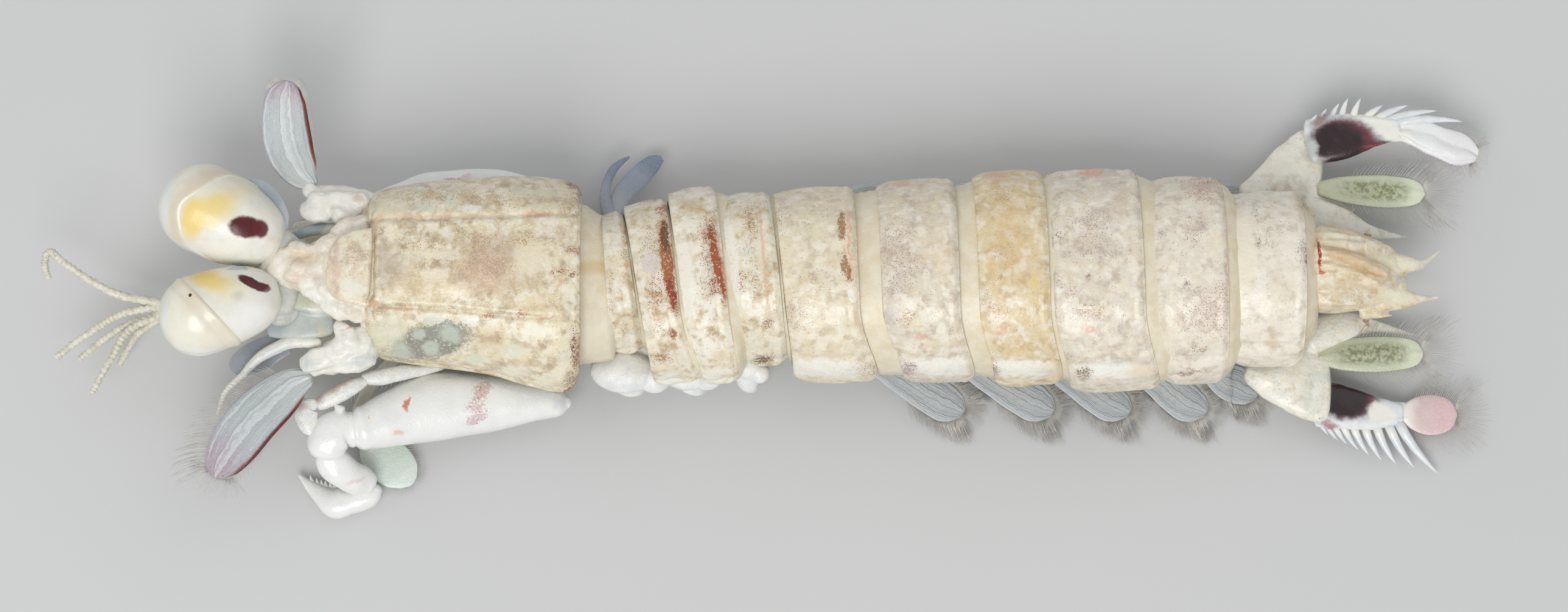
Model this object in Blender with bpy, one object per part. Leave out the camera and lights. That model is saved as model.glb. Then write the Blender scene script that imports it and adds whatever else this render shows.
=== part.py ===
"""A mantis shrimp lying on its belly, 60 mm from rostral plate to telson, as closed solids.

Places are in millimetres. A station runs back from the front edge of the rostral plate, so the
head reaches forward of 0 and the telson ends at 60. Across is measured as it looks from a little
off overhead, to the animal's right where it is positive, and height is above the floor.
"""

import math

import bmesh
import bpy
from mathutils import Vector

MM = 0.001
MIDDLE_STATION = 23.2
MIDDLE_ACROSS = -1.2

# The line of sight leans this far off the vertical, towards the left side. A place at the level
# of the side plates is seen at its true distance from the midline.
LEAN = math.radians(13)
LEVEL = 4.5

GAP = 0.22
FEELER = 0.26
LEAF = 0.27

# The back of each somite: an arc of facets, a little squarer than an ellipse.
BACK_FACETS = 10
BACK_POWER = 2 / 2.4
PLEURON_WALL = 0.55

# The soft joints in front of and behind each plate lie this far below it. The step down from the
# plate's hind edge is this long, and a plate that nearly meets the next one has no joint behind it.
FRONT_TUCK, JOINT_TUCK, CLOSED_TUCK = 0.40, 0.50, 0.30
PLATE_STEP = 0.15
FRONT_STEP, NECK_STEP = 0.35, 1.3
SHORTEST_JOINT = 0.3

# A spine or tooth narrows to this share of its root.
TOOTH_POINT = 0.18

# Seams run straight over the back, then turn aft down the left side plates.
TRUNK_MIDDLE = -0.4
TURNS_AFT_FROM, TURNS_AFT_OVER = -2.8, 2.9
SHARP = math.radians(35)

LEFT, RIGHT = -1, 1
SIDE_NAMES = {LEFT: "left", RIGHT: "right"}

# Seams between the rings of the trunk: station at the midline, how far a millimetre to the left
# moves the seam back, and how far the left side plate is drawn back past that.
SEAMS = (
    (13.35, 0.00, 0.0),
    (16.10, 0.15, 0.1),
    (18.45, 0.12, 0.6),
    (21.10, 0.10, 0.2),
    (24.00, 0.10, 0.1),
    (29.30, 0.03, 1.2),
    (34.50, 0.03, 0.8),
    (38.50, 0.03, 0.7),
    (43.90, 0.03, 0.7),
    (48.05, 0.02, 0.1),
    (53.00, 0.00, 0.0),
)

# Each ring of the trunk: name, hind edge of its plate, right and left sides, and top of its back.
SOMITES = (
    ("thoracic_somite_5", 16.00, 3.5, -4.3, 8.0),
    ("thoracic_somite_6", 18.25, 4.2, -5.5, 8.4),
    ("thoracic_somite_7", 20.80, 4.9, -6.0, 8.6),
    ("thoracic_somite_8", 23.70, 4.6, -4.9, 8.5),
    ("abdominal_somite_1", 27.80, 4.9, -5.7, 8.8),
    ("abdominal_somite_2", 33.00, 5.3, -5.7, 9.0),
    ("abdominal_somite_3", 38.05, 5.8, -5.9, 9.1),
    ("abdominal_somite_4", 43.00, 5.9, -6.2, 9.0),
    ("abdominal_somite_5", 47.90, 5.5, -5.8, 8.7),
    ("abdominal_somite_6", 52.30, 4.7, -4.8, 7.9),
)
THORAX_LOW, THORAX_BELLY = 3.3, 3.9
ABDOMEN_LOW, ABDOMEN_BELLY = 2.8, 3.6

# Colours in linear light, with roughness.
SHELL = ((0.66, 0.54, 0.42), 0.42)
BANDED = ((0.55, 0.38, 0.27), 0.42)
FLESH = ((0.70, 0.64, 0.55), 0.38)
IVORY = ((0.82, 0.80, 0.76), 0.30)
EYE = ((0.80, 0.72, 0.56), 0.15)
CLEAR = ((0.42, 0.47, 0.48), 0.25)
SCALE = ((0.38, 0.34, 0.38), 0.35)
MAROON = ((0.22, 0.08, 0.08), 0.30)
PADDLE = ((0.78, 0.48, 0.46), 0.35)
GREEN = ((0.48, 0.50, 0.38), 0.35)


def clear_scene():
    for item in list(bpy.data.objects):
        bpy.data.objects.remove(item, do_unlink=True)


def at(station, across, height):
    """The point at a station, seen that far across the leaning line of sight, at a height."""
    true_across = (across - (height - LEVEL) * math.sin(LEAN)) / math.cos(LEAN)
    return Vector((station - MIDDLE_STATION, true_across - MIDDLE_ACROSS, height))


def loft(rings, fan_ends=False):
    """A closed mesh through rings with the same number of points, each ring extruded to the next.

    With fan_ends, both ends are fans about their middles, so that two ends that face each other
    keep their distance where they aren't flat.
    """
    bm = bmesh.new()
    face = bm.faces.new([bm.verts.new(point) for point in rings[0]])
    for ring in rings[1:]:
        face = bmesh.ops.extrude_discrete_faces(bm, faces=[face])["faces"][0]
        for vert, point in zip(face.verts, ring):
            vert.co = point
    open_edges = [edge for edge in bm.edges if edge.is_boundary]
    filled = bmesh.ops.holes_fill(bm, edges=open_edges, sides=0)["faces"]
    if fan_ends:
        bmesh.ops.poke(bm, faces=[face, *filled])
    return bm


def grow(bm, spines):
    """Draw the face nearest each root out to its tip: spines and teeth, one with what bears them."""
    faces = list(bm.faces)
    chosen = []
    for root, _ in spines:
        nearest = min(faces, key=lambda f: (f.calc_center_median() - root).length)
        faces.remove(nearest)
        chosen.append(nearest)
    for nearest, (_, tip) in zip(chosen, spines):
        face = bmesh.ops.extrude_discrete_faces(bm, faces=[nearest])["faces"][0]
        middle = face.calc_center_median()
        for vert in face.verts:
            vert.co = tip + (vert.co - middle) * TOOTH_POINT


def between(values, fraction):
    """A smooth curve through rows of numbers, at a fraction of its length from the first row."""
    last = len(values) - 1
    place = fraction * last
    index = min(int(place), last - 1)
    t = place - index
    rows = [values[min(max(index + step, 0), last)] for step in (-1, 0, 1, 2)]
    return [
        0.5 * (2 * b + (c - a) * t + (2 * a - 5 * b + 4 * c - d) * t * t + (3 * b - a - 3 * c + d) * t**3)
        for a, b, c, d in zip(*rows)
    ]


def limb(stops, sides=8, bands=0, up=(0, 0, 1)):
    """A rounded limb through stops of station, across, height, half width and half height."""
    if bands:
        stops = [between(stops, step / bands) for step in range(bands + 1)]
    centres = [at(*stop[:3]) for stop in stops]
    rings = []
    for index, (centre, stop) in enumerate(zip(centres, stops)):
        ahead = centres[min(index + 1, len(stops) - 1)]
        behind = centres[max(index - 1, 0)]
        along = (ahead - behind).normalized()
        side = along.cross(Vector(up)).normalized()
        rise = side.cross(along)
        turns = [math.tau * (k + 0.5) / sides for k in range(sides)]
        rings.append(
            [centre + side * math.cos(a) * stop[3] + rise * math.sin(a) * stop[4] for a in turns]
        )
    return loft(rings)


def turned(base, axis, profile, sides=12):
    """A round shape about an axis, from pairs of distance along it and radius."""
    axis = axis.normalized()
    side = axis.orthogonal().normalized()
    rise = axis.cross(side)
    rings = []
    for distance, radius in profile:
        centre = base + axis * distance
        turns = [math.tau * k / sides for k in range(sides)]
        rings.append([centre + (side * math.cos(a) + rise * math.sin(a)) * radius for a in turns])
    return loft(rings)


def keep_one_side(bm, point, normal):
    """Cut a closed mesh with a plane, keep what lies on the normal's side, and close the cut."""
    everything = bm.verts[:] + bm.edges[:] + bm.faces[:]
    bmesh.ops.bisect_plane(bm, geom=everything, plane_co=point, plane_no=normal, clear_inner=True)
    cut = [edge for edge in bm.edges if edge.is_boundary]
    bmesh.ops.holes_fill(bm, edges=cut, sides=0)


def hoop(station, right, left, top, low, belly, skew=0.0, sweep=0.0):
    """The outline of a trunk ring: domed back, side plates hanging past the belly."""
    half, middle = (right - left) / 2, (right + left) / 2
    outline = []
    for step in range(BACK_FACETS + 1):
        turn = math.pi * step / BACK_FACETS
        out, rise = math.cos(turn), max(math.sin(turn), 0.0)
        y = middle + half * math.copysign(abs(out) ** BACK_POWER, out)
        outline.append((y, low + (top - low) * rise**BACK_POWER))
    outline += [
        (left + PLEURON_WALL, low + 0.1),
        (left + 2 * PLEURON_WALL, belly),
        (middle, belly - 0.1),
        (right - 2 * PLEURON_WALL, belly),
        (right - PLEURON_WALL, low + 0.1),
    ]
    points = []
    for y, z in outline:
        aside = max(0.0, (TURNS_AFT_FROM - y) / TURNS_AFT_OVER)
        back = skew * (TRUNK_MIDDLE - y) + sweep * aside * aside
        points.append(Vector((station + back - MIDDLE_STATION, y - MIDDLE_ACROSS, z)))
    return points


def material(name, finish):
    colour, roughness = finish
    made = bpy.data.materials.new(name)
    made.use_nodes = True
    shader = made.node_tree.nodes["Principled BSDF"]
    shader.inputs["Base Color"].default_value = (*colour, 1)
    shader.inputs["Roughness"].default_value = roughness
    shader.inputs["Metallic"].default_value = 0
    made.diffuse_color = (*colour, 1)
    return made


def solid(name, bm, finish):
    """One named object from a mesh in millimetres, with whatever would dip below the floor laid flat."""
    for vert in bm.verts:
        vert.co.z = max(vert.co.z, 0.0)
    bmesh.ops.recalc_face_normals(bm, faces=bm.faces[:])
    bmesh.ops.scale(bm, vec=(MM, MM, MM), verts=bm.verts[:])
    mesh = bpy.data.meshes.new(name)
    bm.to_mesh(mesh)
    bm.free()
    mesh.shade_smooth()
    mesh.set_sharp_from_angle(angle=SHARP)
    made = bpy.data.objects.new(name, mesh)
    mesh.materials.append(material(name, finish))
    bpy.context.scene.collection.objects.link(made)
    return made


def join(body, *branches):
    """Union branches that start inside a body to it, so that they are one solid."""
    for branch in branches:
        branch.hide_render = True
        branch.display_type = "WIRE"
        union = body.modifiers.new(branch.name, "BOOLEAN")
        union.operation = "UNION"
        union.solver = "EXACT"
        union.object = branch


# The trunk


def build_carapace():
    """The shield over the head and the front of the thorax, widest near its hind corners."""
    low, belly = 4.0, 4.5
    rows = (
        (1.95, 4.0, -4.2, 8.4),
        (2.5, 4.6, -4.7, 8.8),
        (4.9, 5.0, -5.05, 9.1),
        (8.2, 5.2, -5.5, 9.3),
        (10.8, 5.3, -6.2, 9.3),
        (12.1, 5.15, -6.5, 9.2),
        (12.9, 4.9, -6.25, 9.1),
        (13.25, 4.4, -5.7, 8.9),
    )
    rings = [hoop(station, right, left, top, low, belly) for station, right, left, top in rows]
    solid("carapace", loft(rings), SHELL)


def build_rostral_plate():
    """The small hinged plate in front of the carapace, over the base of the eyes."""
    rows = ((0.0, 0.1, 8.2, 0.9), (0.4, 0.12, 8.25, 1.5), (1.2, 0.12, 8.35, 1.9), (1.85, 0.12, 8.4, 2.0))
    stops = [(station, across, height, half, LEAF) for station, across, height, half in rows]
    solid("rostral_plate", limb(stops, sides=12), SHELL)


def build_head_front():
    """The front of the head, which bears the eyes and both pairs of antennae."""
    stops = (
        (-3.7, 0.30, 6.7, 0.70, 0.45),
        (-3.2, 0.30, 6.6, 1.05, 0.80),
        (-1.8, 0.20, 6.4, 1.25, 1.25),
        (-0.4, 0.10, 6.3, 1.50, 1.50),
        (0.8, 0.05, 6.3, 2.10, 1.60),
        (1.70, 0.00, 6.3, 2.60, 1.65),
    )
    solid("head_front", limb(stops, sides=12), FLESH)


def build_thorax_underside():
    """The flesh below the carapace, between the claws, from the mouth back."""
    stops = (
        (2.2, -0.5, 3.75, 1.4, 0.45),
        (3.2, -0.6, 3.60, 2.1, 0.65),
        (6.0, -0.6, 3.55, 2.5, 0.75),
        (10.0, -0.7, 3.55, 2.6, 0.75),
        (12.6, -0.7, 3.60, 2.4, 0.70),
        (13.2, -0.7, 3.70, 2.0, 0.50),
    )
    solid("thorax_underside", limb(stops, sides=12), FLESH)


def build_somites():
    """The ten free rings of thorax and abdomen, each a plate with the soft joint behind it."""
    for index, (name, plate_end, right, left, top) in enumerate(SOMITES):
        front, rear = SEAMS[index], SEAMS[index + 1]
        thorax = name.startswith("thoracic")
        low, belly = (THORAX_LOW, THORAX_BELLY) if thorax else (ABDOMEN_LOW, ABDOMEN_BELLY)
        start, end = front[0] + GAP / 2, rear[0] - GAP / 2
        plate_start = start + (NECK_STEP if index == 0 else FRONT_STEP)
        rows = [(start, FRONT_TUCK), (plate_start, 0.0)]
        if end - plate_end > SHORTEST_JOINT:
            rows += [(plate_end, 0.0), (plate_end + PLATE_STEP, JOINT_TUCK), (end, JOINT_TUCK)]
        else:
            rows += [(end - PLATE_STEP, 0.0), (end, CLOSED_TUCK)]
        rings = []
        for station, tuck in rows:
            share = (station - front[0]) / (rear[0] - front[0])
            skew = front[1] + (rear[1] - front[1]) * share
            sweep = front[2] + (rear[2] - front[2]) * share
            edge = low + 0.5 * tuck
            rings.append(hoop(station, right - tuck, left + tuck, top - tuck, edge, belly, skew, sweep))
        solid(name, loft(rings, fan_ends=True), BANDED if thorax else SHELL)


def build_telson():
    """The tail plate: a keeled dome with three pairs of marginal teeth, the middle pair longest."""
    rows = (
        (53.10, 0.25, 5.3, 2.35, 1.25),
        (53.50, 0.25, 5.3, 2.55, 1.40),
        (54.60, 0.20, 5.1, 2.55, 1.35),
        (55.60, 0.10, 4.8, 2.30, 1.20),
        (56.20, 0.05, 4.65, 2.15, 1.05),
        (57.00, 0.00, 4.5, 1.85, 0.85),
        (57.50, 0.00, 4.4, 1.65, 0.70),
        (58.00, 0.00, 4.35, 1.35, 0.55),
    )
    bm = limb(rows, sides=12)
    teeth = []
    for side in (LEFT, RIGHT):
        teeth += [
            (at(55.9, side * 2.25, 4.7), at(56.7, side * 2.4, 4.2)),
            (at(57.25, side * 1.8, 4.45), at(58.2, side * 1.95, 4.1)),
        ]
    end = min(bm.faces, key=lambda f: (f.calc_center_median() - at(*rows[-1][:3])).length)
    centre = end.calc_center_median()
    upper = max(end.verts, key=lambda v: v.co.z - abs(v.co.y - centre.y))
    lower = min(end.verts, key=lambda v: v.co.z + abs(v.co.y - centre.y))
    other_half, _ = bmesh.utils.face_split(end, upper, lower)
    grow(bm, teeth)
    tips = {RIGHT: at(60.0, 1.25, 4.1), LEFT: at(60.0, -1.3, 4.1)}
    for half in (end, other_half):
        tip = tips[RIGHT if half.calc_center_median().y > centre.y else LEFT]
        tooth = bmesh.ops.extrude_discrete_faces(bm, faces=[half])["faces"][0]
        middle = tooth.calc_center_median()
        for vert in tooth.verts:
            vert.co = tip + (vert.co - middle) * TOOTH_POINT
    solid("telson", bm, SHELL)


# The head's limbs


def build_eyes():
    """Each eye is a round stalk that swells into a globe, parted where its cornea begins.

    The right cornea looks out and down, so that from above it is a crescent round the end of the
    eye. The left one looks forward and out.
    """
    eyes = {
        RIGHT: (at(-3.1, 1.7, 7.0), at(-7.0, 3.5, 7.4), 2.40, Vector((-0.68, 0.45, -0.58)), -0.44),
        LEFT: (at(-3.2, -1.0, 7.0), at(-7.05, -2.2, 7.3), 2.20, Vector((-0.75, -0.66, -0.05)), 0.0),
    }
    root, neck, swell = (0.1, 0.5), (0.5, 0.9), (1.2, 1.45)
    joins_at, pole = math.radians(-40), math.radians(85)
    globe_bands = 8
    for side, (base, centre, radius, gaze, offset) in eyes.items():
        axis = centre - base
        profile = [root, neck, swell]
        for step in range(globe_bands + 1):
            turn = joins_at + (pole - joins_at) * step / globe_bands
            profile.append((axis.length + radius * math.sin(turn), radius * math.cos(turn)))
        gaze.normalize()
        for name, finish, way in (("eyestalk", IVORY, -1), ("cornea", EYE, 1)):
            bm = turned(base, axis, profile)
            keep_one_side(bm, centre + gaze * (offset + way * GAP / 2), gaze * way)
            solid(f"{name}_{SIDE_NAMES[side]}", bm, finish)


def build_antennules():
    """Each antennule: a jointed peduncle under the head and three fine flagella from its end."""
    peduncles = {
        RIGHT: ((-1.0, 0.5, 4.2), (-3.5, 0.4, 4.3), (-7.0, -0.9, 4.2), (-9.6, -1.75, 4.2)),
        LEFT: ((-1.0, -0.7, 4.1), (-3.5, -1.0, 3.9), (-7.0, -1.8, 3.6), (-9.8, -2.25, 3.5)),
    }
    flagella = {
        RIGHT: (
            ((-9.2, -1.6, 4.2), (-11.6, -1.2, 4.6), (-13.3, -0.4, 4.8), (-14.8, 0.6, 4.8),
             (-15.6, 1.2, 4.7), (-15.9, 0.6, 4.5), (-15.7, -0.2, 4.3)),
            ((-9.2, -1.7, 4.2), (-11.6, -2.15, 4.0), (-13.3, -3.1, 3.8), (-15.2, -4.5, 3.5)),
        ),
        LEFT: (
            ((-9.4, -2.2, 3.5), (-11.4, -2.75, 3.1), (-12.7, -3.5, 2.7), (-14.1, -4.6, 2.3)),
            ((-9.4, -2.2, 3.5), (-11.3, -3.0, 3.3), (-12.3, -4.6, 3.2), (-13.3, -6.4, 3.0)),
            ((-9.4, -2.3, 3.5), (-10.8, -3.1, 2.7), (-11.5, -4.0, 1.9), (-12.1, -4.9, 1.2)),
        ),
    }
    for side, peduncle in peduncles.items():
        name = f"antennule_{SIDE_NAMES[side]}"
        sizes = (0.42, 0.45, 0.42, 0.38)
        body = solid(name, limb([(*p, r, r) for p, r in zip(peduncle, sizes)], bands=4), CLEAR)
        branches = []
        for number, path in enumerate(flagella[side]):
            stops = [(*point, FEELER, FEELER) for point in path]
            branches.append(solid(f"{name}_flagellum_{number}", limb(stops, sides=6, bands=6), FLESH))
        join(body, *branches)


def build_antennae():
    """Each antenna: a stout peduncle beside the rostral plate and one slender flagellum."""
    peduncles = {
        LEFT: ((1.75, -4.00, 5.3, 0.75, 0.70), (0.9, -4.30, 5.3, 0.90, 0.85),
               (-0.3, -4.60, 5.3, 0.85, 0.75), (-1.2, -4.95, 5.3, 0.60, 0.50)),
        RIGHT: ((1.75, 3.60, 5.3, 0.75, 0.70), (0.9, 3.75, 5.3, 0.90, 0.85),
                (-0.4, 4.00, 5.3, 0.85, 0.75), (-1.3, 4.20, 5.4, 0.60, 0.50)),
    }
    flagella = {
        LEFT: ((-0.6, -4.4, 5.1), (-1.6, -3.9, 4.9), (-2.6, -3.7, 4.8), (-3.7, -4.1, 4.6),
               (-5.0, -5.3, 4.4), (-6.3, -6.4, 4.2), (-6.4, -7.7, 4.0)),
        RIGHT: ((-0.6, 3.6, 5.1), (-1.6, 3.1, 4.9), (-2.6, 2.8, 4.7), (-4.0, 2.6, 4.4),
                (-6.0, 2.9, 4.2), (-7.6, 3.6, 4.1)),
    }
    for side, peduncle in peduncles.items():
        name = f"antenna_{SIDE_NAMES[side]}"
        body = solid(name, limb(peduncle, bands=5), FLESH)
        stops = [(*point, FEELER, FEELER) for point in flagella[side]]
        join(body, solid(f"{name}_flagellum", limb(stops, sides=6, bands=8), CLEAR))


def build_antennal_scales():
    """The oval blade on the outer side of each antenna."""
    paths = {
        RIGHT: (
            (-1.35, 4.95, 5.6, 0.50, 0.3), (-2.0, 5.4, 5.8, 1.10, LEAF), (-2.6, 6.6, 6.3, 1.38, LEAF),
            (-2.8, 8.0, 6.9, 1.32, LEAF), (-2.75, 9.3, 7.5, 1.10, LEAF), (-2.65, 10.0, 7.8, 0.75, 0.2),
            (-2.6, 10.35, 7.9, 0.35, 0.12),
        ),
        LEFT: (
            (-1.35, -5.65, 5.3, 0.50, 0.3), (-2.1, -5.95, 5.3, 0.95, LEAF), (-3.1, -6.75, 5.3, 1.28, LEAF),
            (-4.3, -7.9, 5.2, 1.42, LEAF), (-5.3, -9.2, 5.0, 1.38, LEAF), (-6.0, -10.3, 4.8, 0.95, 0.2),
            (-6.25, -10.9, 4.7, 0.45, 0.12),
        ),
    }
    for side, stops in paths.items():
        solid(f"antennal_scale_{SIDE_NAMES[side]}", limb(stops, bands=8), SCALE)


# The claws and other mouth limbs


def build_claw_left():
    """The left claw is let down: the merus along the body, the rest bent out to the floor."""
    merus = (
        (12.45, -7.00, 2.2, 0.35, 0.35), (12.0, -7.00, 2.2, 0.75, 0.70), (10.6, -6.95, 2.3, 1.15, 1.05),
        (8.2, -7.00, 2.4, 1.60, 1.40), (5.2, -7.25, 2.7, 1.85, 1.50), (3.2, -7.80, 3.1, 1.55, 1.35),
        (1.7, -8.30, 3.5, 1.20, 1.10), (0.95, -8.45, 3.7, 0.95, 0.85),
    )
    body = solid("claw_left_merus", limb(merus, sides=10), IVORY)
    hip = ((11.6, -6.6, 2.2, 0.5, 0.5), (11.4, -5.0, 2.1, 0.55, 0.5), (11.2, -3.3, 2.4, 0.45, 0.4))
    join(body, solid("claw_left_hip", limb(hip), IVORY))

    carpus = (
        (0.80, -8.35, 3.75, 0.75, 0.7), (0.2, -8.40, 3.8, 1.05, 0.85),
        (-0.35, -8.95, 3.8, 1.15, 0.85), (-0.45, -9.55, 3.7, 1.00, 0.70),
    )
    solid("claw_left_carpus", limb(carpus, sides=10), IVORY)

    propodus = (
        (-0.35, -9.95, 3.2, 0.85, 0.65), (-0.1, -10.4, 2.9, 1.00, 0.75), (0.4, -10.95, 2.4, 0.95, 0.75),
        (1.1, -11.3, 1.85, 0.90, 0.65), (1.5, -11.45, 1.6, 0.70, 0.50),
    )
    solid("claw_left_propodus", limb(propodus, sides=10), IVORY)

    dactylus = (
        (2.1, -11.75, 0.85, 0.35, 0.35), (1.65, -12.1, 0.75, 0.60, 0.6), (0.7, -12.4, 0.65, 0.68, 0.65),
        (-0.1, -12.5, 0.65, 0.85, 0.65), (-0.75, -12.2, 0.6, 0.60, 0.5), (-1.4, -11.75, 0.5, 0.38, 0.35),
        (-2.2, -11.0, 0.4, 0.1, 0.1),
    )
    bm = limb(dactylus, bands=12)
    grow(bm, [(at(-1.35 + 0.42 * k, -11.45 - 0.1 * k, 0.7), at(-1.55 + 0.42 * k, -11.15 - 0.1 * k, 0.7))
              for k in range(5)])
    solid("claw_left_dactylus", bm, IVORY)


def build_claw_right():
    """The right claw is folded below the carapace: only the outer side of its merus shows."""
    merus = (
        (12.0, 3.9, 2.7, 0.35, 0.35), (11.5, 3.95, 2.7, 0.80, 0.65), (10.4, 4.1, 2.7, 1.20, 0.95),
        (8.2, 4.25, 2.7, 1.50, 1.15), (5.2, 4.05, 2.7, 1.60, 1.15), (3.4, 3.7, 2.7, 1.35, 1.05),
        (1.8, 3.3, 2.7, 1.05, 0.90), (1.1, 3.2, 2.7, 0.80, 0.70),
    )
    solid("claw_right_merus", limb(merus, sides=10), IVORY)

    carpus = (
        (0.95, 3.1, 2.6, 0.70, 0.65), (0.2, 3.0, 2.4, 0.95, 0.85),
        (-0.3, 2.9, 1.9, 0.90, 0.85), (-0.4, 2.9, 1.2, 0.65, 0.6),
    )
    solid("claw_right_carpus", limb(carpus, sides=10, up=(0.6, 0, 0.8)), IVORY)

    propodus = (
        (0.4, 3.2, 0.85, 0.70, 0.55), (1.2, 3.4, 0.8, 0.90, 0.62), (4.2, 3.7, 0.8, 1.05, 0.65),
        (7.2, 3.6, 0.8, 0.85, 0.62), (8.8, 3.4, 0.8, 0.60, 0.5),
    )
    solid("claw_right_propodus", limb(propodus, sides=10), IVORY)

    dactylus = (
        (9.4, 2.7, 0.7, 0.35, 0.35), (8.9, 2.2, 0.65, 0.60, 0.55), (7.8, 2.0, 0.6, 0.55, 0.5),
        (6.0, 1.9, 0.5, 0.35, 0.35), (4.0, 1.8, 0.4, 0.12, 0.12),
    )
    bm = limb(dactylus, bands=12)
    grow(bm, [(at(7.0 - 0.6 * k, 2.3, 0.5), at(6.8 - 0.6 * k, 2.6, 0.5)) for k in range(5)])
    solid("claw_right_dactylus", bm, IVORY)


def build_maxillipeds():
    """The first maxillipeds are long and thin, the third to fifth end in round paddles."""
    paths = {
        (1, LEFT): (
            (6.4, -4.3, 3.2, 0.27, 0.27), (4.2, -5.1, 3.5, 0.32, 0.30), (1.5, -5.6, 3.9, 0.36, 0.32),
            (-0.3, -6.4, 4.2, 0.40, 0.34), (-1.1, -6.9, 4.3, 0.32, 0.30), (-1.4, -7.4, 4.3, 0.50, 0.3),
            (-1.7, -8.0, 4.2, 0.55, 0.28), (-1.85, -8.5, 4.2, 0.25, 0.2),
        ),
        (1, RIGHT): (
            (5.0, 0.2, 2.4, 0.27, 0.25), (3.2, 0.4, 2.45, 0.30, 0.25), (1.4, 0.8, 2.8, 0.34, 0.30),
            (0.3, 1.2, 3.6, 0.38, 0.32), (-0.6, 1.7, 3.9, 0.32, 0.28), (-1.2, 2.1, 3.8, 0.55, 0.28),
            (-1.9, 2.4, 3.6, 0.55, 0.26), (-2.4, 2.6, 3.5, 0.22, 0.2),
        ),
        (3, LEFT): (
            (9.0, -1.6, 2.4, 0.30, 0.28), (5.6, -2.9, 1.8, 0.34, 0.30), (2.6, -5.0, 1.2, 0.34, 0.30),
            (1.0, -7.4, 0.95, 0.32, 0.28), (1.35, -8.9, 0.85, 0.40, 0.27), (2.0, -9.7, 0.7, 0.95, LEAF),
            (2.9, -10.5, 0.55, 1.05, LEAF), (3.6, -11.0, 0.45, 0.70, 0.24), (3.95, -11.3, 0.4, 0.25, 0.18),
        ),
        (3, RIGHT): (
            (9.0, 0.5, 2.4, 0.30, 0.28), (6.2, 0.9, 1.9, 0.32, 0.30), (3.6, 1.0, 1.5, 0.32, 0.28),
            (2.2, 1.0, 1.2, 0.36, 0.27), (1.2, 0.9, 0.9, 0.75, LEAF), (0.2, 0.8, 0.65, 0.75, LEAF),
            (-0.6, 0.7, 0.5, 0.25, 0.2),
        ),
        (4, LEFT): (
            (10.6, -1.6, 2.4, 0.30, 0.28), (8.4, -2.6, 1.6, 0.32, 0.30), (6.0, -2.3, 0.9, 0.32, 0.28),
            (4.8, -2.2, 0.6, 0.80, LEAF), (3.8, -2.2, 0.45, 0.75, LEAF), (3.0, -2.2, 0.4, 0.25, 0.2),
        ),
        (4, RIGHT): (
            (10.6, 0.2, 2.4, 0.30, 0.28), (8.2, 0.3, 1.5, 0.32, 0.30), (6.4, -0.2, 0.9, 0.32, 0.28),
            (5.2, -0.4, 0.6, 0.75, LEAF), (4.2, -0.4, 0.45, 0.70, LEAF), (3.4, -0.4, 0.4, 0.25, 0.2),
        ),
        (5, LEFT): (
            (12.2, -1.9, 2.4, 0.30, 0.28), (11.6, -3.6, 1.5, 0.32, 0.30), (10.4, -4.2, 0.8, 0.32, 0.28),
            (9.2, -4.0, 0.5, 0.75, LEAF), (8.2, -3.6, 0.42, 0.70, LEAF), (7.4, -3.3, 0.4, 0.25, 0.2),
        ),
        (5, RIGHT): (
            (12.2, 0.2, 2.4, 0.30, 0.28), (11.8, 1.6, 1.5, 0.32, 0.30), (11.4, 1.8, 0.8, 0.32, 0.28),
            (10.8, 1.2, 0.5, 0.70, LEAF), (10.0, 0.6, 0.42, 0.65, LEAF), (9.3, 0.2, 0.4, 0.25, 0.2),
        ),
    }
    for (number, side), stops in paths.items():
        finish = GREEN if (number, side) == (3, LEFT) else FLESH
        solid(f"maxilliped_{number}_{SIDE_NAMES[side]}", limb(stops, sides=6, bands=9), finish)


# The legs, the swimming limbs and the tail fan


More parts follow.
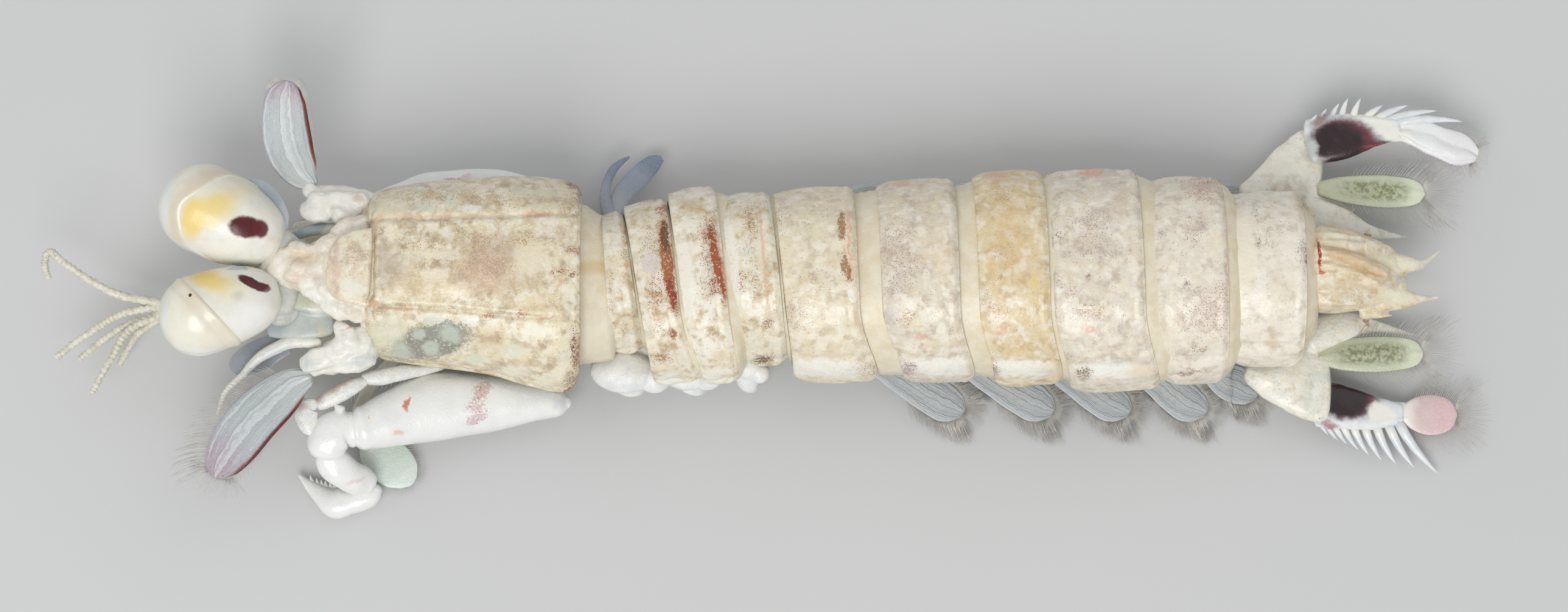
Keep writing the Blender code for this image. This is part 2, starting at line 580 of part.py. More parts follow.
def build_walking_legs():
    """Three pairs of slender legs, each with a stout base, a thin branch to the floor and a flat one."""
    first_right = (
        (15.6, 2.0, 3.2, 0.45, 0.42), (14.7, 3.2, 2.8, 0.42, 0.38),
        (14.45, 4.6, 2.4, 0.30, 0.28), (14.9, 5.8, 2.1, 0.27, 0.26), (15.8, 6.5, 1.9, 0.2, 0.2),
    )
    first_right_flat = (
        (14.9, 2.9, 2.8, 0.30, 0.28), (15.3, 4.2, 2.2, 0.55, LEAF), (16.2, 5.3, 1.7, 0.62, LEAF),
        (17.3, 6.2, 1.3, 0.35, 0.2),
    )
    bases = {1: (16.9, 1.60), 2: (19.8, 1.20), 3: (22.45, 0.90)}
    for number, (station, left_stout) in bases.items():
        for side in (LEFT, RIGHT):
            name = f"walking_leg_{number}_{SIDE_NAMES[side]}"
            if (number, side) == (1, RIGHT):
                body = solid(name, limb(first_right, bands=8), CLEAR)
                join(body, solid(f"{name}_flat", limb(first_right_flat), CLEAR))
                continue
            reach = 5.5 if side == LEFT else 3.9
            stout = left_stout if side == LEFT else 0.55
            thin = (
                (station, side * 2.2 - 0.5, 3.1, 0.5, 0.42),
                (station - 0.3, side * (reach - 1.4) - 0.4, 2.5, stout, 0.60),
                (station - 0.3, side * reach - 0.5, 2.2, stout, 0.65),
                (station - 0.1, side * (reach + 0.55) - 0.5, 1.4, 0.40, 0.36),
                (station - 0.9, side * (reach - 0.3) - 0.7, 0.75, 0.28, 0.27),
                (station - 2.0, side * (reach - 1.3) - 0.8, 0.22, 0.25, 0.25),
            )
            flat = (
                (station - 0.25, side * (reach - 0.3) - 0.5, 2.1, 0.30, 0.28),
                (station + 0.6, side * (reach - 0.5) - 0.6, 1.1, 0.50, LEAF),
                (station + 0.75, side * (reach - 1.0) - 0.7, 0.55, 0.25, 0.2),
            )
            body = solid(name, limb(thin, sides=6, bands=9, up=(0.3, 0, 1)), FLESH)
            join(body, solid(f"{name}_flat", limb(flat, sides=6, up=(1, 0, 0.2)), CLEAR))


def build_pleopods():
    """Five pairs of leaf-like swimming limbs below the abdomen, which it rests on.

    Each pair is one solid from the tip of the left leaf over the middle to the right one. The
    left leaves spread past the side plates, the right ones are tucked in below them.
    """
    bases = (26.6, 31.4, 36.1, 40.9, 45.7)
    left_tips = (33.2, 38.2, 42.8, 47.4, 50.4)
    for number, (station, tip) in enumerate(zip(bases, left_tips), start=1):
        last = number == len(bases)
        out = -7.0 if last else -7.9
        run = tip - station
        stops = (
            (tip, out, 0.24, 0.35, 0.2),
            (tip - 0.6, out + 0.4, 0.26, 0.95, LEAF),
            (station + 0.62 * run, -6.1, 0.6, 1.25, LEAF),
            (station + 0.32 * run, -4.9, 1.5, 1.05, LEAF),
            (station + 0.1, -3.6, 2.6, 0.7, 0.35),
            (station, -0.5, 3.05, 0.5, LEAF),
            (station + 0.1, 2.8, 2.6, 0.7, 0.35),
            (station + 1.5, 3.7, 1.5, 1.05, LEAF),
            (station + 3.2, 3.9, 0.6, 1.2, LEAF),
            (station + 4.6, 3.7, 0.26, 0.9, LEAF),
            (station + 5.1, 3.6, 0.24, 0.35, 0.2),
        )
        solid(f"pleopods_{number}", limb(stops, bands=10), CLEAR)


def build_uropods():
    """Each side of the tail fan: protopod with its forked spines, spined exopod, paddle, endopod."""
    protopods = {
        LEFT: ((49.9, -5.4, 1.95, 0.7, 0.50), (50.8, -5.9, 1.95, 1.45, 0.55),
               (52.2, -6.1, 1.9, 2.1, 0.60), (53.3, -6.0, 1.7, 2.3, 0.55)),
        RIGHT: ((49.8, 4.5, 2.1, 0.7, 0.45), (50.9, 4.9, 2.1, 1.35, 0.50),
                (52.2, 5.6, 2.1, 2.0, 0.55), (53.2, 5.8, 2.0, 2.2, 0.55)),
    }
    forks = {
        LEFT: (((52.6, -4.1, 1.6), (55.4, -2.9, 1.35), (57.2, -2.8, 1.3), (59.0, -3.4, 1.3)),
               ((52.6, -3.9, 1.5), (54.6, -3.1, 1.2), (55.4, -3.2, 0.9), (56.3, -3.3, 0.7))),
        RIGHT: (((52.6, 3.6, 1.9), (55.4, 2.5, 1.7), (57.2, 2.1, 1.7), (58.6, 2.0, 1.7)),
                ((52.6, 3.9, 1.8), (54.0, 3.4, 1.5), (55.0, 3.5, 1.4), (55.8, 3.6, 1.4))),
    }
    exopods = {
        LEFT: ((53.75, -7.0, 1.45, 1.30, 0.45), (54.6, -7.2, 1.4, 1.15, 0.45),
               (56.3, -7.5, 1.2, 0.90, 0.42), (57.95, -7.6, 1.1, 0.55, 0.35)),
        RIGHT: ((53.4, 7.2, 2.5, 1.25, 0.45), (54.8, 7.5, 2.6, 1.25, 0.45),
                (56.6, 7.8, 2.6, 0.85, 0.42), (58.0, 7.9, 2.5, 0.50, 0.35)),
    }
    spine_tips = {
        LEFT: ((54.0, -8.8, 1.0), (54.5, -9.1, 1.0), (55.0, -9.3, 0.9), (55.6, -9.6, 0.8),
               (56.2, -9.9, 0.7), (56.9, -10.2, 0.6), (57.7, -10.4, 0.5), (58.7, -10.6, 0.4),
               (60.0, -10.9, 0.3)),
        RIGHT: ((53.6, 8.8, 2.8), (54.1, 9.1, 2.9), (54.8, 9.4, 2.9), (55.3, 9.7, 2.9),
                (56.0, 9.7, 2.9), (57.2, 9.3, 2.8), (58.6, 9.3, 2.7), (60.2, 9.0, 2.6),
                (61.6, 8.4, 2.6)),
    }
    paddles = {
        LEFT: ((58.1, -7.6, 1.05, 0.45, 0.3), (58.7, -7.65, 1.0, 0.90, LEAF),
               (59.6, -7.7, 0.95, 1.10, LEAF), (60.4, -7.7, 0.9, 0.90, LEAF), (60.9, -7.7, 0.9, 0.4, 0.2)),
        RIGHT: ((58.15, 7.85, 2.4, 0.45, 0.3), (59.0, 7.75, 2.3, 0.80, LEAF),
                (60.4, 7.2, 2.1, 0.95, LEAF), (61.6, 6.8, 2.0, 0.90, LEAF), (62.35, 6.5, 1.9, 0.4, 0.2)),
    }
    endopods = {
        LEFT: ((53.6, -4.6, 1.7, 0.45, 0.3), (54.6, -4.45, 1.75, 0.80, LEAF),
               (56.4, -4.4, 1.75, 0.86, LEAF), (58.2, -4.35, 1.7, 0.75, LEAF), (59.1, -4.35, 1.7, 0.3, 0.2)),
        RIGHT: ((53.6, 4.7, 2.1, 0.45, 0.3), (54.6, 4.65, 2.2, 0.72, LEAF),
                (56.6, 4.55, 2.2, 0.80, LEAF), (58.4, 4.5, 2.1, 0.68, LEAF), (59.4, 4.45, 2.1, 0.3, 0.2)),
    }
    for side, word in SIDE_NAMES.items():
        name = f"uropod_{word}"
        body = solid(f"{name}_protopod", limb(protopods[side], sides=12), FLESH)
        spines = []
        for number, path in enumerate(forks[side]):
            stops = [(*point, size, size * 0.8) for point, size in zip(path, (0.55, 0.50, 0.34, 0.08))]
            spines.append(solid(f"{name}_fork_{number}", limb(stops), IVORY))
        join(body, *spines)

        tips = spine_tips[side]
        bm = limb(exopods[side], bands=len(tips))
        roots = []
        for step in range(len(tips)):
            station, across, height, half, _ = between(exopods[side], (step + 0.5) / len(tips))
            roots.append(at(station, across + side * half, height))
        grow(bm, list(zip(roots, [at(*tip) for tip in tips])))
        solid(f"{name}_exopod", bm, MAROON)
        solid(f"{name}_paddle", limb(paddles[side], bands=6), PADDLE)
        solid(f"{name}_endopod", limb(endopods[side], bands=6), GREEN)


def main():
    clear_scene()
    build_carapace()
    build_rostral_plate()
    build_head_front()
    build_thorax_underside()
    build_somites()
    build_telson()
    build_eyes()
    build_antennules()
    build_antennae()
    build_antennal_scales()
    build_claw_left()
    build_claw_right()
    build_maxillipeds()
    build_walking_legs()
    build_pleopods()
    build_uropods()


main()
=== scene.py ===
"""The looks of a mantis shrimp that lies on its belly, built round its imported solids.

Places are in millimetres, as in the solids: a station runs back from the front edge of the
rostral plate, across is measured to the animal's right as it looks along a line of sight that
leans a little off the vertical, and height is above the floor. Colour marks are placed on a plan
grid laid square to that line of sight, in steps of GRID_STEP.
"""

import logging
import math
import random
from collections.abc import Callable, Iterable, Sequence
from dataclasses import dataclass
from enum import Enum

import bmesh
import bpy
from mathutils import Matrix, Vector, noise


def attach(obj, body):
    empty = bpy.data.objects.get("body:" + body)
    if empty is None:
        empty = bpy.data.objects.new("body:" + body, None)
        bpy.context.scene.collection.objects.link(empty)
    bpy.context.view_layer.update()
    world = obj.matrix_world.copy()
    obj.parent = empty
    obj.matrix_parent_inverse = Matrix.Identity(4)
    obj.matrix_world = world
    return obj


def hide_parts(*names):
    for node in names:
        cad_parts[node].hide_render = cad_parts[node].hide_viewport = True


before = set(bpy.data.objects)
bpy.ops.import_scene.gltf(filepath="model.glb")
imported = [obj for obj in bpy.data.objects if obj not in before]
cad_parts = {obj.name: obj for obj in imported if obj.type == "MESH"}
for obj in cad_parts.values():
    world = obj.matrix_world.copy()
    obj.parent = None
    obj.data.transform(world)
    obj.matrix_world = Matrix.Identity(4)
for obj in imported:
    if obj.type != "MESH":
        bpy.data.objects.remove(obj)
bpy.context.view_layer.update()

log = logging.getLogger("mantis_shrimp")

Colour = tuple[float, float, float]
Row = tuple[float, ...]

MM = 0.001
MIDDLE_STATION, MIDDLE_ACROSS = 23.2, -1.2
LEAN = math.radians(13)
LEVEL = 4.5
GRID_STEP = 0.033
GRID_X, GRID_Y = 553.0, 450.0
BACK_POWER = 2 / 2.4
TRUNK_MIDDLE = -0.4
TURNS_AFT_FROM, TURNS_AFT_OVER = -2.8, 2.9


class Side(Enum):
    """A side of the animal, by the sign of its distance across."""

    LEFT = -1
    RIGHT = 1

    @property
    def word(self) -> str:
        """The side's name, as the solids' names spell it."""
        return self.name.lower()


def at(station: float, across: float, height: float) -> Vector:
    """The point at a station, seen that far across the leaning line of sight, at a height."""
    true_across = (across - (height - LEVEL) * math.sin(LEAN)) / math.cos(LEAN)
    return Vector((station - MIDDLE_STATION, true_across - MIDDLE_ACROSS, height))


def on_grid(point: Vector) -> tuple[float, float]:
    """Where a point in millimetres shows on the plan grid."""
    across = (point.y + MIDDLE_ACROSS) * math.cos(LEAN) + (point.z - LEVEL) * math.sin(LEAN)
    station = point.x + MIDDLE_STATION
    return GRID_X + station / GRID_STEP, GRID_Y - across / GRID_STEP


def ease(value: float, start: float, end: float) -> float:
    """A smooth step from 0 at start to 1 at end."""
    t = min(max((value - start) / (end - start), 0.0), 1.0)
    return t * t * (3 - 2 * t)


def bump(value: float, centre: float, width: float) -> float:
    """A smooth hump, 1 at its centre."""
    return math.exp(-(((value - centre) / width) ** 2))


def grain(point: Vector, size: float) -> float:
    """Smooth noise between about -1 and 1, with features of that size."""
    return noise.noise(point / size)


def between(rows: Sequence[Row], fraction: float) -> list[float]:
    """A smooth curve through rows of numbers.

    Args:
        rows: the rows that the curve passes through, evenly spaced.
        fraction: how far along it, from 0 at the first row to 1 at the last.

    Returns:
        The row of numbers there.
    """
    last = len(rows) - 1
    place = min(max(fraction, 0.0), 1.0) * last
    index = min(int(place), last - 1)
    t = place - index
    near = [rows[min(max(index + step, 0), last)] for step in (-1, 0, 1, 2)]
    return [
        0.5 * (2 * b + (c - a) * t + (2 * a - 5 * b + 4 * c - d) * t * t + (3 * b - a - 3 * c + d) * t**3)
        for a, b, c, d in zip(*near)
    ]


def by_station(rows: Sequence[Row], station: float) -> list[float]:
    """The smooth row at a station, from rows that each start with theirs."""
    places = [row[0] for row in rows]
    if station <= places[0]:
        return list(rows[0])
    for index, (low, high) in enumerate(zip(places, places[1:])):
        if station <= high:
            share = (station - low) / (high - low)
            return between(rows, (index + share) / (len(rows) - 1))
    return list(rows[-1])


# Meshes


def loft(rings: Sequence[Sequence[Vector]], shares: Sequence[float] = ()) -> bmesh.types.BMesh:
    """A closed mesh through rings with the same number of points.

    Args:
        rings: the outlines, in order.
        shares: how far along the piece each ring lies, kept in the attribute "along". The
            attribute "aside" holds where a point lies across its ring, from -1 to 1.

    Returns:
        The mesh, its two ends closed by faces.
    """
    bm = bmesh.new()
    along, aside = (bm.verts.layers.float.new(name) for name in ("along", "aside"))
    bmesh.ops.create_circle(bm, cap_ends=True, segments=len(rings[0]), radius=1.0)
    bm.faces.ensure_lookup_table()
    face = bm.faces[0]
    shares = shares or [index / (len(rings) - 1) for index in range(len(rings))]
    places = [math.cos(math.tau * (k + 0.5) / len(rings[0])) for k in range(len(rings[0]))]
    for index, (ring, share) in enumerate(zip(rings, shares)):
        if index:
            face = bmesh.ops.extrude_discrete_faces(bm, faces=[face])["faces"][0]
        for vert, point, place in zip(face.verts, ring, places):
            vert.co = point
            vert[along], vert[aside] = share, place
    bmesh.ops.holes_fill(bm, edges=[edge for edge in bm.edges if edge.is_boundary], sides=0)
    return bm


def add_mesh(bm: bmesh.types.BMesh, other: bmesh.types.BMesh) -> None:
    """Put another mesh's shape into this one, and free it."""
    carrier = bpy.data.meshes.new("carrier")
    other.to_mesh(carrier)
    other.free()
    bm.from_mesh(carrier)
    bpy.data.meshes.remove(carrier)


def ripple(bm: bmesh.types.BMesh, amount: float, size: float) -> None:
    """Raise and lower a surface a little along its normals, in soft lumps of a size."""
    bmesh.ops.recalc_face_normals(bm, faces=bm.faces[:])
    bm.normal_update()
    for vert in bm.verts:
        vert.co += vert.normal * (amount * grain(vert.co, size))


def melted(bm: bmesh.types.BMesh, voxel: float, rounds: int = 4) -> bmesh.types.BMesh:
    """Melt closed shapes that overlap into one smooth skin.

    Args:
        bm: the shapes, which are freed.
        voxel: the size of the new faces, in millimetres.
        rounds: how often the skin is smoothed.

    Returns:
        The skin.
    """
    mesh = bpy.data.meshes.new("melt")
    bm.to_mesh(mesh)
    bm.free()
    carrier = bpy.data.objects.new("melt", mesh)
    bpy.context.scene.collection.objects.link(carrier)
    remesh = carrier.modifiers.new("remesh", "REMESH")
    remesh.mode, remesh.voxel_size = "VOXEL", voxel
    carrier.modifiers.new("smooth", "SMOOTH").iterations = rounds
    skin = bmesh.new()
    skin.from_object(carrier, bpy.context.evaluated_depsgraph_get())
    bpy.data.objects.remove(carrier)
    bpy.data.meshes.remove(mesh)
    return skin


@dataclass(frozen=True)
class Place:
    """A place along a run: its centre, its axes and its half sizes."""

    centre: Vector
    along: Vector
    side: Vector
    rise: Vector
    half: float
    thick: float

    def rim(self, turn: float, square: float = 1.0, out: float = 0.0) -> Vector:
        """The point of the outline at a turn, pushed out along its radius."""
        x = math.copysign(abs(math.cos(turn)) ** square, math.cos(turn))
        z = math.copysign(abs(math.sin(turn)) ** square, math.sin(turn))
        offset = self.side * x * self.half + self.rise * z * self.thick
        return self.centre + offset + offset.normalized() * out


@dataclass(frozen=True)
class Run:
    """A rounded limb's course, through stops of station, across, height and two half sizes."""

    stops: tuple[Row, ...]
    up: Row = (0, 0, 1)

    def place(self, fraction: float) -> Place:
        """The place at a fraction of the run."""
        row = between(self.stops, fraction)
        ahead = at(*between(self.stops, min(fraction + 0.02, 1.0))[:3])
        behind = at(*between(self.stops, max(fraction - 0.02, 0.0))[:3])
        along = (ahead - behind).normalized()
        side = along.cross(Vector(self.up)).normalized()
        rise = side.cross(along)
        return Place(at(*row[:3]), along, side, rise, max(row[3], 0.02), max(row[4], 0.02))

    def mesh(
        self,
        sides: int = 28,
        bands: int = 40,
        square: float = 1.0,
        relief: Callable[[float, float, Vector], float] | None = None,
        domed: bool = True,
    ) -> bmesh.types.BMesh:
        """The limb's closed surface.

        Args:
            sides: faces round it.
            bands: faces along it.
            square: below 1 for a boxier outline.
            relief: how far the surface stands out, from the fraction, the turn and the point.
            domed: whether the ends are rounded off past the first and last stop.

        Returns:
            The mesh in millimetres.
        """
        turns = [math.tau * (k + 0.5) / sides for k in range(sides)]
        rings = []
        for band in range(bands + 1):
            fraction = band / bands
            place = self.place(fraction)
            ring = []
            for turn in turns:
                point = place.rim(turn, square)
                if relief:
                    point = place.rim(turn, square, relief(fraction, turn, point))
                ring.append(point)
            rings.append(ring)
        shares = [band / bands for band in range(bands + 1)]
        if domed:
            rings, shares = self._domed(rings), [0.0, 0.0, *shares, 1.0, 1.0]
        return loft(rings, shares)

    def _domed(self, rings: list[list[Vector]]) -> list[list[Vector]]:
        """The rings with two small ones past either end."""
        caps = []
        for fraction, way, ring in ((0.0, -1, rings[0]), (1.0, 1, rings[-1])):
            place = self.place(fraction)
            reach = min(place.half, place.thick) * 0.7 * way
            cap = []
            for share, out in ((0.80, 0.55), (0.35, 0.95)):
                cap.append([place.centre + (p - place.centre) * share + place.along * reach * out for p in ring])
            caps.append(cap)
        return caps[0][::-1] + rings + caps[1]


def course(*stops: Row, up: Row = (0, 0, 1)) -> Run:
    """A run through stops given one by one."""
    return Run(stops, up)


def cone(root: Vector, tip: Vector, radius: float, sides: int = 10, lean: float = 0.0) -> bmesh.types.BMesh:
    """A pointed tooth or spine.

    Args:
        root: the middle of its foot.
        tip: its point.
        radius: its radius at the foot.
        sides: faces round it.
        lean: how far it bows to the side, as a share of its length.

    Returns:
        The closed mesh.
    """
    axis = tip - root
    along = axis.normalized()
    side = along.orthogonal().normalized()
    rise = along.cross(side)
    bow = Vector((0, 0, 1)).cross(along)
    rings = []
    for share, size in ((0.0, 1.0), (0.25, 0.9), (0.5, 0.72), (0.75, 0.46), (0.92, 0.2), (1.0, 0.05)):
        centre = root + axis * share + bow * (lean * axis.length * 4 * share * (1 - share))
        turns = [math.tau * k / sides for k in range(sides)]
        rings.append([centre + (side * math.cos(a) + rise * math.sin(a)) * radius * size for a in turns])
    return loft(rings)


def turned(base: Vector, axis: Vector, profile: Iterable[tuple[float, float]], sides: int) -> bmesh.types.BMesh:
    """A round shape about an axis, from pairs of distance along it and radius."""
    axis = axis.normalized()
    side = axis.orthogonal().normalized()
    rise = axis.cross(side)
    turns = [math.tau * k / sides for k in range(sides)]
    rings = []
    for distance, radius in profile:
        centre = base + axis * distance
        rings.append([centre + (side * math.cos(a) + rise * math.sin(a)) * radius for a in turns])
    return loft(rings)


# Materials


class Socket:
    """A shader socket that takes part in Python expressions of numbers."""

    def __init__(self, paint: "Paint", socket: bpy.types.NodeSocket) -> None:
        """Wrap a socket of a paint's node tree."""
        self.paint = paint
        self.socket = socket

    def _maths(self, operation: str, first: "Socket | float", second: "Socket | float") -> "Socket":
        """One Math node on two values."""
        return self.paint.node("Math", {"operation": operation}, {0: first, 1: second})

    def __add__(self, other: "Socket | float") -> "Socket":
        """The sum."""
        return self._maths("ADD", self, other)

    __radd__ = __add__

    def __sub__(self, other: "Socket | float") -> "Socket":
        """The difference."""
        return self._maths("SUBTRACT", self, other)

    def __rsub__(self, other: "Socket | float") -> "Socket":
        """The difference from a number."""
        return self._maths("SUBTRACT", other, self)

    def __mul__(self, other: "Socket | float") -> "Socket":
        """The product."""
        return self._maths("MULTIPLY", self, other)

    __rmul__ = __mul__

    def __lt__(self, other: "Socket | float") -> "Socket":
        """1 where this is less than the other."""
        return self._maths("LESS_THAN", self, other)


@dataclass(frozen=True)
class Mark:
    """An oval mark on the plan grid.

    Its middle and half sizes are in grid steps, its turn in degrees, and the edge is the share of
    its radius over which it fades.
    """

    x: float
    y: float
    long: float
    wide: float
    colour: Colour
    strength: float = 1.0
    edge: float = 0.7
    turn: float = 0.0

    @property
    def dotted(self) -> bool:
        """Whether the mark is dark, and made of close dots."""
        return self.colour[0] < 0.52


class Paint:
    """The node tree of one material, and the few ways in which its nodes are made."""

    def __init__(self, name: str) -> None:
        """Start a material with one Principled shader."""
        self.material = bpy.data.materials.new(name)
        self.material.use_nodes = True
        self.tree = self.material.node_tree
        self.shader = self.tree.nodes["Principled BSDF"]
        self._kept: dict[str, Socket] = {}

    def tag(self, name: str) -> Socket:
        """One of the attributes that loft leaves on a mesh."""
        return self.node("Attribute", {"attribute_name": name}, {}, "Fac")

    def node(
        self,
        kind: str,
        settings: dict[str, object],
        sockets: dict[int | str, object],
        output: int | str = 0,
    ) -> Socket:
        """Add a node.

        Args:
            kind: its type, without Blender's prefix.
            settings: its properties, set first.
            sockets: values or links by socket name or number.
            output: the output that is wanted.

        Returns:
            That output.
        """
        made = self.tree.nodes.new(f"ShaderNode{kind}")
        for key, value in settings.items():
            setattr(made, key, value)
        for key, value in sockets.items():
            if isinstance(value, Socket):
                self.tree.links.new(value.socket, made.inputs[key])
            else:
                made.inputs[key].default_value = value
        return Socket(self, made.outputs[output])

    def place(self) -> Socket:
        """The point being shaded, in millimetres."""
        if "place" not in self._kept:
            coordinates = self.node("TexCoord", {}, {}, "Object")
            self._kept["place"] = self.node(
                "VectorMath", {"operation": "SCALE"}, {0: coordinates, "Scale": 1 / MM}
            )
        return self._kept["place"]

    def plan(self) -> Socket:
        """The point on the plan grid."""
        if "plan" not in self._kept:
            split = self.node("SeparateXYZ", {}, {0: self.place()}, "X")
            x, y, z = (Socket(self, split.socket.node.outputs[axis]) for axis in "XYZ")
            across = (y + MIDDLE_ACROSS) * math.cos(LEAN) + (z - LEVEL) * math.sin(LEAN)
            self._kept["plan"] = self.node(
                "CombineXYZ",
                {},
                {
                    "X": (x + MIDDLE_STATION) * (1 / GRID_STEP) + GRID_X,
                    "Y": GRID_Y - across * (1 / GRID_STEP),
                },
            )
        return self._kept["plan"]

    def shifted(self, seed: float) -> Socket:
        """The place, moved so that each seed gives its own pattern."""
        offset = (seed * 17.3, seed * 5.1, seed * 9.7)
        return self.node("VectorMath", {"operation": "ADD"}, {0: self.place(), 1: offset})

    def noise(self, size: float, seed: float = 0.0, detail: float = 3.0, output: str = "Fac") -> Socket:
        """Soft noise from 0 to 1, with features of a size in millimetres."""
        sockets = {"Vector": self.shifted(seed), "Scale": 1 / size, "Detail": detail, "Roughness": 0.6}
        return self.node("TexNoise", {}, sockets, output)

    def ramp(self, value: Socket, start: float, end: float, low: float = 0.0, high: float = 1.0) -> Socket:
        """A smooth step from low to high, as a value goes from start to end."""
        sockets = {"Value": value, 1: start, 2: end, 3: low, 4: high}
        return self.node("MapRange", {"interpolation_type": "SMOOTHSTEP"}, sockets)

    def mix(self, factor: Socket | float, first: Socket | Colour, second: Socket | Colour) -> Socket:
        """One colour over another."""
        ends = [value if isinstance(value, Socket) else (*value, 1) for value in (first, second)]
        return self.node("Mix", {"data_type": "RGBA"}, {0: factor, 6: ends[0], 7: ends[1]}, 2)

    def dots(self, spacing: float, radius: float, seed: float = 0.0) -> tuple[Socket, Socket]:
        """Fine round dots in three dimensions.

        Args:
            spacing: about how far apart they are, in millimetres.
            radius: their radius, in millimetres.
            seed: the pattern's own number.

        Returns:
            A mask, 1 in the dots, and a random number from 0 to 1 for each of them.
        """
        sockets = {"Vector": self.shifted(seed), "Scale": 1 / spacing, "Randomness": 0.9}
        distance = self.node("TexVoronoi", {}, sockets, "Distance")
        colour = Socket(self, distance.socket.node.outputs["Color"])
        r = radius / spacing
        return self.ramp(distance, r * 1.25, r * 0.6), self.node("SeparateXYZ", {}, {0: colour}, "X")

    def specks(self, spacing: float, radius: float, share: Socket | float, seed: float = 0.0) -> Socket:
        """Such dots in a share of their places, from 0 to 1."""
        mask, chance = self.dots(spacing, radius, seed)
        return mask * (chance < share)

    def away(self, value: Socket) -> Socket:
        """The size of a value, without its sign."""
        return self.node("Math", {"operation": "ABSOLUTE"}, {0: value})

    def wandering_plan(self, ragged: float, size: float) -> Socket:
        """The plan, stirred by noise so that the edges of marks are ragged."""
        stir = self.noise(size, 3.0, 4.0, "Color")
        middle = self.node("VectorMath", {"operation": "SUBTRACT"}, {0: stir, 1: (0.5, 0.5, 0.5)})
        moved = self.node("VectorMath", {"operation": "MULTIPLY"}, {0: middle, 1: (ragged, ragged, 0)})
        return self.node("VectorMath", {"operation": "ADD"}, {0: self.plan(), 1: moved})

    def oval(self, plan: Socket, mark: Mark) -> Socket:
        """A mask, 1 inside a mark."""
        mapping = {
            "Vector": plan,
            "Location": (mark.x, mark.y, 0),
            "Rotation": (0, 0, math.radians(mark.turn)),
            "Scale": (mark.long, mark.wide, 1),
        }
        local = self.node("Mapping", {"vector_type": "TEXTURE"}, mapping)
        distance = self.node("VectorMath", {"operation": "LENGTH"}, {0: local}, "Value")
        return self.ramp(distance, 1 + mark.edge * 0.5, 1 - mark.edge, 0.0, mark.strength)

    def finish(self, roughness: Socket | float, constants: dict[str, float] | None = None) -> bpy.types.Material:
        """Set what is left on the shader and return the material."""
        self.put("Roughness", roughness)
        for name, value in (constants or {}).items():
            self.shader.inputs[name].default_value = value
        return self.material

    def put(self, name: str, value: Socket | float | Colour) -> None:
        """Link or set one of the shader's sockets."""
        if isinstance(value, Socket):
            self.tree.links.new(value.socket, self.shader.inputs[name])
        elif isinstance(value, tuple):
            self.shader.inputs[name].default_value = (*value, 1)
        else:
            self.shader.inputs[name].default_value = value

    def raise_surface(self, height: Socket, distance: float, strength: float = 1.0) -> None:
        """Let a height in shares of a distance in millimetres tilt the surface's shading."""
        sockets = {"Height": height, "Distance": distance * MM, "Strength": strength}
        self.put("Normal", self.node("Bump", {}, sockets, "Normal"))


WHITE: Colour = (0.86, 0.84, 0.76)
MILK: Colour = (0.78, 0.71, 0.55)
CREAM: Colour = (0.73, 0.60, 0.38)
BUFF: Colour = (0.60, 0.45, 0.26)
ORANGE: Colour = (0.70, 0.40, 0.15)
SAND: Colour = (0.70, 0.55, 0.36)
MAUVE: Colour = (0.40, 0.30, 0.28)
PLUM: Colour = (0.30, 0.20, 0.21)
DRAB: Colour = (0.38, 0.23, 0.11)
BROWN: Colour = (0.17, 0.065, 0.022)
SPECK: Colour = (0.36, 0.19, 0.08)
RUST: Colour = (0.29, 0.07, 0.022)
BLOOD: Colour = (0.19, 0.022, 0.012)
ROSE: Colour = (0.74, 0.36, 0.27)
OLIVE: Colour = (0.30, 0.31, 0.26)
MINT: Colour = (0.66, 0.71, 0.60)
LILAC: Colour = (0.66, 0.60, 0.60)
BRISTLE: Colour = (0.48, 0.46, 0.42)
PEARL: Colour = (0.89, 0.85, 0.75)


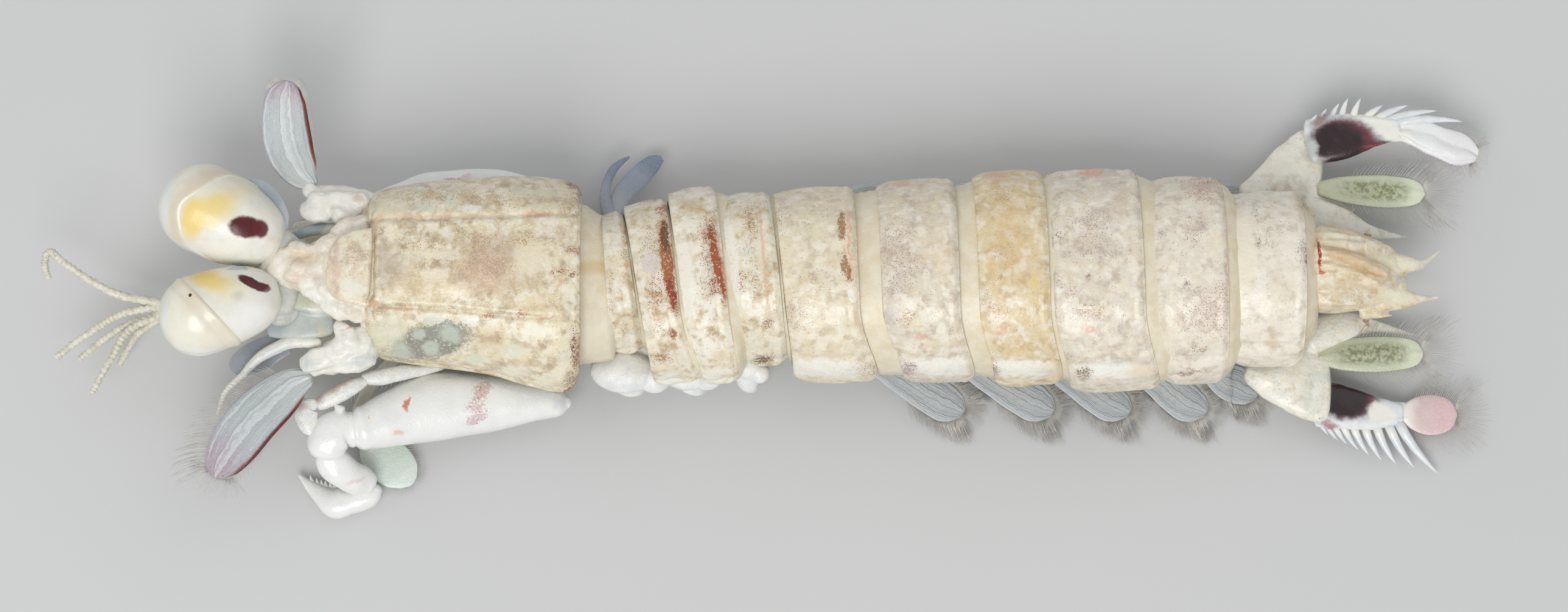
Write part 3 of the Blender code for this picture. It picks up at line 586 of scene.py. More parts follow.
@dataclass(frozen=True)
class ShellFinish:
    """Cream shell with soft clouds, fine brown dots and its own marks."""

    name: str
    marks: tuple[Mark, ...] = ()
    base: Colour = CREAM
    cloud: Colour = MILK
    shade: Colour = BUFF
    dot: Colour = SPECK
    dot_share: float = 0.30
    ragged: float = 26.0
    stipple: float = 0.0

    def material(self) -> bpy.types.Material:
        """The finish as a material."""
        paint = Paint(self.name)
        deep = tuple(channel * 0.84 for channel in self.shade)
        colour: Socket | Colour = paint.mix(paint.ramp(paint.noise(1.1, 1, 3), 0.42, 0.58), self.base, self.cloud)
        colour = paint.mix(paint.ramp(paint.noise(0.75, 2, 3), 0.46, 0.68, 0, 0.9), colour, deep)
        colour = paint.mix(paint.ramp(paint.noise(0.60, 27, 1.5), 0.45, 0.66, 0, 0.75), colour, PEARL)
        colour = paint.mix(paint.ramp(paint.noise(0.24, 5, 2), 0.48, 0.68, 0, 0.35), colour, self.cloud)
        warm = paint.ramp(paint.noise(0.30, 15, 3), 0.48, 0.66, 0.0, self.dot_share * 0.8)
        colour = paint.mix(warm, colour, (0.70, 0.50, 0.28))
        if self.stipple:
            share = paint.ramp(paint.noise(0.9, 17, 3), 0.42, 0.60, 0, self.stipple)
            colour = paint.mix(paint.specks(0.115, 0.043, share, 3) * 0.8, colour, (0.86, 0.83, 0.64))
        for spacing, radius, low, high, seed in ((0.21, 0.034, 0.12, 0.35, 23), (0.12, 0.023, 0.0, 0.25, 37)):
            share = paint.ramp(paint.noise(0.9, seed - 4, 3), 0.38, 0.62, low, high + self.dot_share)
            colour = paint.mix(paint.specks(spacing, radius, share, seed) * 0.65, colour, self.dot)
        plan = paint.wandering_plan(self.ragged, 0.5)
        coarse = paint.ramp(paint.noise(0.16, 7, 4), 0.30, 0.56, 0.55, 1.0)
        grains, chance = paint.dots(0.080, 0.036, 31)
        for mark in self.marks:
            mask = paint.oval(plan, mark)
            if mark.dotted:
                spread = grains * (chance < mask * 1.1) * 0.8 + mask * coarse * 0.3
                mask = paint.ramp(mask * coarse, 0.55, 0.95, 0.0, 0.75) + spread
            else:
                mask = mask * coarse
            colour = paint.mix(mask, colour, mark.colour)
        tint = {"operation": "MULTIPLY"}
        paint.put("Base Color", paint.node("VectorMath", tint, {0: colour, 1: (1.0, 0.98, 0.93)}))
        paint.raise_surface(paint.noise(0.16, 11, 3) + paint.noise(0.6, 12, 2) * 1.5, 0.035)
        rough = paint.ramp(paint.noise(0.7, 13), 0.3, 0.7, 0.24, 0.38)
        return paint.finish(rough, {"Specular IOR Level": 0.45, "Coat Weight": 0.25})


@dataclass(frozen=True)
class SkinFinish:
    """Soft skin: smooth, faintly wrinkled, a little waxy."""

    name: str
    base: Colour
    other: Colour
    size: float = 0.8
    roughness: float = 0.36
    marks: tuple[Mark, ...] = ()
    dot: Colour = DRAB
    dot_share: float = 0.05
    relief: float = 0.03
    alpha: float = 1.0
    ragged: float = 14.0

    def material(self) -> bpy.types.Material:
        """The finish as a material."""
        paint = Paint(self.name)
        colour: Socket = paint.mix(paint.ramp(paint.noise(self.size, 1, 4), 0.36, 0.64), self.base, self.other)
        if self.marks:
            plan = paint.wandering_plan(self.ragged, 0.4)
            for mark in self.marks:
                colour = paint.mix(paint.oval(plan, mark), colour, mark.colour)
        if self.dot_share:
            dots = paint.ramp(paint.noise(0.06, 6, 2), 0.75 - self.dot_share * 0.3, 0.80 - self.dot_share * 0.3)
            colour = paint.mix(dots * 0.6, colour, self.dot)
        paint.put("Base Color", colour)
        paint.raise_surface(paint.noise(0.12, 3, 3) + paint.noise(0.4, 5, 2), self.relief)
        rough = paint.ramp(paint.noise(0.5, 7), 0.3, 0.7, self.roughness - 0.06, self.roughness + 0.08)
        return paint.finish(rough, {"Alpha": self.alpha, "Coat Weight": 0.10})


def make_piece(
    name: str,
    bm: bmesh.types.BMesh,
    material: bpy.types.Material,
    nodes: Sequence[str] = (),
) -> bpy.types.Object:
    """Turn a mesh in millimetres into a finished piece of the model.

    Args:
        name: the piece's name.
        bm: its mesh, which is freed.
        material: its material.
        nodes: the CAD nodes it stands for.

    Returns:
        The piece.
    """
    for vert in bm.verts:
        vert.co.z = max(vert.co.z, 0.0)
    bmesh.ops.remove_doubles(bm, verts=bm.verts[:], dist=1e-4)
    bmesh.ops.recalc_face_normals(bm, faces=bm.faces[:])
    bmesh.ops.scale(bm, vec=(MM, MM, MM), verts=bm.verts[:])
    mesh = bpy.data.meshes.new(name)
    bm.to_mesh(mesh)
    bm.free()
    mesh.shade_smooth()
    mesh.materials.append(material)
    piece = bpy.data.objects.new(name, mesh)
    bpy.context.scene.collection.objects.link(piece)
    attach(piece, "root")
    if nodes:
        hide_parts(*nodes)
    log.info("%s: %d faces", name, len(mesh.polygons))
    return piece


# Setae


class Setae:
    """Fine tapered bristles of solid mesh, joined into one piece."""

    BENDS = 4
    SIDES = 3
    PATCH = 0.003

    def __init__(self, name: str, colour: Colour, seed: int) -> None:
        """Start an empty coat."""
        self.name = name
        self.colour = colour
        self.chance = random.Random(seed)
        self.points: list[Vector] = []
        self.faces: list[tuple[int, ...]] = []
        self.patches: list[tuple[float, float]] = []

    def add(self, root: Vector, way: Vector, bow: Vector, radius: float, unwrap: tuple[float, float]) -> None:
        """Add one bristle.

        Args:
            root: where it grows from.
            way: from its root to its tip, before it bows.
            bow: how far the tip is carried aside.
            radius: its radius at the root.
            unwrap: its root's place on the skin's own unwrap.
        """
        first = len(self.points)
        along = way.normalized()
        side = along.orthogonal().normalized()
        rise = along.cross(side)
        for bend in range(self.BENDS):
            share = bend / self.BENDS
            centre = root + way * share + bow * share * share
            size = radius * (1 - 0.75 * share)
            for k in range(self.SIDES):
                turn = math.tau * k / self.SIDES
                point = centre + (side * math.cos(turn) + rise * math.sin(turn)) * size
                point.z = max(point.z, 0.02)
                self.points.append(point)
        tip = root + way + bow
        tip.z = max(tip.z, 0.02)
        self.points.append(tip)
        last = first + self.BENDS * self.SIDES
        faces = [tuple(first + k for k in reversed(range(self.SIDES)))]
        for bend in range(self.BENDS - 1):
            row = first + bend * self.SIDES
            for k in range(self.SIDES):
                after = (k + 1) % self.SIDES
                faces.append((row + k, row + after, row + after + self.SIDES, row + k + self.SIDES))
        row = last - self.SIDES
        faces += [(row + k, row + (k + 1) % self.SIDES, last) for k in range(self.SIDES)]
        self.faces += faces
        self.patches += [unwrap] * len(faces)

    def vary(self, amount: float) -> float:
        """A factor near 1."""
        return 1 + self.chance.uniform(-amount, amount)

    def fringe(
        self,
        run: Run,
        turn: float,
        spans: tuple[float, float],
        length: tuple[float, float],
        lean: tuple[float, float],
        count: int,
        radius: float = 0.03,
        droop: float = 0.0,
    ) -> None:
        """A row of bristles along one edge of a blade.

        Args:
            run: the blade's course.
            turn: the edge, as a turn round its outline.
            spans: the fractions of the run where the row starts and ends.
            length: the bristles' length at the start and at the end.
            lean: how far they lean along the run at the start and end, as a share of length.
            count: how many.
            radius: their radius at the root.
            droop: how far the tips sink, as a share of length.
        """
        for index in range(count):
            share = (index + 0.5) / count
            fraction = spans[0] + (spans[1] - spans[0]) * share
            place = run.place(fraction)
            root = place.rim(turn)
            outward = (place.side * math.copysign(1, math.cos(turn)) * abs(math.cos(turn))).normalized()
            reach = (length[0] + (length[1] - length[0]) * share) * self.vary(0.12)
            forward = (lean[0] + (lean[1] - lean[0]) * share) * self.vary(0.15)
            way = (outward + place.along * forward).normalized() * reach
            bow = Vector((0, 0, -droop * reach)) + place.along * reach * 0.32 * self.vary(0.5)
            self.add(root - outward * 0.05, way, bow, radius, self._unwrap(fraction, turn))

    def fan(
        self,
        run: Run,
        length: float,
        spread: float,
        count: int,
        radius: float = 0.03,
        droop: float = 0.0,
        start: float = 0.8,
    ) -> None:
        """Bristles that radiate from a blade's tip.

        Args:
            run: the blade's course.
            length: their length.
            spread: how far to either side the fan opens, in radians.
            count: how many.
            radius: their radius at the root.
            droop: how far the tips sink, as a share of length.
            start: the fraction of the run from which they grow.
        """
        hub = run.place(start)
        end = run.place(1.0).centre
        for index in range(count):
            angle = spread * (2 * (index + 0.5) / count - 1)
            outward = hub.along * math.cos(angle) + hub.side * math.sin(angle)
            reach = (end - hub.centre).length
            root = hub.centre + hub.along * reach * math.cos(angle) * 0.95 + hub.side * math.sin(angle) * hub.half
            size = length * self.vary(0.12)
            bow = Vector((0, 0, -droop * size)) + outward.orthogonal() * 0.03 * size * self.vary(1)
            self.add(root, outward * size, bow, radius, self._unwrap(0.9, angle + math.pi))

    def _unwrap(self, fraction: float, turn: float) -> tuple[float, float]:
        """A place on the blade's unwrap: along it by round it."""
        return 0.02 + 0.95 * fraction, 0.02 + 0.95 * ((turn % math.tau) / math.tau)

    def piece(self, slot: str) -> bpy.types.Object:
        """The finished coat as a piece."""
        mesh = bpy.data.meshes.new(self.name)
        mesh.from_pydata([tuple(point * MM) for point in self.points], [], self.faces)
        layer = mesh.uv_layers.new(name="OFBake")
        for polygon, patch in zip(mesh.polygons, self.patches):
            for corner, loop in enumerate(polygon.loop_indices):
                turn = math.tau * corner / len(polygon.loop_indices)
                offset = (math.cos(turn) * self.PATCH / 2, math.sin(turn) * self.PATCH / 2)
                layer.data[loop].uv = (patch[0] + offset[0], patch[1] + offset[1])
        mesh.shade_smooth()
        paint = Paint(f"{self.name}_bristle")
        pale = tuple(min(channel * 1.3 + 0.04, 1) for channel in self.colour)
        paint.put("Base Color", paint.mix(paint.ramp(paint.noise(0.8, 3), 0.35, 0.65), self.colour, pale))
        mesh.materials.append(paint.finish(0.45))
        piece = bpy.data.objects.new(self.name, mesh)
        bpy.context.scene.collection.objects.link(piece)
        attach(piece, "root")
        log.info("%s: %d faces", self.name, len(mesh.polygons))
        return piece


# The trunk


@dataclass(frozen=True)
class Shield:
    """A curved plate over the trunk, swept round the back from its right edge to its left one.

    Rows hold station, right, left, top and low: the sides, top and lower edge of its outline.
    """

    rows: tuple[Row, ...]
    front: Callable[[Vector], float]
    hind: Callable[[Vector], float]
    thick: float = 0.20
    tucked: float = 0.5
    corner: tuple[float, float] = (0.9, 0.9)
    free_front: bool = False
    turns: int = 120
    samples: int = 30
    relief: Callable[[Vector, float, float], float] | None = None

    def outline(self, station: float, turn: float) -> Vector:
        """The point of the plate's outline at a station and a turn round the back."""
        _, right, left, top, low = by_station(self.rows, station)
        half, middle = (right - left) / 2, (right + left) / 2
        out, rise = math.cos(turn), max(math.sin(turn), 0.0)
        y = middle + half * math.copysign(abs(out) ** BACK_POWER, out)
        z = low + (top - low) * rise**BACK_POWER
        return Vector((station - MIDDLE_STATION, y - MIDDLE_ACROSS, z))

    def normal(self, station: float, turn: float) -> Vector:
        """The outward direction of the outline there."""
        step = 0.02
        ahead = self.outline(station, min(turn + step, math.pi))
        behind = self.outline(station, max(turn - step, 0.0))
        across = (ahead - behind).normalized()
        return Vector((0, across.z, -across.y))

    def turn_at(self, share: float) -> float:
        """Turns crowd towards the two lower edges, where the corners are rounded."""
        return math.pi * (0.55 * share + 0.45 * (0.5 - 0.5 * math.cos(math.pi * share)))

    def profile(self) -> list[tuple[float, float, bool]]:
        """The plate's cut edge: share of its length, depth in millimetres, whether it is the outer face."""
        loop: list[tuple[float, float, bool]] = []
        thick = self.thick
        if self.free_front:
            loop += [(0.0, -0.75 * thick, False), (-0.004, -0.45 * thick, False), (0.0, -0.18 * thick, True)]
        else:
            loop += [(0.0, -self.tucked - 0.12, False), (0.012, -self.tucked * 0.75, True)]
        for index in range(self.samples + 1):
            loop.append((0.02 + 0.965 * index / self.samples, 0.0, True))
        loop += [(1.0, -0.18 * thick, True), (1.004, -0.5 * thick, False), (0.995, -0.85 * thick, False)]
        inner = 8
        for index in range(inner + 1):
            share = 0.97 - 0.93 * index / inner
            loop.append((share, -thick, False))
        return loop

    def mesh(self) -> bmesh.types.BMesh:
        """The plate as a closed mesh."""
        rings = []
        loop = self.profile()
        for step in range(self.turns + 1):
            share = step / self.turns
            turn = self.turn_at(share)
            middle_station = (self.rows[0][0] + self.rows[-1][0]) / 2
            guide = self.outline(middle_station, turn)
            start, end = self.front(guide), self.hind(guide)
            above = guide.z - by_station(self.rows, middle_station)[4]
            for way, radius in enumerate(self.corner):
                if above < radius:
                    inset = radius - math.sqrt(max(radius**2 - (radius - above) ** 2, 0.0))
                    start, end = (start + inset, end) if way == 0 else (start, end - inset)
            near_end = min(step, self.turns - step)
            full = min(1.0, 0.25 + 0.3 * near_end)
            ring = []
            for place, depth, outer in loop:
                station = start + (end - start) * place
                point = self.outline(station, turn)
                lift = depth * full
                if self.relief and outer:
                    lift += self.relief(point, station - start, end - station) * full
                ring.append(point + self.normal(station, turn) * lift)
            rings.append(ring)
        return loft(rings)


def seam_shift(y: float, skew: float, sweep: float) -> float:
    """How far aft a seam lies at a place across, in millimetres from the midline."""
    aside = max(0.0, (TURNS_AFT_FROM - y) / TURNS_AFT_OVER)
    return skew * (TRUNK_MIDDLE - y) + sweep * aside * aside


def across_of(point: Vector) -> float:
    """How far across a point in the model's frame lies."""
    return point.y + MIDDLE_ACROSS


@dataclass(frozen=True)
class Somite:
    """One free ring of the trunk: its seams, its plate's size and its marks."""

    name: str
    piece: str
    front: Row
    plate_end: float
    rear: Row
    right: float
    left: float
    top: float
    low: float
    fold: float
    marks: tuple[Mark, ...] = ()
    base: Colour = CREAM
    cloud: Colour = MILK
    shade: Colour = BUFF
    dot_share: float = 0.30
    ragged: float = 26.0
    start_gap: float = 0.06

    def edge(self, station: float, point: Vector) -> float:
        """The station where an edge that crosses the midline at a station passes a point."""
        share = (station - self.front[0]) / (self.rear[0] - self.front[0])
        skew = self.front[1] + (self.rear[1] - self.front[1]) * share
        sweep = self.front[2] + (self.rear[2] - self.front[2]) * share
        return station + seam_shift(across_of(point), skew, sweep)

    def relief(self, point: Vector, from_front: float, to_hind: float) -> float:
        """The plate's surface: a raised hind rim, a line behind the front and the pleural fold."""
        lift = -0.18 * (1 - ease(from_front, -0.1, 0.75))
        lift += -0.16 * (1 - ease(to_hind, -0.1, 0.40)) + 0.05 * bump(to_hind, 0.30, 0.14)
        lift -= 0.03 * bump(to_hind, 0.62, 0.07)
        fold = self.fold + 0.15 * grain(Vector((point.x, 0, 0)), 1.4)
        lift += -0.12 * bump(point.z, fold, 0.24) + 0.08 * (1 - ease(point.z, fold - 0.9, fold - 0.1))
        lift += 0.09 * grain(point, 1.7) + 0.03 * grain(point, 0.6)
        return lift

    def build(self) -> None:
        """Make the plate."""
        rows = []
        length = self.rear[0] - self.front[0]
        for share, narrow in ((0.0, 0.24), (0.3, 0.05), (0.6, 0.0), (1.0, 0.15), (1.5, 0.25)):
            station = self.front[0] + share * length
            rows.append((station, self.right - narrow, self.left + narrow, self.top - narrow * 0.5, self.low))
        start = self.front[0] + self.start_gap
        shield = Shield(
            rows=tuple(rows), front=lambda point: self.edge(start, point),
            hind=lambda point: self.edge(self.plate_end, point), relief=self.relief, samples=34,
        )
        finish = ShellFinish(
            f"{self.name}_shell", self.marks, self.base, self.cloud, self.shade, dot_share=self.dot_share,
            ragged=self.ragged,
        )
        make_piece(self.piece, shield.mesh(), finish.material(), [self.name])


THORAX_LOW, ABDOMEN_LOW = 3.3, 2.8
SEAMS: tuple[Row, ...] = (
    (13.35, 0, 0), (16.1, 0.15, 0.1), (18.45, 0.12, 0.6), (21.1, 0.1, 0.2), (24, 0.1, 0.1), (29.3, 0.03, 1.2),
    (34.5, 0.03, 0.8), (38.5, 0.03, 0.7), (43.9, 0.03, 0.7), (48.05, 0.02, 0.1), (53, 0, 0),
)


def pleuron(x0: float, x1: float, y: float, front: Colour, rear: Colour) -> tuple[Mark, ...]:
    """The left side plate's marks: white along its length, a dark front corner, a drab rear one."""
    middle, half = (x0 + x1) / 2, (x1 - x0) / 2
    return (
        Mark(middle, y, half * 1.05, 17, (0.87, 0.87, 0.82), 0.95, 0.35, 2),
        Mark(x1 - 14, y + 2, 26, 14, rear, 0.55), Mark(x0 + 16, y + 4, 15, 13, front, 0.75, 0.6),
    )


@dataclass(frozen=True)
class Trunk:
    """The ten free rings and the soft skin that joins them."""

    skin_turns: int = 56
    skin_step: float = 0.22

    def build(self) -> None:
        """Make the plates and the skin."""
        for somite in self.table():
            somite.build()
        self.build_skin()

    def table(self) -> tuple[Somite, ...]:
        """Each ring's sizes and marks, from the thorax back."""
        t, a = THORAX_LOW, ABDOMEN_LOW
        return (
            Somite(
                "thoracic_somite_5", "thorax_plate_5", SEAMS[0], 16.02, SEAMS[1], 3.5, -4.3, 8.0, t, 4.2,
                (
                    Mark(1031, 400, 7, 60, DRAB, 0.5, 0.6), Mark(1034, 438, 10, 6, ORANGE, 0.6, 0.6),
                    Mark(1008, 500, 5, 70, DRAB, 0.3), Mark(1030, 540, 9, 20, DRAB, 0.4),
                    Mark(1036, 560, 8, 14, WHITE, 0.9, 0.5),
                ),
                MILK, (0.74, 0.72, 0.62), BUFF, 0.4, 12.0, 1.25,
            ),
            Somite(
                "thoracic_somite_6", "thorax_plate_6", SEAMS[1], 18.38, SEAMS[2], 4.2, -6.0, 8.4, t, 4.2,
                (
                    Mark(1074, 400, 20, 40, DRAB, 0.5, 0.8), Mark(1082, 478, 18, 34, RUST, 0.5, 0.8),
                    Mark(1098, 432, 11, 84, (0.38, 0.13, 0.05), 1, 0.4, -8),
                    Mark(1094, 390, 8, 34, BROWN, 0.95, 0.5, -4),
                    Mark(1106, 485, 9, 34, (0.3, 0.05, 0.02), 0.95, 0.5, -12),
                    Mark(1090, 345, 15, 8, RUST, 0.75, 0.5, -20),
                    Mark(1064, 332, 16, 5, DRAB, 0.55, 0.6, -18), Mark(1072, 434, 15, 17, LILAC, 0.85, 0.3),
                    Mark(1108, 548, 8, 10, RUST, 0.85, 0.5), Mark(1084, 540, 14, 12, PLUM, 0.35),
                    Mark(1090, 587, 20, 13, DRAB, 0.85, 0.8),
                    Mark(1094, 604, 20, 7, (0.8, 0.7, 0.48), 0.7, 0.8),
                    Mark(1102, 624, 28, 15, WHITE, 0.95, 0.5), Mark(1119, 450, 3, 90, ROSE, 0.55, 0.6, -10),
                ),
                (0.71, 0.63, 0.48), (0.79, 0.75, 0.64), BUFF, 0.32, 16.0,
            ),
            Somite(
                "thoracic_somite_7", "thorax_plate_7", SEAMS[2], 21.02, SEAMS[3], 4.9, -6.0, 8.6, t, 4.2,
                (
                    Mark(1130, 458, 13, 76, WHITE, 0.95, 0.3, -5),
                    Mark(1160, 388, 12, 22, DRAB, 0.85, 0.9, -8), Mark(1167, 428, 15, 26, DRAB, 0.8, 0.9, -8),
                    Mark(1160, 474, 11, 24, DRAB, 0.6, 0.9, -8), Mark(1166, 420, 8, 40, MAUVE, 0.5, 0.7, -8),
                    Mark(1179, 432, 9, 78, (0.36, 0.09, 0.035), 1, 0.5, -12),
                    Mark(1172, 390, 11, 32, RUST, 0.9, 0.6, -8), Mark(1176, 470, 10, 22, RUST, 0.75, 0.5, -8),
                    Mark(1172, 544, 8, 8, DRAB, 0.7, 0.6), Mark(1140, 340, 22, 16, BUFF, 0.6, 0.8),
                    # The MILK strip at 1130, 302 is a painted highlight along the plate's right end.
                    Mark(1180, 585, 12, 16, SAND, 0.4, 0.8), Mark(1130, 302, 36, 9, MILK, 0.8, 0.5, 6),
                    Mark(1192, 460, 3, 80, ROSE, 0.7, 0.6, -9), Mark(1165, 628, 30, 14, WHITE, 0.9, 0.5),
                ),
                MILK, WHITE, BUFF, 0.26, 14.0,
            ),
            Somite(
                "thoracic_somite_8", "thorax_plate_8", SEAMS[3], 23.92, SEAMS[4], 4.6, -4.9, 8.5, t, 4.2,
                (
                    Mark(1203, 432, 13, 76, WHITE, 0.98, 0.3, -6),
                    Mark(1179, 438, 5, 76, DRAB, 0.55, 0.6, -4), Mark(1234, 368, 13, 26, DRAB, 0.8, 0.9, -6),
                    Mark(1229, 404, 9, 18, MAUVE, 0.5, 0.9), Mark(1241, 468, 11, 36, DRAB, 0.6, 0.9, -6),
                    Mark(1220, 462, 9, 22, RUST, 0.45, 0.6), Mark(1252, 425, 7, 40, MILK, 0.7, 0.5, -4),
                    Mark(1232, 340, 26, 16, DRAB, 0.3, 0.8), Mark(1250, 514, 8, 7, WHITE, 0.95, 0.3),
                    Mark(1262, 531, 10, 10, BROWN, 0.7, 0.6), Mark(1254, 591, 20, 10, BROWN, 0.85, 0.6, -14),
                    Mark(1215, 540, 18, 24, DRAB, 0.3, 0.8), Mark(1255, 430, 3, 110, ROSE, 0.5, 0.6, -4),
                ),
                MILK, (0.76, 0.76, 0.66), BUFF, 0.4, 12.0,
            ),
            Somite(
                "abdominal_somite_1", "abdomen_plate_1", SEAMS[4], 28.2, SEAMS[5], 4.9, -5.7, 8.8, a, 6.2,
                (
                    Mark(1275, 306, 24, 7, BLOOD, 0.9, 0.5, 4), Mark(1285, 350, 14, 40, MAUVE, 0.35, 0.9),
                    Mark(1272, 420, 12, 44, MAUVE, 0.35, 0.9), Mark(1304, 515, 30, 24, MAUVE, 0.5, 0.8),
                    Mark(1350, 345, 22, 8, MAUVE, 0.25, 0.8, 60), Mark(1350, 462, 22, 20, MAUVE, 0.28, 0.9),
                    Mark(1346, 376, 12, 14, (0.82, 0.76, 0.58), 0.9, 0.5),
                    Mark(1381, 372, 9, 24, DRAB, 0.95, 0.35, -6),
                    Mark(1388, 440, 9, 28, DRAB, 0.95, 0.35, -8), Mark(1392, 455, 6, 12, RUST, 0.6, 0.5, -8),
                    Mark(1372, 405, 9, 12, (0.84, 0.78, 0.62), 0.95, 0.4),
                    Mark(1398, 486, 7, 13, WHITE, 1, 0.3, -18), Mark(1386, 328, 6, 12, MILK, 0.8, 0.4, 20),
                    Mark(1403, 520, 6, 18, SAND, 0.7, 0.6, -18), Mark(1395, 400, 3, 70, ROSE, 0.7, 0.6, -4),
                    *pleuron(1275, 1440, 606, RUST, DRAB),
                ),
                (0.76, 0.69, 0.53), MILK, (0.7, 0.6, 0.47), 0.26,
            ),
            Somite(
                "abdominal_somite_2", "abdomen_plate_2", SEAMS[5], 33.6, SEAMS[6], 5.3, -5.7, 9.0, a, 6.2,
                (
                    Mark(1483, 302, 18, 9, ROSE, 0.55), Mark(1470, 395, 32, 34, MAUVE, 0.45, 0.9, 20),
                    Mark(1480, 440, 30, 36, MAUVE, 0.5, 0.9), Mark(1442, 410, 7, 14, PLUM, 0.35),
                    Mark(1465, 470, 20, 16, MAUVE, 0.4, 0.9),
                    Mark(1540, 415, 14, 80, (0.78, 0.67, 0.48), 0.45, 0.9, -4),
                    Mark(1488, 521, 24, 13, DRAB, 0.65), Mark(1512, 553, 14, 6, ROSE, 0.6),
                    Mark(1462, 515, 12, 20, LILAC, 0.6, 0.8), Mark(1547, 478, 6, 12, WHITE, 0.95, 0.4, -18),
                    Mark(1537, 335, 5, 16, MILK, 0.7, 0.5, 18), Mark(1560, 545, 5, 8, MAUVE, 0.6, 0.6),
                    Mark(1440, 500, 6, 34, SAND, 0.6, 0.7, -14), *pleuron(1478, 1618, 602, PLUM, SAND),
                ),
                (0.74, 0.66, 0.52), (0.72, 0.67, 0.58), (0.66, 0.56, 0.46), 0.26,
            ),
            Somite(
                "abdominal_somite_3", "abdomen_plate_3", SEAMS[6], 38.42, SEAMS[7], 5.8, -5.9, 9.1, a, 6.2,
                (
                    Mark(1636, 290, 20, 12, ROSE, 0.6), Mark(1650, 380, 42, 90, (0.7, 0.5, 0.24), 0.55, 0.9),
                    Mark(1640, 320, 20, 16, DRAB, 0.3, 0.9), Mark(1648, 415, 18, 12, MAUVE, 0.35, 0.8),
                    Mark(1693, 465, 8, 13, (0.8, 0.66, 0.3), 0.8, 0.5),
                    Mark(1637, 457, 6, 6, PLUM, 0.65, 0.6), Mark(1612, 485, 14, 18, MAUVE, 0.35, 0.9),
                    Mark(1633, 508, 20, 15, (0.48, 0.26, 0.2), 0.55), Mark(1640, 545, 12, 6, ROSE, 0.55),
                    Mark(1620, 560, 10, 18, MILK, 0.6), *pleuron(1612, 1748, 605, PLUM, SAND),
                ),
                (0.74, 0.6, 0.37), (0.74, 0.65, 0.46), (0.68, 0.52, 0.31), 0.3,
            ),
            Somite(
                "abdominal_somite_4", "abdomen_plate_4", SEAMS[7], 43.5, SEAMS[8], 5.9, -6.2, 9.0, a, 6.2,
                (
                    Mark(1792, 283, 26, 11, ROSE, 0.75), Mark(1790, 305, 14, 8, MILK, 0.6),
                    Mark(1788, 372, 32, 28, MAUVE, 0.55, 0.9), Mark(1795, 410, 34, 18, MAUVE, 0.45, 0.9),
                    Mark(1732, 388, 12, 8, PLUM, 0.55, 0.6, -25), Mark(1752, 420, 10, 12, MAUVE, 0.45, 0.8),
                    Mark(1783, 457, 6, 8, PLUM, 0.75, 0.6, 20), Mark(1732, 462, 10, 12, MAUVE, 0.45, 0.8),
                    Mark(1758, 480, 12, 16, MAUVE, 0.3, 0.9), Mark(1740, 440, 14, 20, MILK, 0.5, 0.8),
                    Mark(1779, 510, 25, 14, DRAB, 0.6, 0.8), Mark(1784, 541, 9, 8, ROSE, 0.6),
                    Mark(1840, 470, 8, 9, (0.82, 0.78, 0.6), 0.8, 0.5),
                    Mark(1838, 340, 8, 30, (0.8, 0.66, 0.48), 0.5, 0.8),
                    Mark(1742, 590, 26, 14, OLIVE, 0.35, 0.8),
                    *pleuron(1762, 1884, 608, (0.16, 0.09, 0.03), SAND),
                ),
                (0.75, 0.68, 0.56), (0.74, 0.7, 0.62), (0.66, 0.57, 0.49), 0.3,
            ),
            Somite(
                "abdominal_somite_5", "abdomen_plate_5", SEAMS[8], 48.02, SEAMS[9], 5.5, -5.8, 8.7, a, 6.2,
                (
                    Mark(1976, 308, 40, 26, (0.5, 0.26, 0.19), 0.7, 0.8),
                    Mark(1992, 296, 24, 12, RUST, 0.45, 0.8), Mark(1955, 380, 20, 30, MAUVE, 0.5, 0.9),
                    Mark(1990, 400, 16, 30, MILK, 0.5, 0.8),
                    Mark(1970, 515, 36, 40, (0.42, 0.29, 0.26), 0.55, 0.9),
                    Mark(1998, 500, 14, 46, (0.46, 0.25, 0.18), 0.5, 0.8),
                    Mark(1940, 469, 6, 8, PLUM, 0.7, 0.6), Mark(1900, 388, 10, 8, PLUM, 0.5),
                    Mark(1930, 440, 10, 14, MAUVE, 0.3, 0.8), Mark(1910, 540, 22, 40, MILK, 0.5, 0.9),
                    Mark(1964, 573, 12, 7, BROWN, 0.55), Mark(1948, 612, 34, 4, BLOOD, 0.7, 0.6, -8),
                    Mark(1980, 590, 26, 12, WHITE, 0.7, 0.6), Mark(2008, 420, 4, 90, (0.6, 0.34, 0.25), 0.55),
                ),
                (0.78, 0.72, 0.62), (0.8, 0.76, 0.68), (0.68, 0.6, 0.52), 0.3,
            ),
            Somite(
                "abdominal_somite_6", "abdomen_plate_6", SEAMS[9], 52.3, SEAMS[10], 4.7, -4.8, 7.9, a, 5.6,
                (
                    Mark(2034, 420, 22, 74, (0.86, 0.8, 0.68), 0.95, 0.25), Mark(2060, 350, 6, 14, DRAB, 0.5),
                    Mark(2062, 400, 4, 16, BROWN, 0.45), Mark(2078, 395, 8, 14, MAUVE, 0.35, 0.8),
                    Mark(2085, 560, 12, 16, BUFF, 0.5, 0.8), Mark(2132, 420, 12, 30, MAUVE, 0.4, 0.8),
                    Mark(2143, 420, 6, 30, (0.4, 0.08, 0.06), 0.95, 0.5),
                    Mark(2136, 420, 5, 30, (0.36, 0.3, 0.36), 0.6, 0.7),
                    Mark(2100, 470, 30, 40, MILK, 0.5, 0.9), Mark(2135, 330, 16, 20, BUFF, 0.5, 0.9),
                ),
                (0.8, 0.75, 0.65), (0.84, 0.81, 0.74), (0.74, 0.66, 0.56), 0.12,
            ),
        )

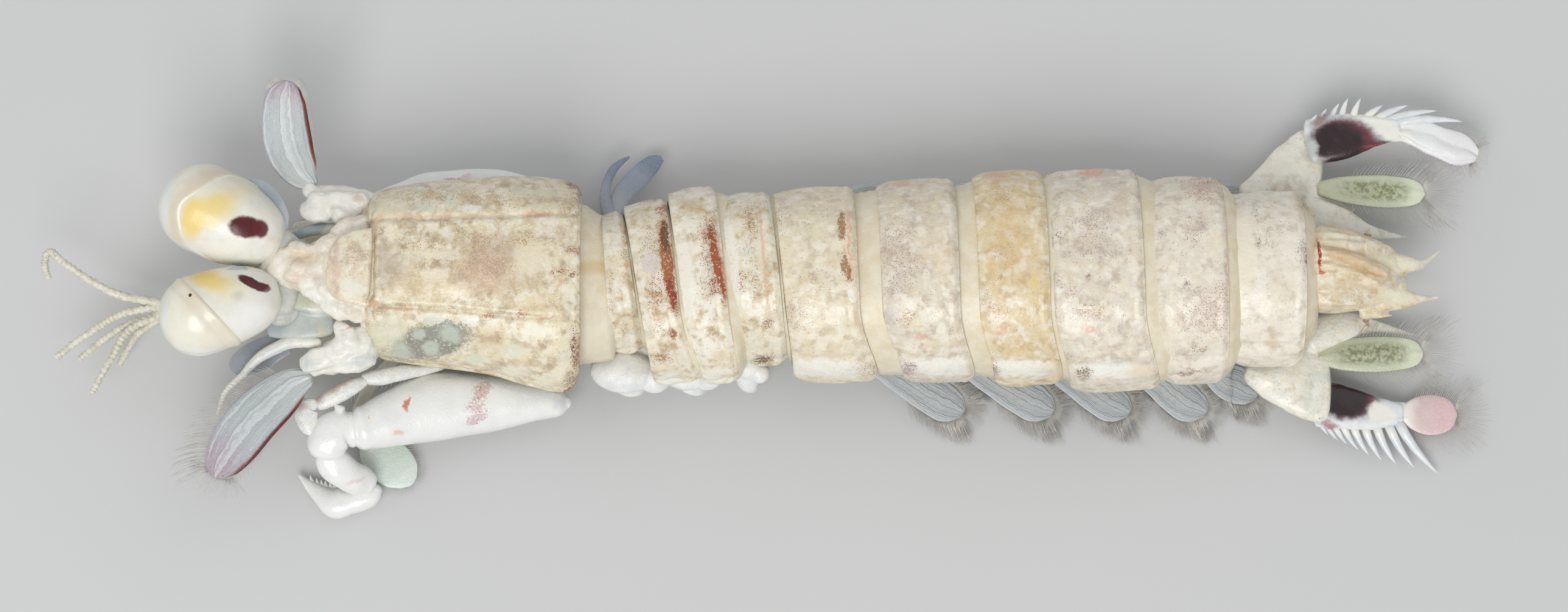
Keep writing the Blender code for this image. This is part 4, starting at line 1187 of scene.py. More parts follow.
    def skin_rows(self) -> list[Row]:
        """The soft skin's outline along the trunk: station, right, left, top, low and belly."""
        rows: list[Row] = [
            (1.9, 1.6, -2.4, 7, 5.2, 4.9), (2.3, 2.8, -3.4, 7.9, 4.6, 4.5), (3.2, 3.9, -4.3, 8.4, 4.5, 4.4),
            (8, 4.6, -4.9, 8.8, 4.3, 4.2), (12, 4.3, -5.2, 8.7, 4.2, 4.1), (13.6, 3.7, -4.9, 7.9, 4, 4),
            (14.8, 3.2, -4.6, 7.45, 3.9, 3.9),
        ]
        for somite in self.table():
            tuck, deeper = 0.36, 0.32
            size = (somite.right - tuck, somite.left + tuck, somite.top - tuck, somite.low + 0.35)
            belly = somite.low + deeper
            rows.append((somite.front[0] + 0.9, *size, belly))
            rows.append((somite.plate_end + 0.1, *size, belly))
        rows[-1] = (52.4, 4.0, -4.1, 7.2, 3.2, 3.2)
        rows.append((53.1, 3.2, -3.3, 6.4, 3.6, 3.6))
        return rows

    def build_skin(self) -> None:
        """One soft skin under every plate, with fine folds where it shows."""
        rows = self.skin_rows()
        start, end = rows[0][0], rows[-1][0]
        count = int((end - start) / self.skin_step)
        rings = []
        for index in range(count + 1):
            station = start + (end - start) * index / count
            _, right, left, top, low, belly = by_station(rows, station)
            half, middle = (right - left) / 2, (right + left) / 2
            seam = self.seam_at(station)
            ring = []
            for step in range(self.skin_turns):
                turn = math.tau * step / self.skin_turns
                out, rise = math.cos(turn), math.sin(turn)
                y = middle + half * math.copysign(abs(out) ** BACK_POWER, out)
                if rise > 0:
                    z = low + (top - low) * rise**BACK_POWER
                else:
                    z = low + (low - belly + 0.35) * rise
                back = seam_shift(y, *seam)
                point = Vector((station + back - MIDDLE_STATION, y - MIDDLE_ACROSS, z))
                centre = Vector((point.x, middle - MIDDLE_ACROSS, (top + low) / 2))
                outward = (point - centre).normalized()
                folds = 0.035 * math.sin(station * 13 + 1.5 * grain(point, 2.0))
                ring.append(point + outward * (folds + 0.06 * grain(point, 1.1)))
            rings.append(ring)
        skin = SkinFinish(
            "joint_skin", (0.74, 0.64, 0.45), (0.79, 0.72, 0.56),
            marks=(
                Mark(985, 440, 60, 13, (0.66, 0.48, 0.24), 0.7, 0.8),
                Mark(1055, 440, 16, 22, (0.74, 0.52, 0.34), 0.6, 0.8), Mark(980, 560, 40, 60, MILK, 0.6, 0.9),
                Mark(1410, 300, 40, 30, SAND, 0.5, 0.9), Mark(1420, 610, 300, 14, MILK, 0.6, 0.8),
            ),
            relief=0.02, dot_share=0.04,
        )
        make_piece("joint_skin", loft(rings), skin.material())

    def seam_at(self, station: float) -> tuple[float, float]:
        """Skew and sweep of the trunk at a station, between its seams."""
        _, skew, sweep = by_station(SEAMS, station)
        return skew, sweep


@dataclass(frozen=True)
class Carapace:
    """The shield over the head and front of the thorax, and the rostral plate hinged to it."""

    rows: tuple[Row, ...] = (
        (1.55, 3.9, -4.1, 8.3, 4), (2.5, 4.6, -4.7, 8.8, 4), (4.9, 5, -5.05, 9.1, 4),
        (8.2, 5.2, -5.5, 9.3, 4), (10.8, 5.3, -6.2, 9.3, 4), (12.1, 5.15, -6.5, 9.2, 4),
        (12.9, 4.9, -6.25, 9.1, 4), (13.3, 4.5, -5.9, 8.9, 4),
    )
    groove_right: tuple[Row, ...] = ((1.9, 2.93), (6.0, 3.02), (12.4, 3.22))
    groove_left: tuple[Row, ...] = ((1.9, -1.75), (6.0, -1.95), (10.4, -2.33), (13.2, -2.45))

    def front(self, point: Vector) -> float:
        """The front margin: set back over the hinge, forward at the side lobes."""
        away = abs(across_of(point) + 0.1)
        return 2.10 - 0.55 * ease(away, 2.2, 3.6)

    def hind(self, point: Vector) -> float:
        """The hind margin."""
        return 13.32 - 0.12 * ease(abs(across_of(point)), 3.5, 5.5)

    def relief(self, point: Vector, from_front: float, to_hind: float) -> float:
        """The surface: two long grooves, a rim at either end and soft swellings."""
        station = point.x + MIDDLE_STATION
        across = (GRID_Y - on_grid(point)[1]) * GRID_STEP
        right = by_station(self.groove_right, station)[1]
        left = by_station(self.groove_left, station)[1]
        lift = -0.11 * bump(across, right, 0.13) + 0.05 * bump(across, right - 0.32, 0.18)
        lift += -0.13 * bump(across, left, 0.11) + 0.05 * bump(across, left + 0.30, 0.18)
        lift += -0.45 * (1 - ease(from_front, -0.1, 0.55)) + 0.05 * bump(from_front, 0.32, 0.12)
        lift += 0.06 * bump(to_hind, 0.16, 0.12) - 0.06 * bump(to_hind, 0.42, 0.10)
        lift += -0.10 * bump(from_front, 0.62, 0.08) * (1 - ease(abs(across), 2.2, 3.0))
        lift += -0.10 * bump(point.z, 4.5, 0.2) + 0.09 * grain(point, 2.2) + 0.03 * grain(point, 0.7)
        return lift

    def build(self) -> None:
        """Make the shield and the rostral plate."""
        shield = Shield(
            rows=self.rows, front=self.front, hind=self.hind, thick=0.3, corner=(1.15, 0.95), free_front=True,
            turns=190, samples=90, relief=self.relief,
        )
        finish = ShellFinish(
            "carapace_shell", self.marks(), (0.62, 0.53, 0.38), (0.79, 0.72, 0.54), (0.52, 0.42, 0.30),
            dot_share=0.34, ragged=22.0, stipple=0.9,
        )
        make_piece("carapace_shield", shield.mesh(), finish.material(), ["carapace"])
        self.build_rostral_plate()

    def marks(self) -> tuple[Mark, ...]:
        """The carapace's marks."""
        grey_dot: Colour = (0.52, 0.57, 0.50)
        return (
            Mark(806, 442, 64, 46, (0.6, 0.41, 0.27), 0.72, 0.9),
            Mark(655, 450, 34, 34, (0.52, 0.44, 0.36), 0.75, 0.9),
            Mark(640, 420, 20, 30, (0.54, 0.45, 0.36), 0.6, 0.9), Mark(805, 430, 46, 40, MAUVE, 0.55, 0.9),
            Mark(790, 395, 40, 14, DRAB, 0.4, 0.9, 12),
            Mark(830, 405, 34, 20, (0.52, 0.4, 0.29), 0.5, 0.9, 10),
            Mark(840, 470, 44, 14, (0.58, 0.44, 0.3), 0.5, 0.9, -6),
            Mark(860, 395, 20, 10, SAND, 0.6, 0.9, 20), Mark(700, 402, 50, 10, DRAB, 0.35, 0.9, -4),
            Mark(735, 430, 44, 4, DRAB, 0.5, 0.8, 4), Mark(735, 421, 38, 7, (0.8, 0.74, 0.6), 0.9, 0.4, 4),
            Mark(690, 425, 30, 9, (0.78, 0.72, 0.58), 0.6),
            Mark(876, 430, 25, 24, (0.8, 0.73, 0.58), 0.95, 0.5), Mark(700, 470, 50, 26, CREAM, 0.6, 0.9),
            Mark(890, 500, 40, 20, CREAM, 0.7, 0.9), Mark(942, 413, 18, 6, RUST, 0.6, 0.7, 10),
            Mark(925, 448, 14, 7, RUST, 0.65), Mark(946, 451, 10, 4, BROWN, 0.8, 0.6),
            Mark(925, 465, 4, 12, (0.6, 0.38, 0.22), 0.5, 0.8), Mark(865, 397, 34, 8, DRAB, 0.5, 0.8, -4),
            Mark(940, 340, 24, 22, DRAB, 0.4, 0.9, 40), Mark(780, 345, 18, 8, WHITE, 0.95, 0.4),
            Mark(780, 527, 19, 10, WHITE, 0.98, 0.35, 4), Mark(742, 334, 18, 8, MINT, 0.85, 0.6),
            Mark(704, 340, 22, 10, MINT, 0.8, 0.6), Mark(662, 345, 22, 14, MILK, 0.7),
            Mark(694, 316, 16, 8, MINT, 0.6), Mark(745, 310, 22, 7, MINT, 0.5),
            Mark(790, 312, 22, 6, MILK, 0.5), Mark(870, 318, 46, 9, (0.76, 0.74, 0.6), 0.75, 0.6, 4),
            Mark(890, 344, 30, 8, MILK, 0.6), Mark(920, 305, 26, 7, CREAM, 0.7, 0.7, 8),
            Mark(912, 328, 56, 20, (0.53, 0.45, 0.31), 0.4, 0.9), Mark(735, 322, 80, 18, DRAB, 0.3, 0.9),
            Mark(830, 330, 60, 12, DRAB, 0.3, 0.9), Mark(636, 335, 22, 18, (0.74, 0.72, 0.56), 0.5, 0.9),
            Mark(710, 562, 74, 32, (0.27, 0.275, 0.235), 0.98, 0.35, -8),
            Mark(745, 545, 40, 24, (0.3, 0.31, 0.28), 0.95, 0.45, 6),
            Mark(660, 590, 30, 8, (0.36, 0.35, 0.28), 0.8, 0.6),
            Mark(648, 545, 30, 26, (0.72, 0.72, 0.58), 0.85, 0.5, -30),
            Mark(616, 565, 22, 28, (0.74, 0.73, 0.56), 0.85, 0.5),
            Mark(664, 578, 18, 15, grey_dot, 0.98, 0.45), Mark(714, 573, 16, 14, grey_dot, 0.98, 0.45),
            Mark(695, 549, 12, 11, grey_dot, 0.95, 0.45), Mark(748, 549, 20, 15, grey_dot, 0.95, 0.5, 20),
            Mark(720, 524, 16, 10, (0.66, 0.7, 0.62), 0.9, 0.5), Mark(786, 590, 20, 11, MINT, 0.8),
            Mark(850, 575, 24, 14, (0.74, 0.76, 0.64), 0.85, 0.6),
            Mark(890, 545, 24, 12, (0.78, 0.76, 0.62), 0.8, 0.6),
            Mark(935, 585, 16, 14, (0.78, 0.76, 0.64), 0.8, 0.6),
            Mark(850, 610, 30, 12, (0.78, 0.76, 0.64), 0.8, 0.6),
            Mark(905, 620, 26, 12, (0.8, 0.78, 0.64), 0.8, 0.6, -20), Mark(820, 600, 16, 8, OLIVE, 0.35, 0.9),
            Mark(860, 595, 30, 6, SAND, 0.6, 0.8), Mark(815, 560, 30, 24, BUFF, 0.5, 0.9),
            Mark(948, 575, 8, 46, BROWN, 0.75, 0.6), Mark(942, 625, 16, 16, BROWN, 0.7, 0.6),
            Mark(955, 590, 4, 50, RUST, 0.75, 0.6), Mark(940, 640, 22, 5, RUST, 0.85, 0.5, -28),
            Mark(944, 306, 16, 7, BLOOD, 0.85, 0.5, 28), Mark(952, 320, 6, 22, BLOOD, 0.7, 0.6),
            Mark(740, 357, 130, 3, (0.72, 0.5, 0.34), 0.6, 0.7, -1), Mark(885, 354, 34, 4, ROSE, 0.6),
            Mark(664, 507, 44, 3, (0.66, 0.38, 0.26), 0.6, 0.7, 4),
            Mark(812, 518, 9, 6, (0.46, 0.22, 0.15), 0.75, 0.6),
            Mark(863, 515, 14, 7, (0.46, 0.2, 0.13), 0.75, 0.6),
            Mark(902, 522, 22, 3, (0.6, 0.32, 0.22), 0.7, 0.6, 2),
            Mark(628, 365, 8, 20, (0.76, 0.58, 0.38), 0.6, 0.7, 30),
            Mark(622, 498, 10, 9, (0.66, 0.36, 0.18), 0.7, 0.6),
            Mark(618, 432, 5, 62, (0.8, 0.7, 0.54), 0.8, 0.5),
        )

    def build_rostral_plate(self) -> None:
        """The small plate in front, hinged to the carapace."""
        run = course(
            (-0.02, 0.35, 8.05, 1.15, 0.16), (0.35, 0.35, 8.25, 1.65, 0.18), (0.9, 0.33, 8.4, 1.9, 0.2),
            (1.5, 0.3, 8.48, 2.05, 0.2), (2.05, 0.28, 8.52, 2.15, 0.18),
        )

        def relief(fraction: float, turn: float, point: Vector) -> float:
            """A low keel down the middle and a rim round the edge."""
            away = abs(across_of(point) + 0.1)
            keel = 0.10 * bump(away, 0.0, 0.5) + 0.16 * (1 - (away / 2.2) ** 2)
            line = -0.05 * bump(fraction, 0.72, 0.04)
            return keel + line + 0.03 * grain(point, 0.5) if math.sin(turn) > 0 else 0.0

        marks = (
            Mark(585, 425, 16, 34, (0.5, 0.33, 0.2), 0.35, 0.9),
            Mark(562, 440, 8, 50, (0.68, 0.52, 0.44), 0.6, 0.8),
            Mark(595, 388, 16, 10, (0.8, 0.77, 0.6), 0.9), Mark(590, 474, 24, 20, WHITE, 0.9),
        )
        finish = ShellFinish(
            "rostral_shell", marks, (0.73, 0.63, 0.48), (0.79, 0.72, 0.58), (0.66, 0.53, 0.4), dot_share=0.22,
            stipple=0.7,
        )
        mesh = run.mesh(56, 36, 0.75, relief)
        make_piece("rostral_shield", mesh, finish.material(), ["rostral_plate"])


@dataclass(frozen=True)
class BladeFinish:
    """A thin blade whose colour turns from root to tip, with a dark edge and fine veins."""

    name: str
    root: Colour
    middle: Colour
    tip: Colour
    edge: Colour = BLOOD
    edge_side: int = 1
    edge_span: tuple[float, float] = (0.2, 0.9)
    edge_width: float = 0.0
    rim: Colour | None = None
    centre: Colour | None = None
    alpha: float = 1.0
    roughness: float = 0.34
    turns: tuple[float, float] = (0.5, 0.7)
    streaks: float = 0.0

    def material(self) -> bpy.types.Material:
        """The finish as a material."""
        paint = Paint(self.name)
        along, aside = paint.tag("along"), paint.tag("aside")
        wander = along + paint.noise(0.7, 1) * 0.16 - 0.08
        colour = paint.mix(paint.ramp(wander, 0.10, self.turns[0] - 0.08), self.root, self.middle)
        colour = paint.mix(paint.ramp(wander, self.turns[0], self.turns[1]), colour, self.tip)
        veins = paint.ramp(paint.noise(0.10, 2, 5), 0.42, 0.66, 0, 0.35)
        pale = tuple(min(channel * 1.2 + 0.02, 0.9) for channel in self.middle)
        colour = paint.mix(veins, colour, pale)
        surface = paint.noise(0.09, 3, 3) + paint.noise(0.35, 5, 2)
        if self.streaks:
            lines = {"W": aside + paint.noise(0.6, 9) * 0.30, "Scale": 5.0, "Detail": 3.0}
            line = paint.ramp(paint.node("TexNoise", {"noise_dimensions": "1D"}, lines, "Fac"), 0.42, 0.62)
            colour = paint.mix(line * self.streaks, colour, (0.74, 0.76, 0.76))
            surface = surface + line
        if self.centre:
            middle = paint.ramp(paint.away(aside), 0.75, 0.25) * paint.ramp(along, 0.1, 0.3)
            middle = middle * paint.ramp(along, 0.75, 0.5) * paint.ramp(paint.noise(0.25, 8, 4), 0.4, 0.6, 0.3, 1)
            colour = paint.mix(middle, colour, self.centre)
        if self.rim:
            colour = paint.mix(paint.ramp(paint.away(aside), 0.90, 0.99, 0, 0.8), colour, self.rim)
        if self.edge_width:
            start, end = self.edge_span
            ragged = aside * self.edge_side + paint.noise(0.25, 4) * 0.06
            stripe = paint.ramp(ragged, 1.0 - self.edge_width, 1.03 - self.edge_width * 0.4)
            stripe = stripe * paint.ramp(along, start, start + 0.15) * paint.ramp(along, end, end - 0.15)
            glow = paint.mix(paint.ramp(along, start, start + 0.3), (0.32, 0.12, 0.04), self.edge)
            colour = paint.mix(stripe, colour, glow)
        paint.put("Base Color", colour)
        paint.raise_surface(surface, 0.03)
        rough = paint.ramp(paint.noise(0.5, 7), 0.3, 0.7, self.roughness - 0.06, self.roughness + 0.1)
        return paint.finish(rough, {"Alpha": self.alpha, "Coat Weight": 0.15})


def run_on_grid(*rows: Row, up: Row = (0, 0, 1)) -> Run:
    """A run whose stops give their place on the plan grid: x, y, height and two half sizes."""
    stops = []
    for x, y, height, half, thick in rows:
        stops.append(((x - GRID_X) * GRID_STEP, (GRID_Y - y) * GRID_STEP, height, half, thick))
    return Run(tuple(stops), up)


def lump(x: float, y: float, height: float, radii: Row, turn: float = 0.0, rough: float = 0.22) -> bmesh.types.BMesh:
    """A soft rounded lump of flesh.

    Args:
        x: its middle on the plan grid.
        y: the same, down the grid.
        height: its middle's height.
        radii: its half sizes along, across and upwards.
        turn: how far it is turned, in degrees.
        rough: how uneven it is, as a share of its smallest size.

    Returns:
        The closed mesh.
    """
    bm = bmesh.new()
    bmesh.ops.create_uvsphere(bm, u_segments=28, v_segments=18, radius=1.0)
    bmesh.ops.scale(bm, vec=radii, verts=bm.verts[:])
    bmesh.ops.rotate(bm, matrix=Matrix.Rotation(math.radians(turn), 3, "Z"), verts=bm.verts[:])
    centre = at((x - GRID_X) * GRID_STEP, (GRID_Y - y) * GRID_STEP, height)
    bmesh.ops.translate(bm, vec=centre, verts=bm.verts[:])
    ripple(bm, min(radii) * rough, 0.55)
    return bm


def joined(first: bmesh.types.BMesh, *others: bmesh.types.BMesh) -> bmesh.types.BMesh:
    """One mesh that holds several closed shapes."""
    for other in others:
        add_mesh(first, other)
    return first


# The head


@dataclass(frozen=True)
class Head:
    """The front of the head, and the flesh between the claws."""

    front: Run = course(
        (-3.75, 0.3, 6.7, 0.5, 0.4), (-3.2, 0.3, 6.6, 1.05, 0.8), (-1.8, 0.2, 6.4, 1.3, 1.3),
        (-0.4, 0.25, 6.3, 1.65, 1.65), (0.6, 0.3, 6.3, 2.35, 1.9), (2.2, 0.2, 6.3, 3.05, 2),
    )
    underside: Run = course(
        (2.2, -0.5, 3.75, 1.4, 0.45), (3.2, -0.6, 3.6, 2.1, 0.65), (6, -0.6, 3.55, 2.5, 0.75),
        (10, -0.7, 3.55, 2.6, 0.75), (12.6, -0.7, 3.6, 2.4, 0.7), (13.2, -0.7, 3.7, 2, 0.5),
    )

    lumps: tuple[Row, ...] = (
        (474, 420, 7.1, 0.55, 0.45, 0.35, 20), (462, 446, 7.05, 0.6, 0.6, 0.35, 0),
        (505, 412, 7.4, 0.9, 0.45, 0.4, -10), (545, 404, 7.5, 0.9, 0.55, 0.5, 30),
        (500, 440, 7.3, 1.1, 0.6, 0.5, 40), (548, 462, 7.4, 0.8, 1.2, 0.5, 20),
        (524, 482, 6.9, 1.1, 0.45, 0.45, -30), (560, 500, 7, 1.05, 0.75, 0.6, -40),
        (594, 510, 6.8, 0.9, 0.7, 0.7, -30), (572, 378, 7.2, 0.95, 0.55, 0.6, 30),
        (600, 372, 7.2, 0.7, 0.55, 0.6, 0),
    )

    def build(self) -> None:
        """Make both."""

        def relief(fraction: float, turn: float, point: Vector) -> float:
            """Lumps, and two furrows across."""
            furrows = 0.12 * bump(fraction, 0.36, 0.025) + 0.10 * bump(fraction, 0.62, 0.03)
            return 0.16 * grain(point, 0.9) + 0.05 * grain(point, 0.3) - furrows

        skin = SkinFinish(
            "head_skin", (0.76, 0.68, 0.55), (0.83, 0.79, 0.69), 0.5, 0.34,
            (
                Mark(505, 425, 22, 18, (0.62, 0.5, 0.36), 0.55, 0.9, 20),
                Mark(520, 455, 26, 14, (0.6, 0.48, 0.42), 0.5, 0.9, 30),
                Mark(492, 462, 14, 14, (0.72, 0.54, 0.47), 0.6, 0.9, 30),
                Mark(490, 450, 20, 12, (0.78, 0.66, 0.48), 0.6, 0.9),
                Mark(466, 448, 12, 6, (0.72, 0.5, 0.28), 0.6, 0.8, 40),
                Mark(556, 500, 30, 24, WHITE, 0.95, 0.6), Mark(520, 478, 24, 14, WHITE, 0.9, 0.6, 30),
                Mark(552, 430, 5, 40, (0.7, 0.52, 0.42), 0.5, 0.8),
                Mark(515, 425, 34, 12, (0.72, 0.56, 0.36), 0.5, 0.9), Mark(462, 445, 20, 26, WHITE, 0.7, 0.8),
            ),
            BROWN, 0.16, 0.03,
        )
        lumps = [lump(x, y, z, (a, b, c), turn) for x, y, z, a, b, c, turn in self.lumps]
        front = melted(joined(self.front.mesh(44, 60, 0.9, relief), *lumps), 0.085, 3)
        ripple(front, 0.07, 0.42)
        ripple(front, 0.035, 0.16)
        make_piece("head", front, skin.material(), ["head_front"])
        flesh = SkinFinish("belly_skin", MILK, CREAM)
        under = self.underside.mesh(40, 60, 0.9, lambda f, turn, point: 0.10 * grain(point, 1.0))
        make_piece("mouth_floor", under, flesh.material(), ["thorax_underside"])


@dataclass(frozen=True)
class Eye:
    """One eye: a swollen stalk and the cornea, a cap over the side that looks out."""

    side: Side
    base: Vector
    centre: Vector
    radius: float
    gaze: Vector
    offset: float
    marks: tuple[Mark, ...]
    cornea_marks: tuple[Mark, ...]
    lip: float
    waves: tuple[Row, ...] = ()
    rings: int = 40
    sides: int = 96

    def build(self) -> None:
        """Make the stalk and the cornea."""
        word = self.side.word
        axis = self.centre - self.base
        reach = axis.length
        profile = []
        for step in range(self.rings + 1):
            distance = -0.3 + (reach + 0.3) * (step / self.rings) ** 1.4
            share = (reach - distance) / (reach + 0.42)
            profile.append((distance, self.radius * 0.985 * math.sqrt(1 - share**2.9)))
        for step in range(1, self.rings):
            turn = math.pi / 2 * step / self.rings
            profile.append((reach + self.radius * 0.97 * math.sin(turn), self.radius * 0.985 * math.cos(turn)))
        bm = turned(self.base, axis, profile, self.sides)
        for vert in bm.verts:
            vert.co += (vert.co - self.centre).normalized() * self.swelling(vert.co)
        stalk = SkinFinish(
            f"eyestalk_{word}_skin", (0.78, 0.75, 0.64), (0.82, 0.81, 0.75), 0.7, 0.28, self.marks, SAND, 0.0,
            0.012, ragged=7,
        )
        make_piece(f"eye_stalk_{word}", bm, stalk.material(), [f"eyestalk_{word}"])
        make_piece(f"eye_cornea_{word}", self.cornea(), self.cornea_finish(), [f"cornea_{word}"])

    def cornea(self) -> bmesh.types.BMesh:
        """The cornea: a cap with a raised rim and, level across it, a band of larger facets."""
        gaze = self.gaze.normalized()
        side = gaze.orthogonal().normalized()
        rise = gaze.cross(side)
        band = (Vector((0, 0, 1)) - gaze * gaze.z).normalized()
        spokes, limits = [], []
        for k in range(self.sides * 2):
            turn = math.pi * k / self.sides
            spoke = side * math.cos(turn) + rise * math.sin(turn)
            limit = math.acos(self.offset / self.radius)
            x, y = on_grid(self.centre + (gaze * math.cos(limit) + spoke * math.sin(limit)) * self.radius)
            wave = sum(size * bump(math.hypot(x - px, y - py), 0, wide) for px, py, wide, size in self.waves)
            spokes.append(spoke)
            limits.append(math.acos((self.offset + wave) / self.radius))
        rings = []
        steps = 60
        for step in range(-1, steps + 1):
            ring = []
            for spoke, limit in zip(spokes, limits):
                turn = limit * (1 - max(step, 0) / steps * 0.995)
                from_edge = (limit - turn) * self.radius
                out = gaze * math.cos(turn) + spoke * math.sin(turn)
                size = 0.035 - 0.12 * (1 - ease(from_edge, 0.0, 0.26)) - 0.12 * (step < 0)
                point = self.centre + out * self.cornea_radius(out)
                lip = self.lip * (1 + 0.5 * grain(point, 0.6))
                size += lip * bump(from_edge, 0.30, 0.15) - lip * 0.6 * bump(from_edge, 0.72, 0.16)
                away = out.dot(band) * self.radius
                rows = 0.010 * math.cos(away * math.tau / 0.07)
                size += (rows - 0.022) * (1 - ease(abs(away), 0.15, 0.30)) * ease(from_edge, 0.7, 1.1)
                ring.append(point + out * (size + self.swelling(point)))
            rings.append(ring)
        return loft(rings)

    def swelling(self, point: Vector) -> float:
        """How far the eye's whole surface stands out at a point."""
        return 0.05 * grain(point, 1.3) + 0.02 * grain(point, 0.5)

    def cornea_radius(self, out: Vector) -> float:
        """How far from the eye's middle the cornea lies in a direction, just clear of the stalk."""
        axis = self.centre - self.base
        back = -out.dot(axis.normalized())
        size = self.radius
        for _ in range(6 if back > 0 else 0):
            depth = back * size * 0.985
            half = self.radius * math.sqrt(1 - (depth / (axis.length + 0.42)) ** 2.9)
            size = math.hypot(half, depth / 0.985)
        return size

    def cornea_finish(self) -> bpy.types.Material:
        """Milky, glossy and finely faceted, beige beside its rim, with painted highlights along its outline from its
        marks.
        """
        paint = Paint(f"cornea_{self.side.word}_glaze")
        base: Socket = paint.mix(paint.ramp(paint.noise(1.6, 1), 0.35, 0.65), (0.83, 0.81, 0.70), (0.80, 0.75, 0.60))
        along = paint.tag("along") + paint.noise(0.8, 2) * 0.04
        shaded = 0.62 if self.side is Side.RIGHT else 0.28
        zone = paint.ramp(along, 0.04, 0.10) * paint.ramp(along, 0.34, 0.14, 0, shaded)
        base = paint.mix(zone, base, (0.64, 0.54, 0.40))
        plan = paint.wandering_plan(8, 0.8)
        # The cornea's marks include pale bluish painted highlights along its outline.
        for mark in self.cornea_marks:
            base = paint.mix(paint.oval(plan, mark), base, mark.colour)
        paint.put("Base Color", base)
        sockets = {"Vector": paint.place(), "Scale": 1 / 0.05, "Randomness": 0.35}
        facets = paint.node("TexVoronoi", {}, sockets, "Distance")
        paint.raise_surface(facets * -1.0, 0.006, 0.6)
        return paint.finish(0.27, {"Coat Weight": 0.22, "Coat Roughness": 0.12})


def eyes() -> tuple[Eye, Eye]:
    """The right and the left eye."""
    maroon: Colour = (0.085, 0.003, 0.006)
    # Pale bluish colour for the painted highlights along the corneas' outlines.
    painted_edge_highlight: Colour = (0.74, 0.79, 0.82)
    return (
        Eye(
            Side.RIGHT, at(-3.1, 1.7, 7.0), at(-7.0, 3.5, 7.4), 2.4, Vector((-0.605, 0.469, -0.643)), -1.2,
            (
                Mark(393, 320, 44, 24, (0.82, 0.74, 0.52), 0.9, 0.9, -24),
                Mark(359, 348, 48, 31, (0.84, 0.7, 0.36), 0.95, 0.6, -22),
                Mark(330, 360, 22, 36, (0.86, 0.64, 0.22), 0.95, 0.5, 8),
                Mark(365, 340, 34, 16, (0.84, 0.64, 0.24), 0.8, 0.8, -24),
                Mark(365, 410, 60, 13, WHITE, 0.95, 0.8),
                Mark(449, 342, 20, 44, (0.78, 0.76, 0.66), 0.8, 0.9),
                Mark(415, 375, 28, 19, maroon, 1, 0.22, 4),
                Mark(439, 378, 13, 15, (0.11, 0.005, 0.01), 0.97, 0.3),
                Mark(459, 394, 12, 6, ROSE, 0.35, 0.9), Mark(463, 382, 12, 22, (0.76, 0.76, 0.72), 0.6, 0.9),
            ),
            (
                # Painted highlights along the right cornea's front and lower outline.
                Mark(281, 347, 9, 80, painted_edge_highlight, 0.7, 0.9, 12),
                Mark(335, 416, 44, 8, painted_edge_highlight, 0.7, 0.9, 24),
            ),
            0.012, ((302, 341, 22, 0.3), (347, 303, 30, -0.3), (400, 287, 14, 0.3), (340, 415, 18, -0.15)),
        ),
        Eye(
            Side.LEFT, at(-3.2, -1.0, 7.0), at(-7.05, -2.2, 7.3), 2.2, Vector((-0.735, -0.678, -0.01)), -0.62,
            (
                Mark(379, 470, 42, 24, (0.83, 0.73, 0.44), 0.9, 0.8, 18),
                Mark(355, 461, 36, 15, (0.85, 0.65, 0.24), 0.95, 0.6, 14),
                Mark(349, 453, 26, 8, (0.8, 0.56, 0.14), 0.8, 0.8, -6),
                Mark(406, 487, 11, 9, (0.56, 0.54, 0.46), 0.6, 0.8, -30),
                Mark(427, 525, 34, 34, (0.85, 0.84, 0.79), 0.95, 0.8),
                Mark(426, 465, 26, 8, maroon, 1, 0.22, 27),
                Mark(445, 473, 12, 8, (0.1, 0.008, 0.006), 1, 0.3, 20),
                Mark(458, 490, 12, 16, (0.7, 0.71, 0.66), 0.6, 0.9),
            ),
            (
                Mark(333, 496, 24, 20, (0.72, 0.62, 0.46), 0.45, 0.9, 30),
                Mark(329.2, 485.7, 3, 3, (0.02, 0.012, 0.008), 1, 0.4),
                # Painted highlights along the left cornea's front and lower outline.
                Mark(285, 520, 9, 60, painted_edge_highlight, 0.6, 0.9),
                Mark(355, 580, 60, 8, (0.84, 0.85, 0.82), 0.7, 0.9, 10),
            ),
            0.05,
        ),
    )


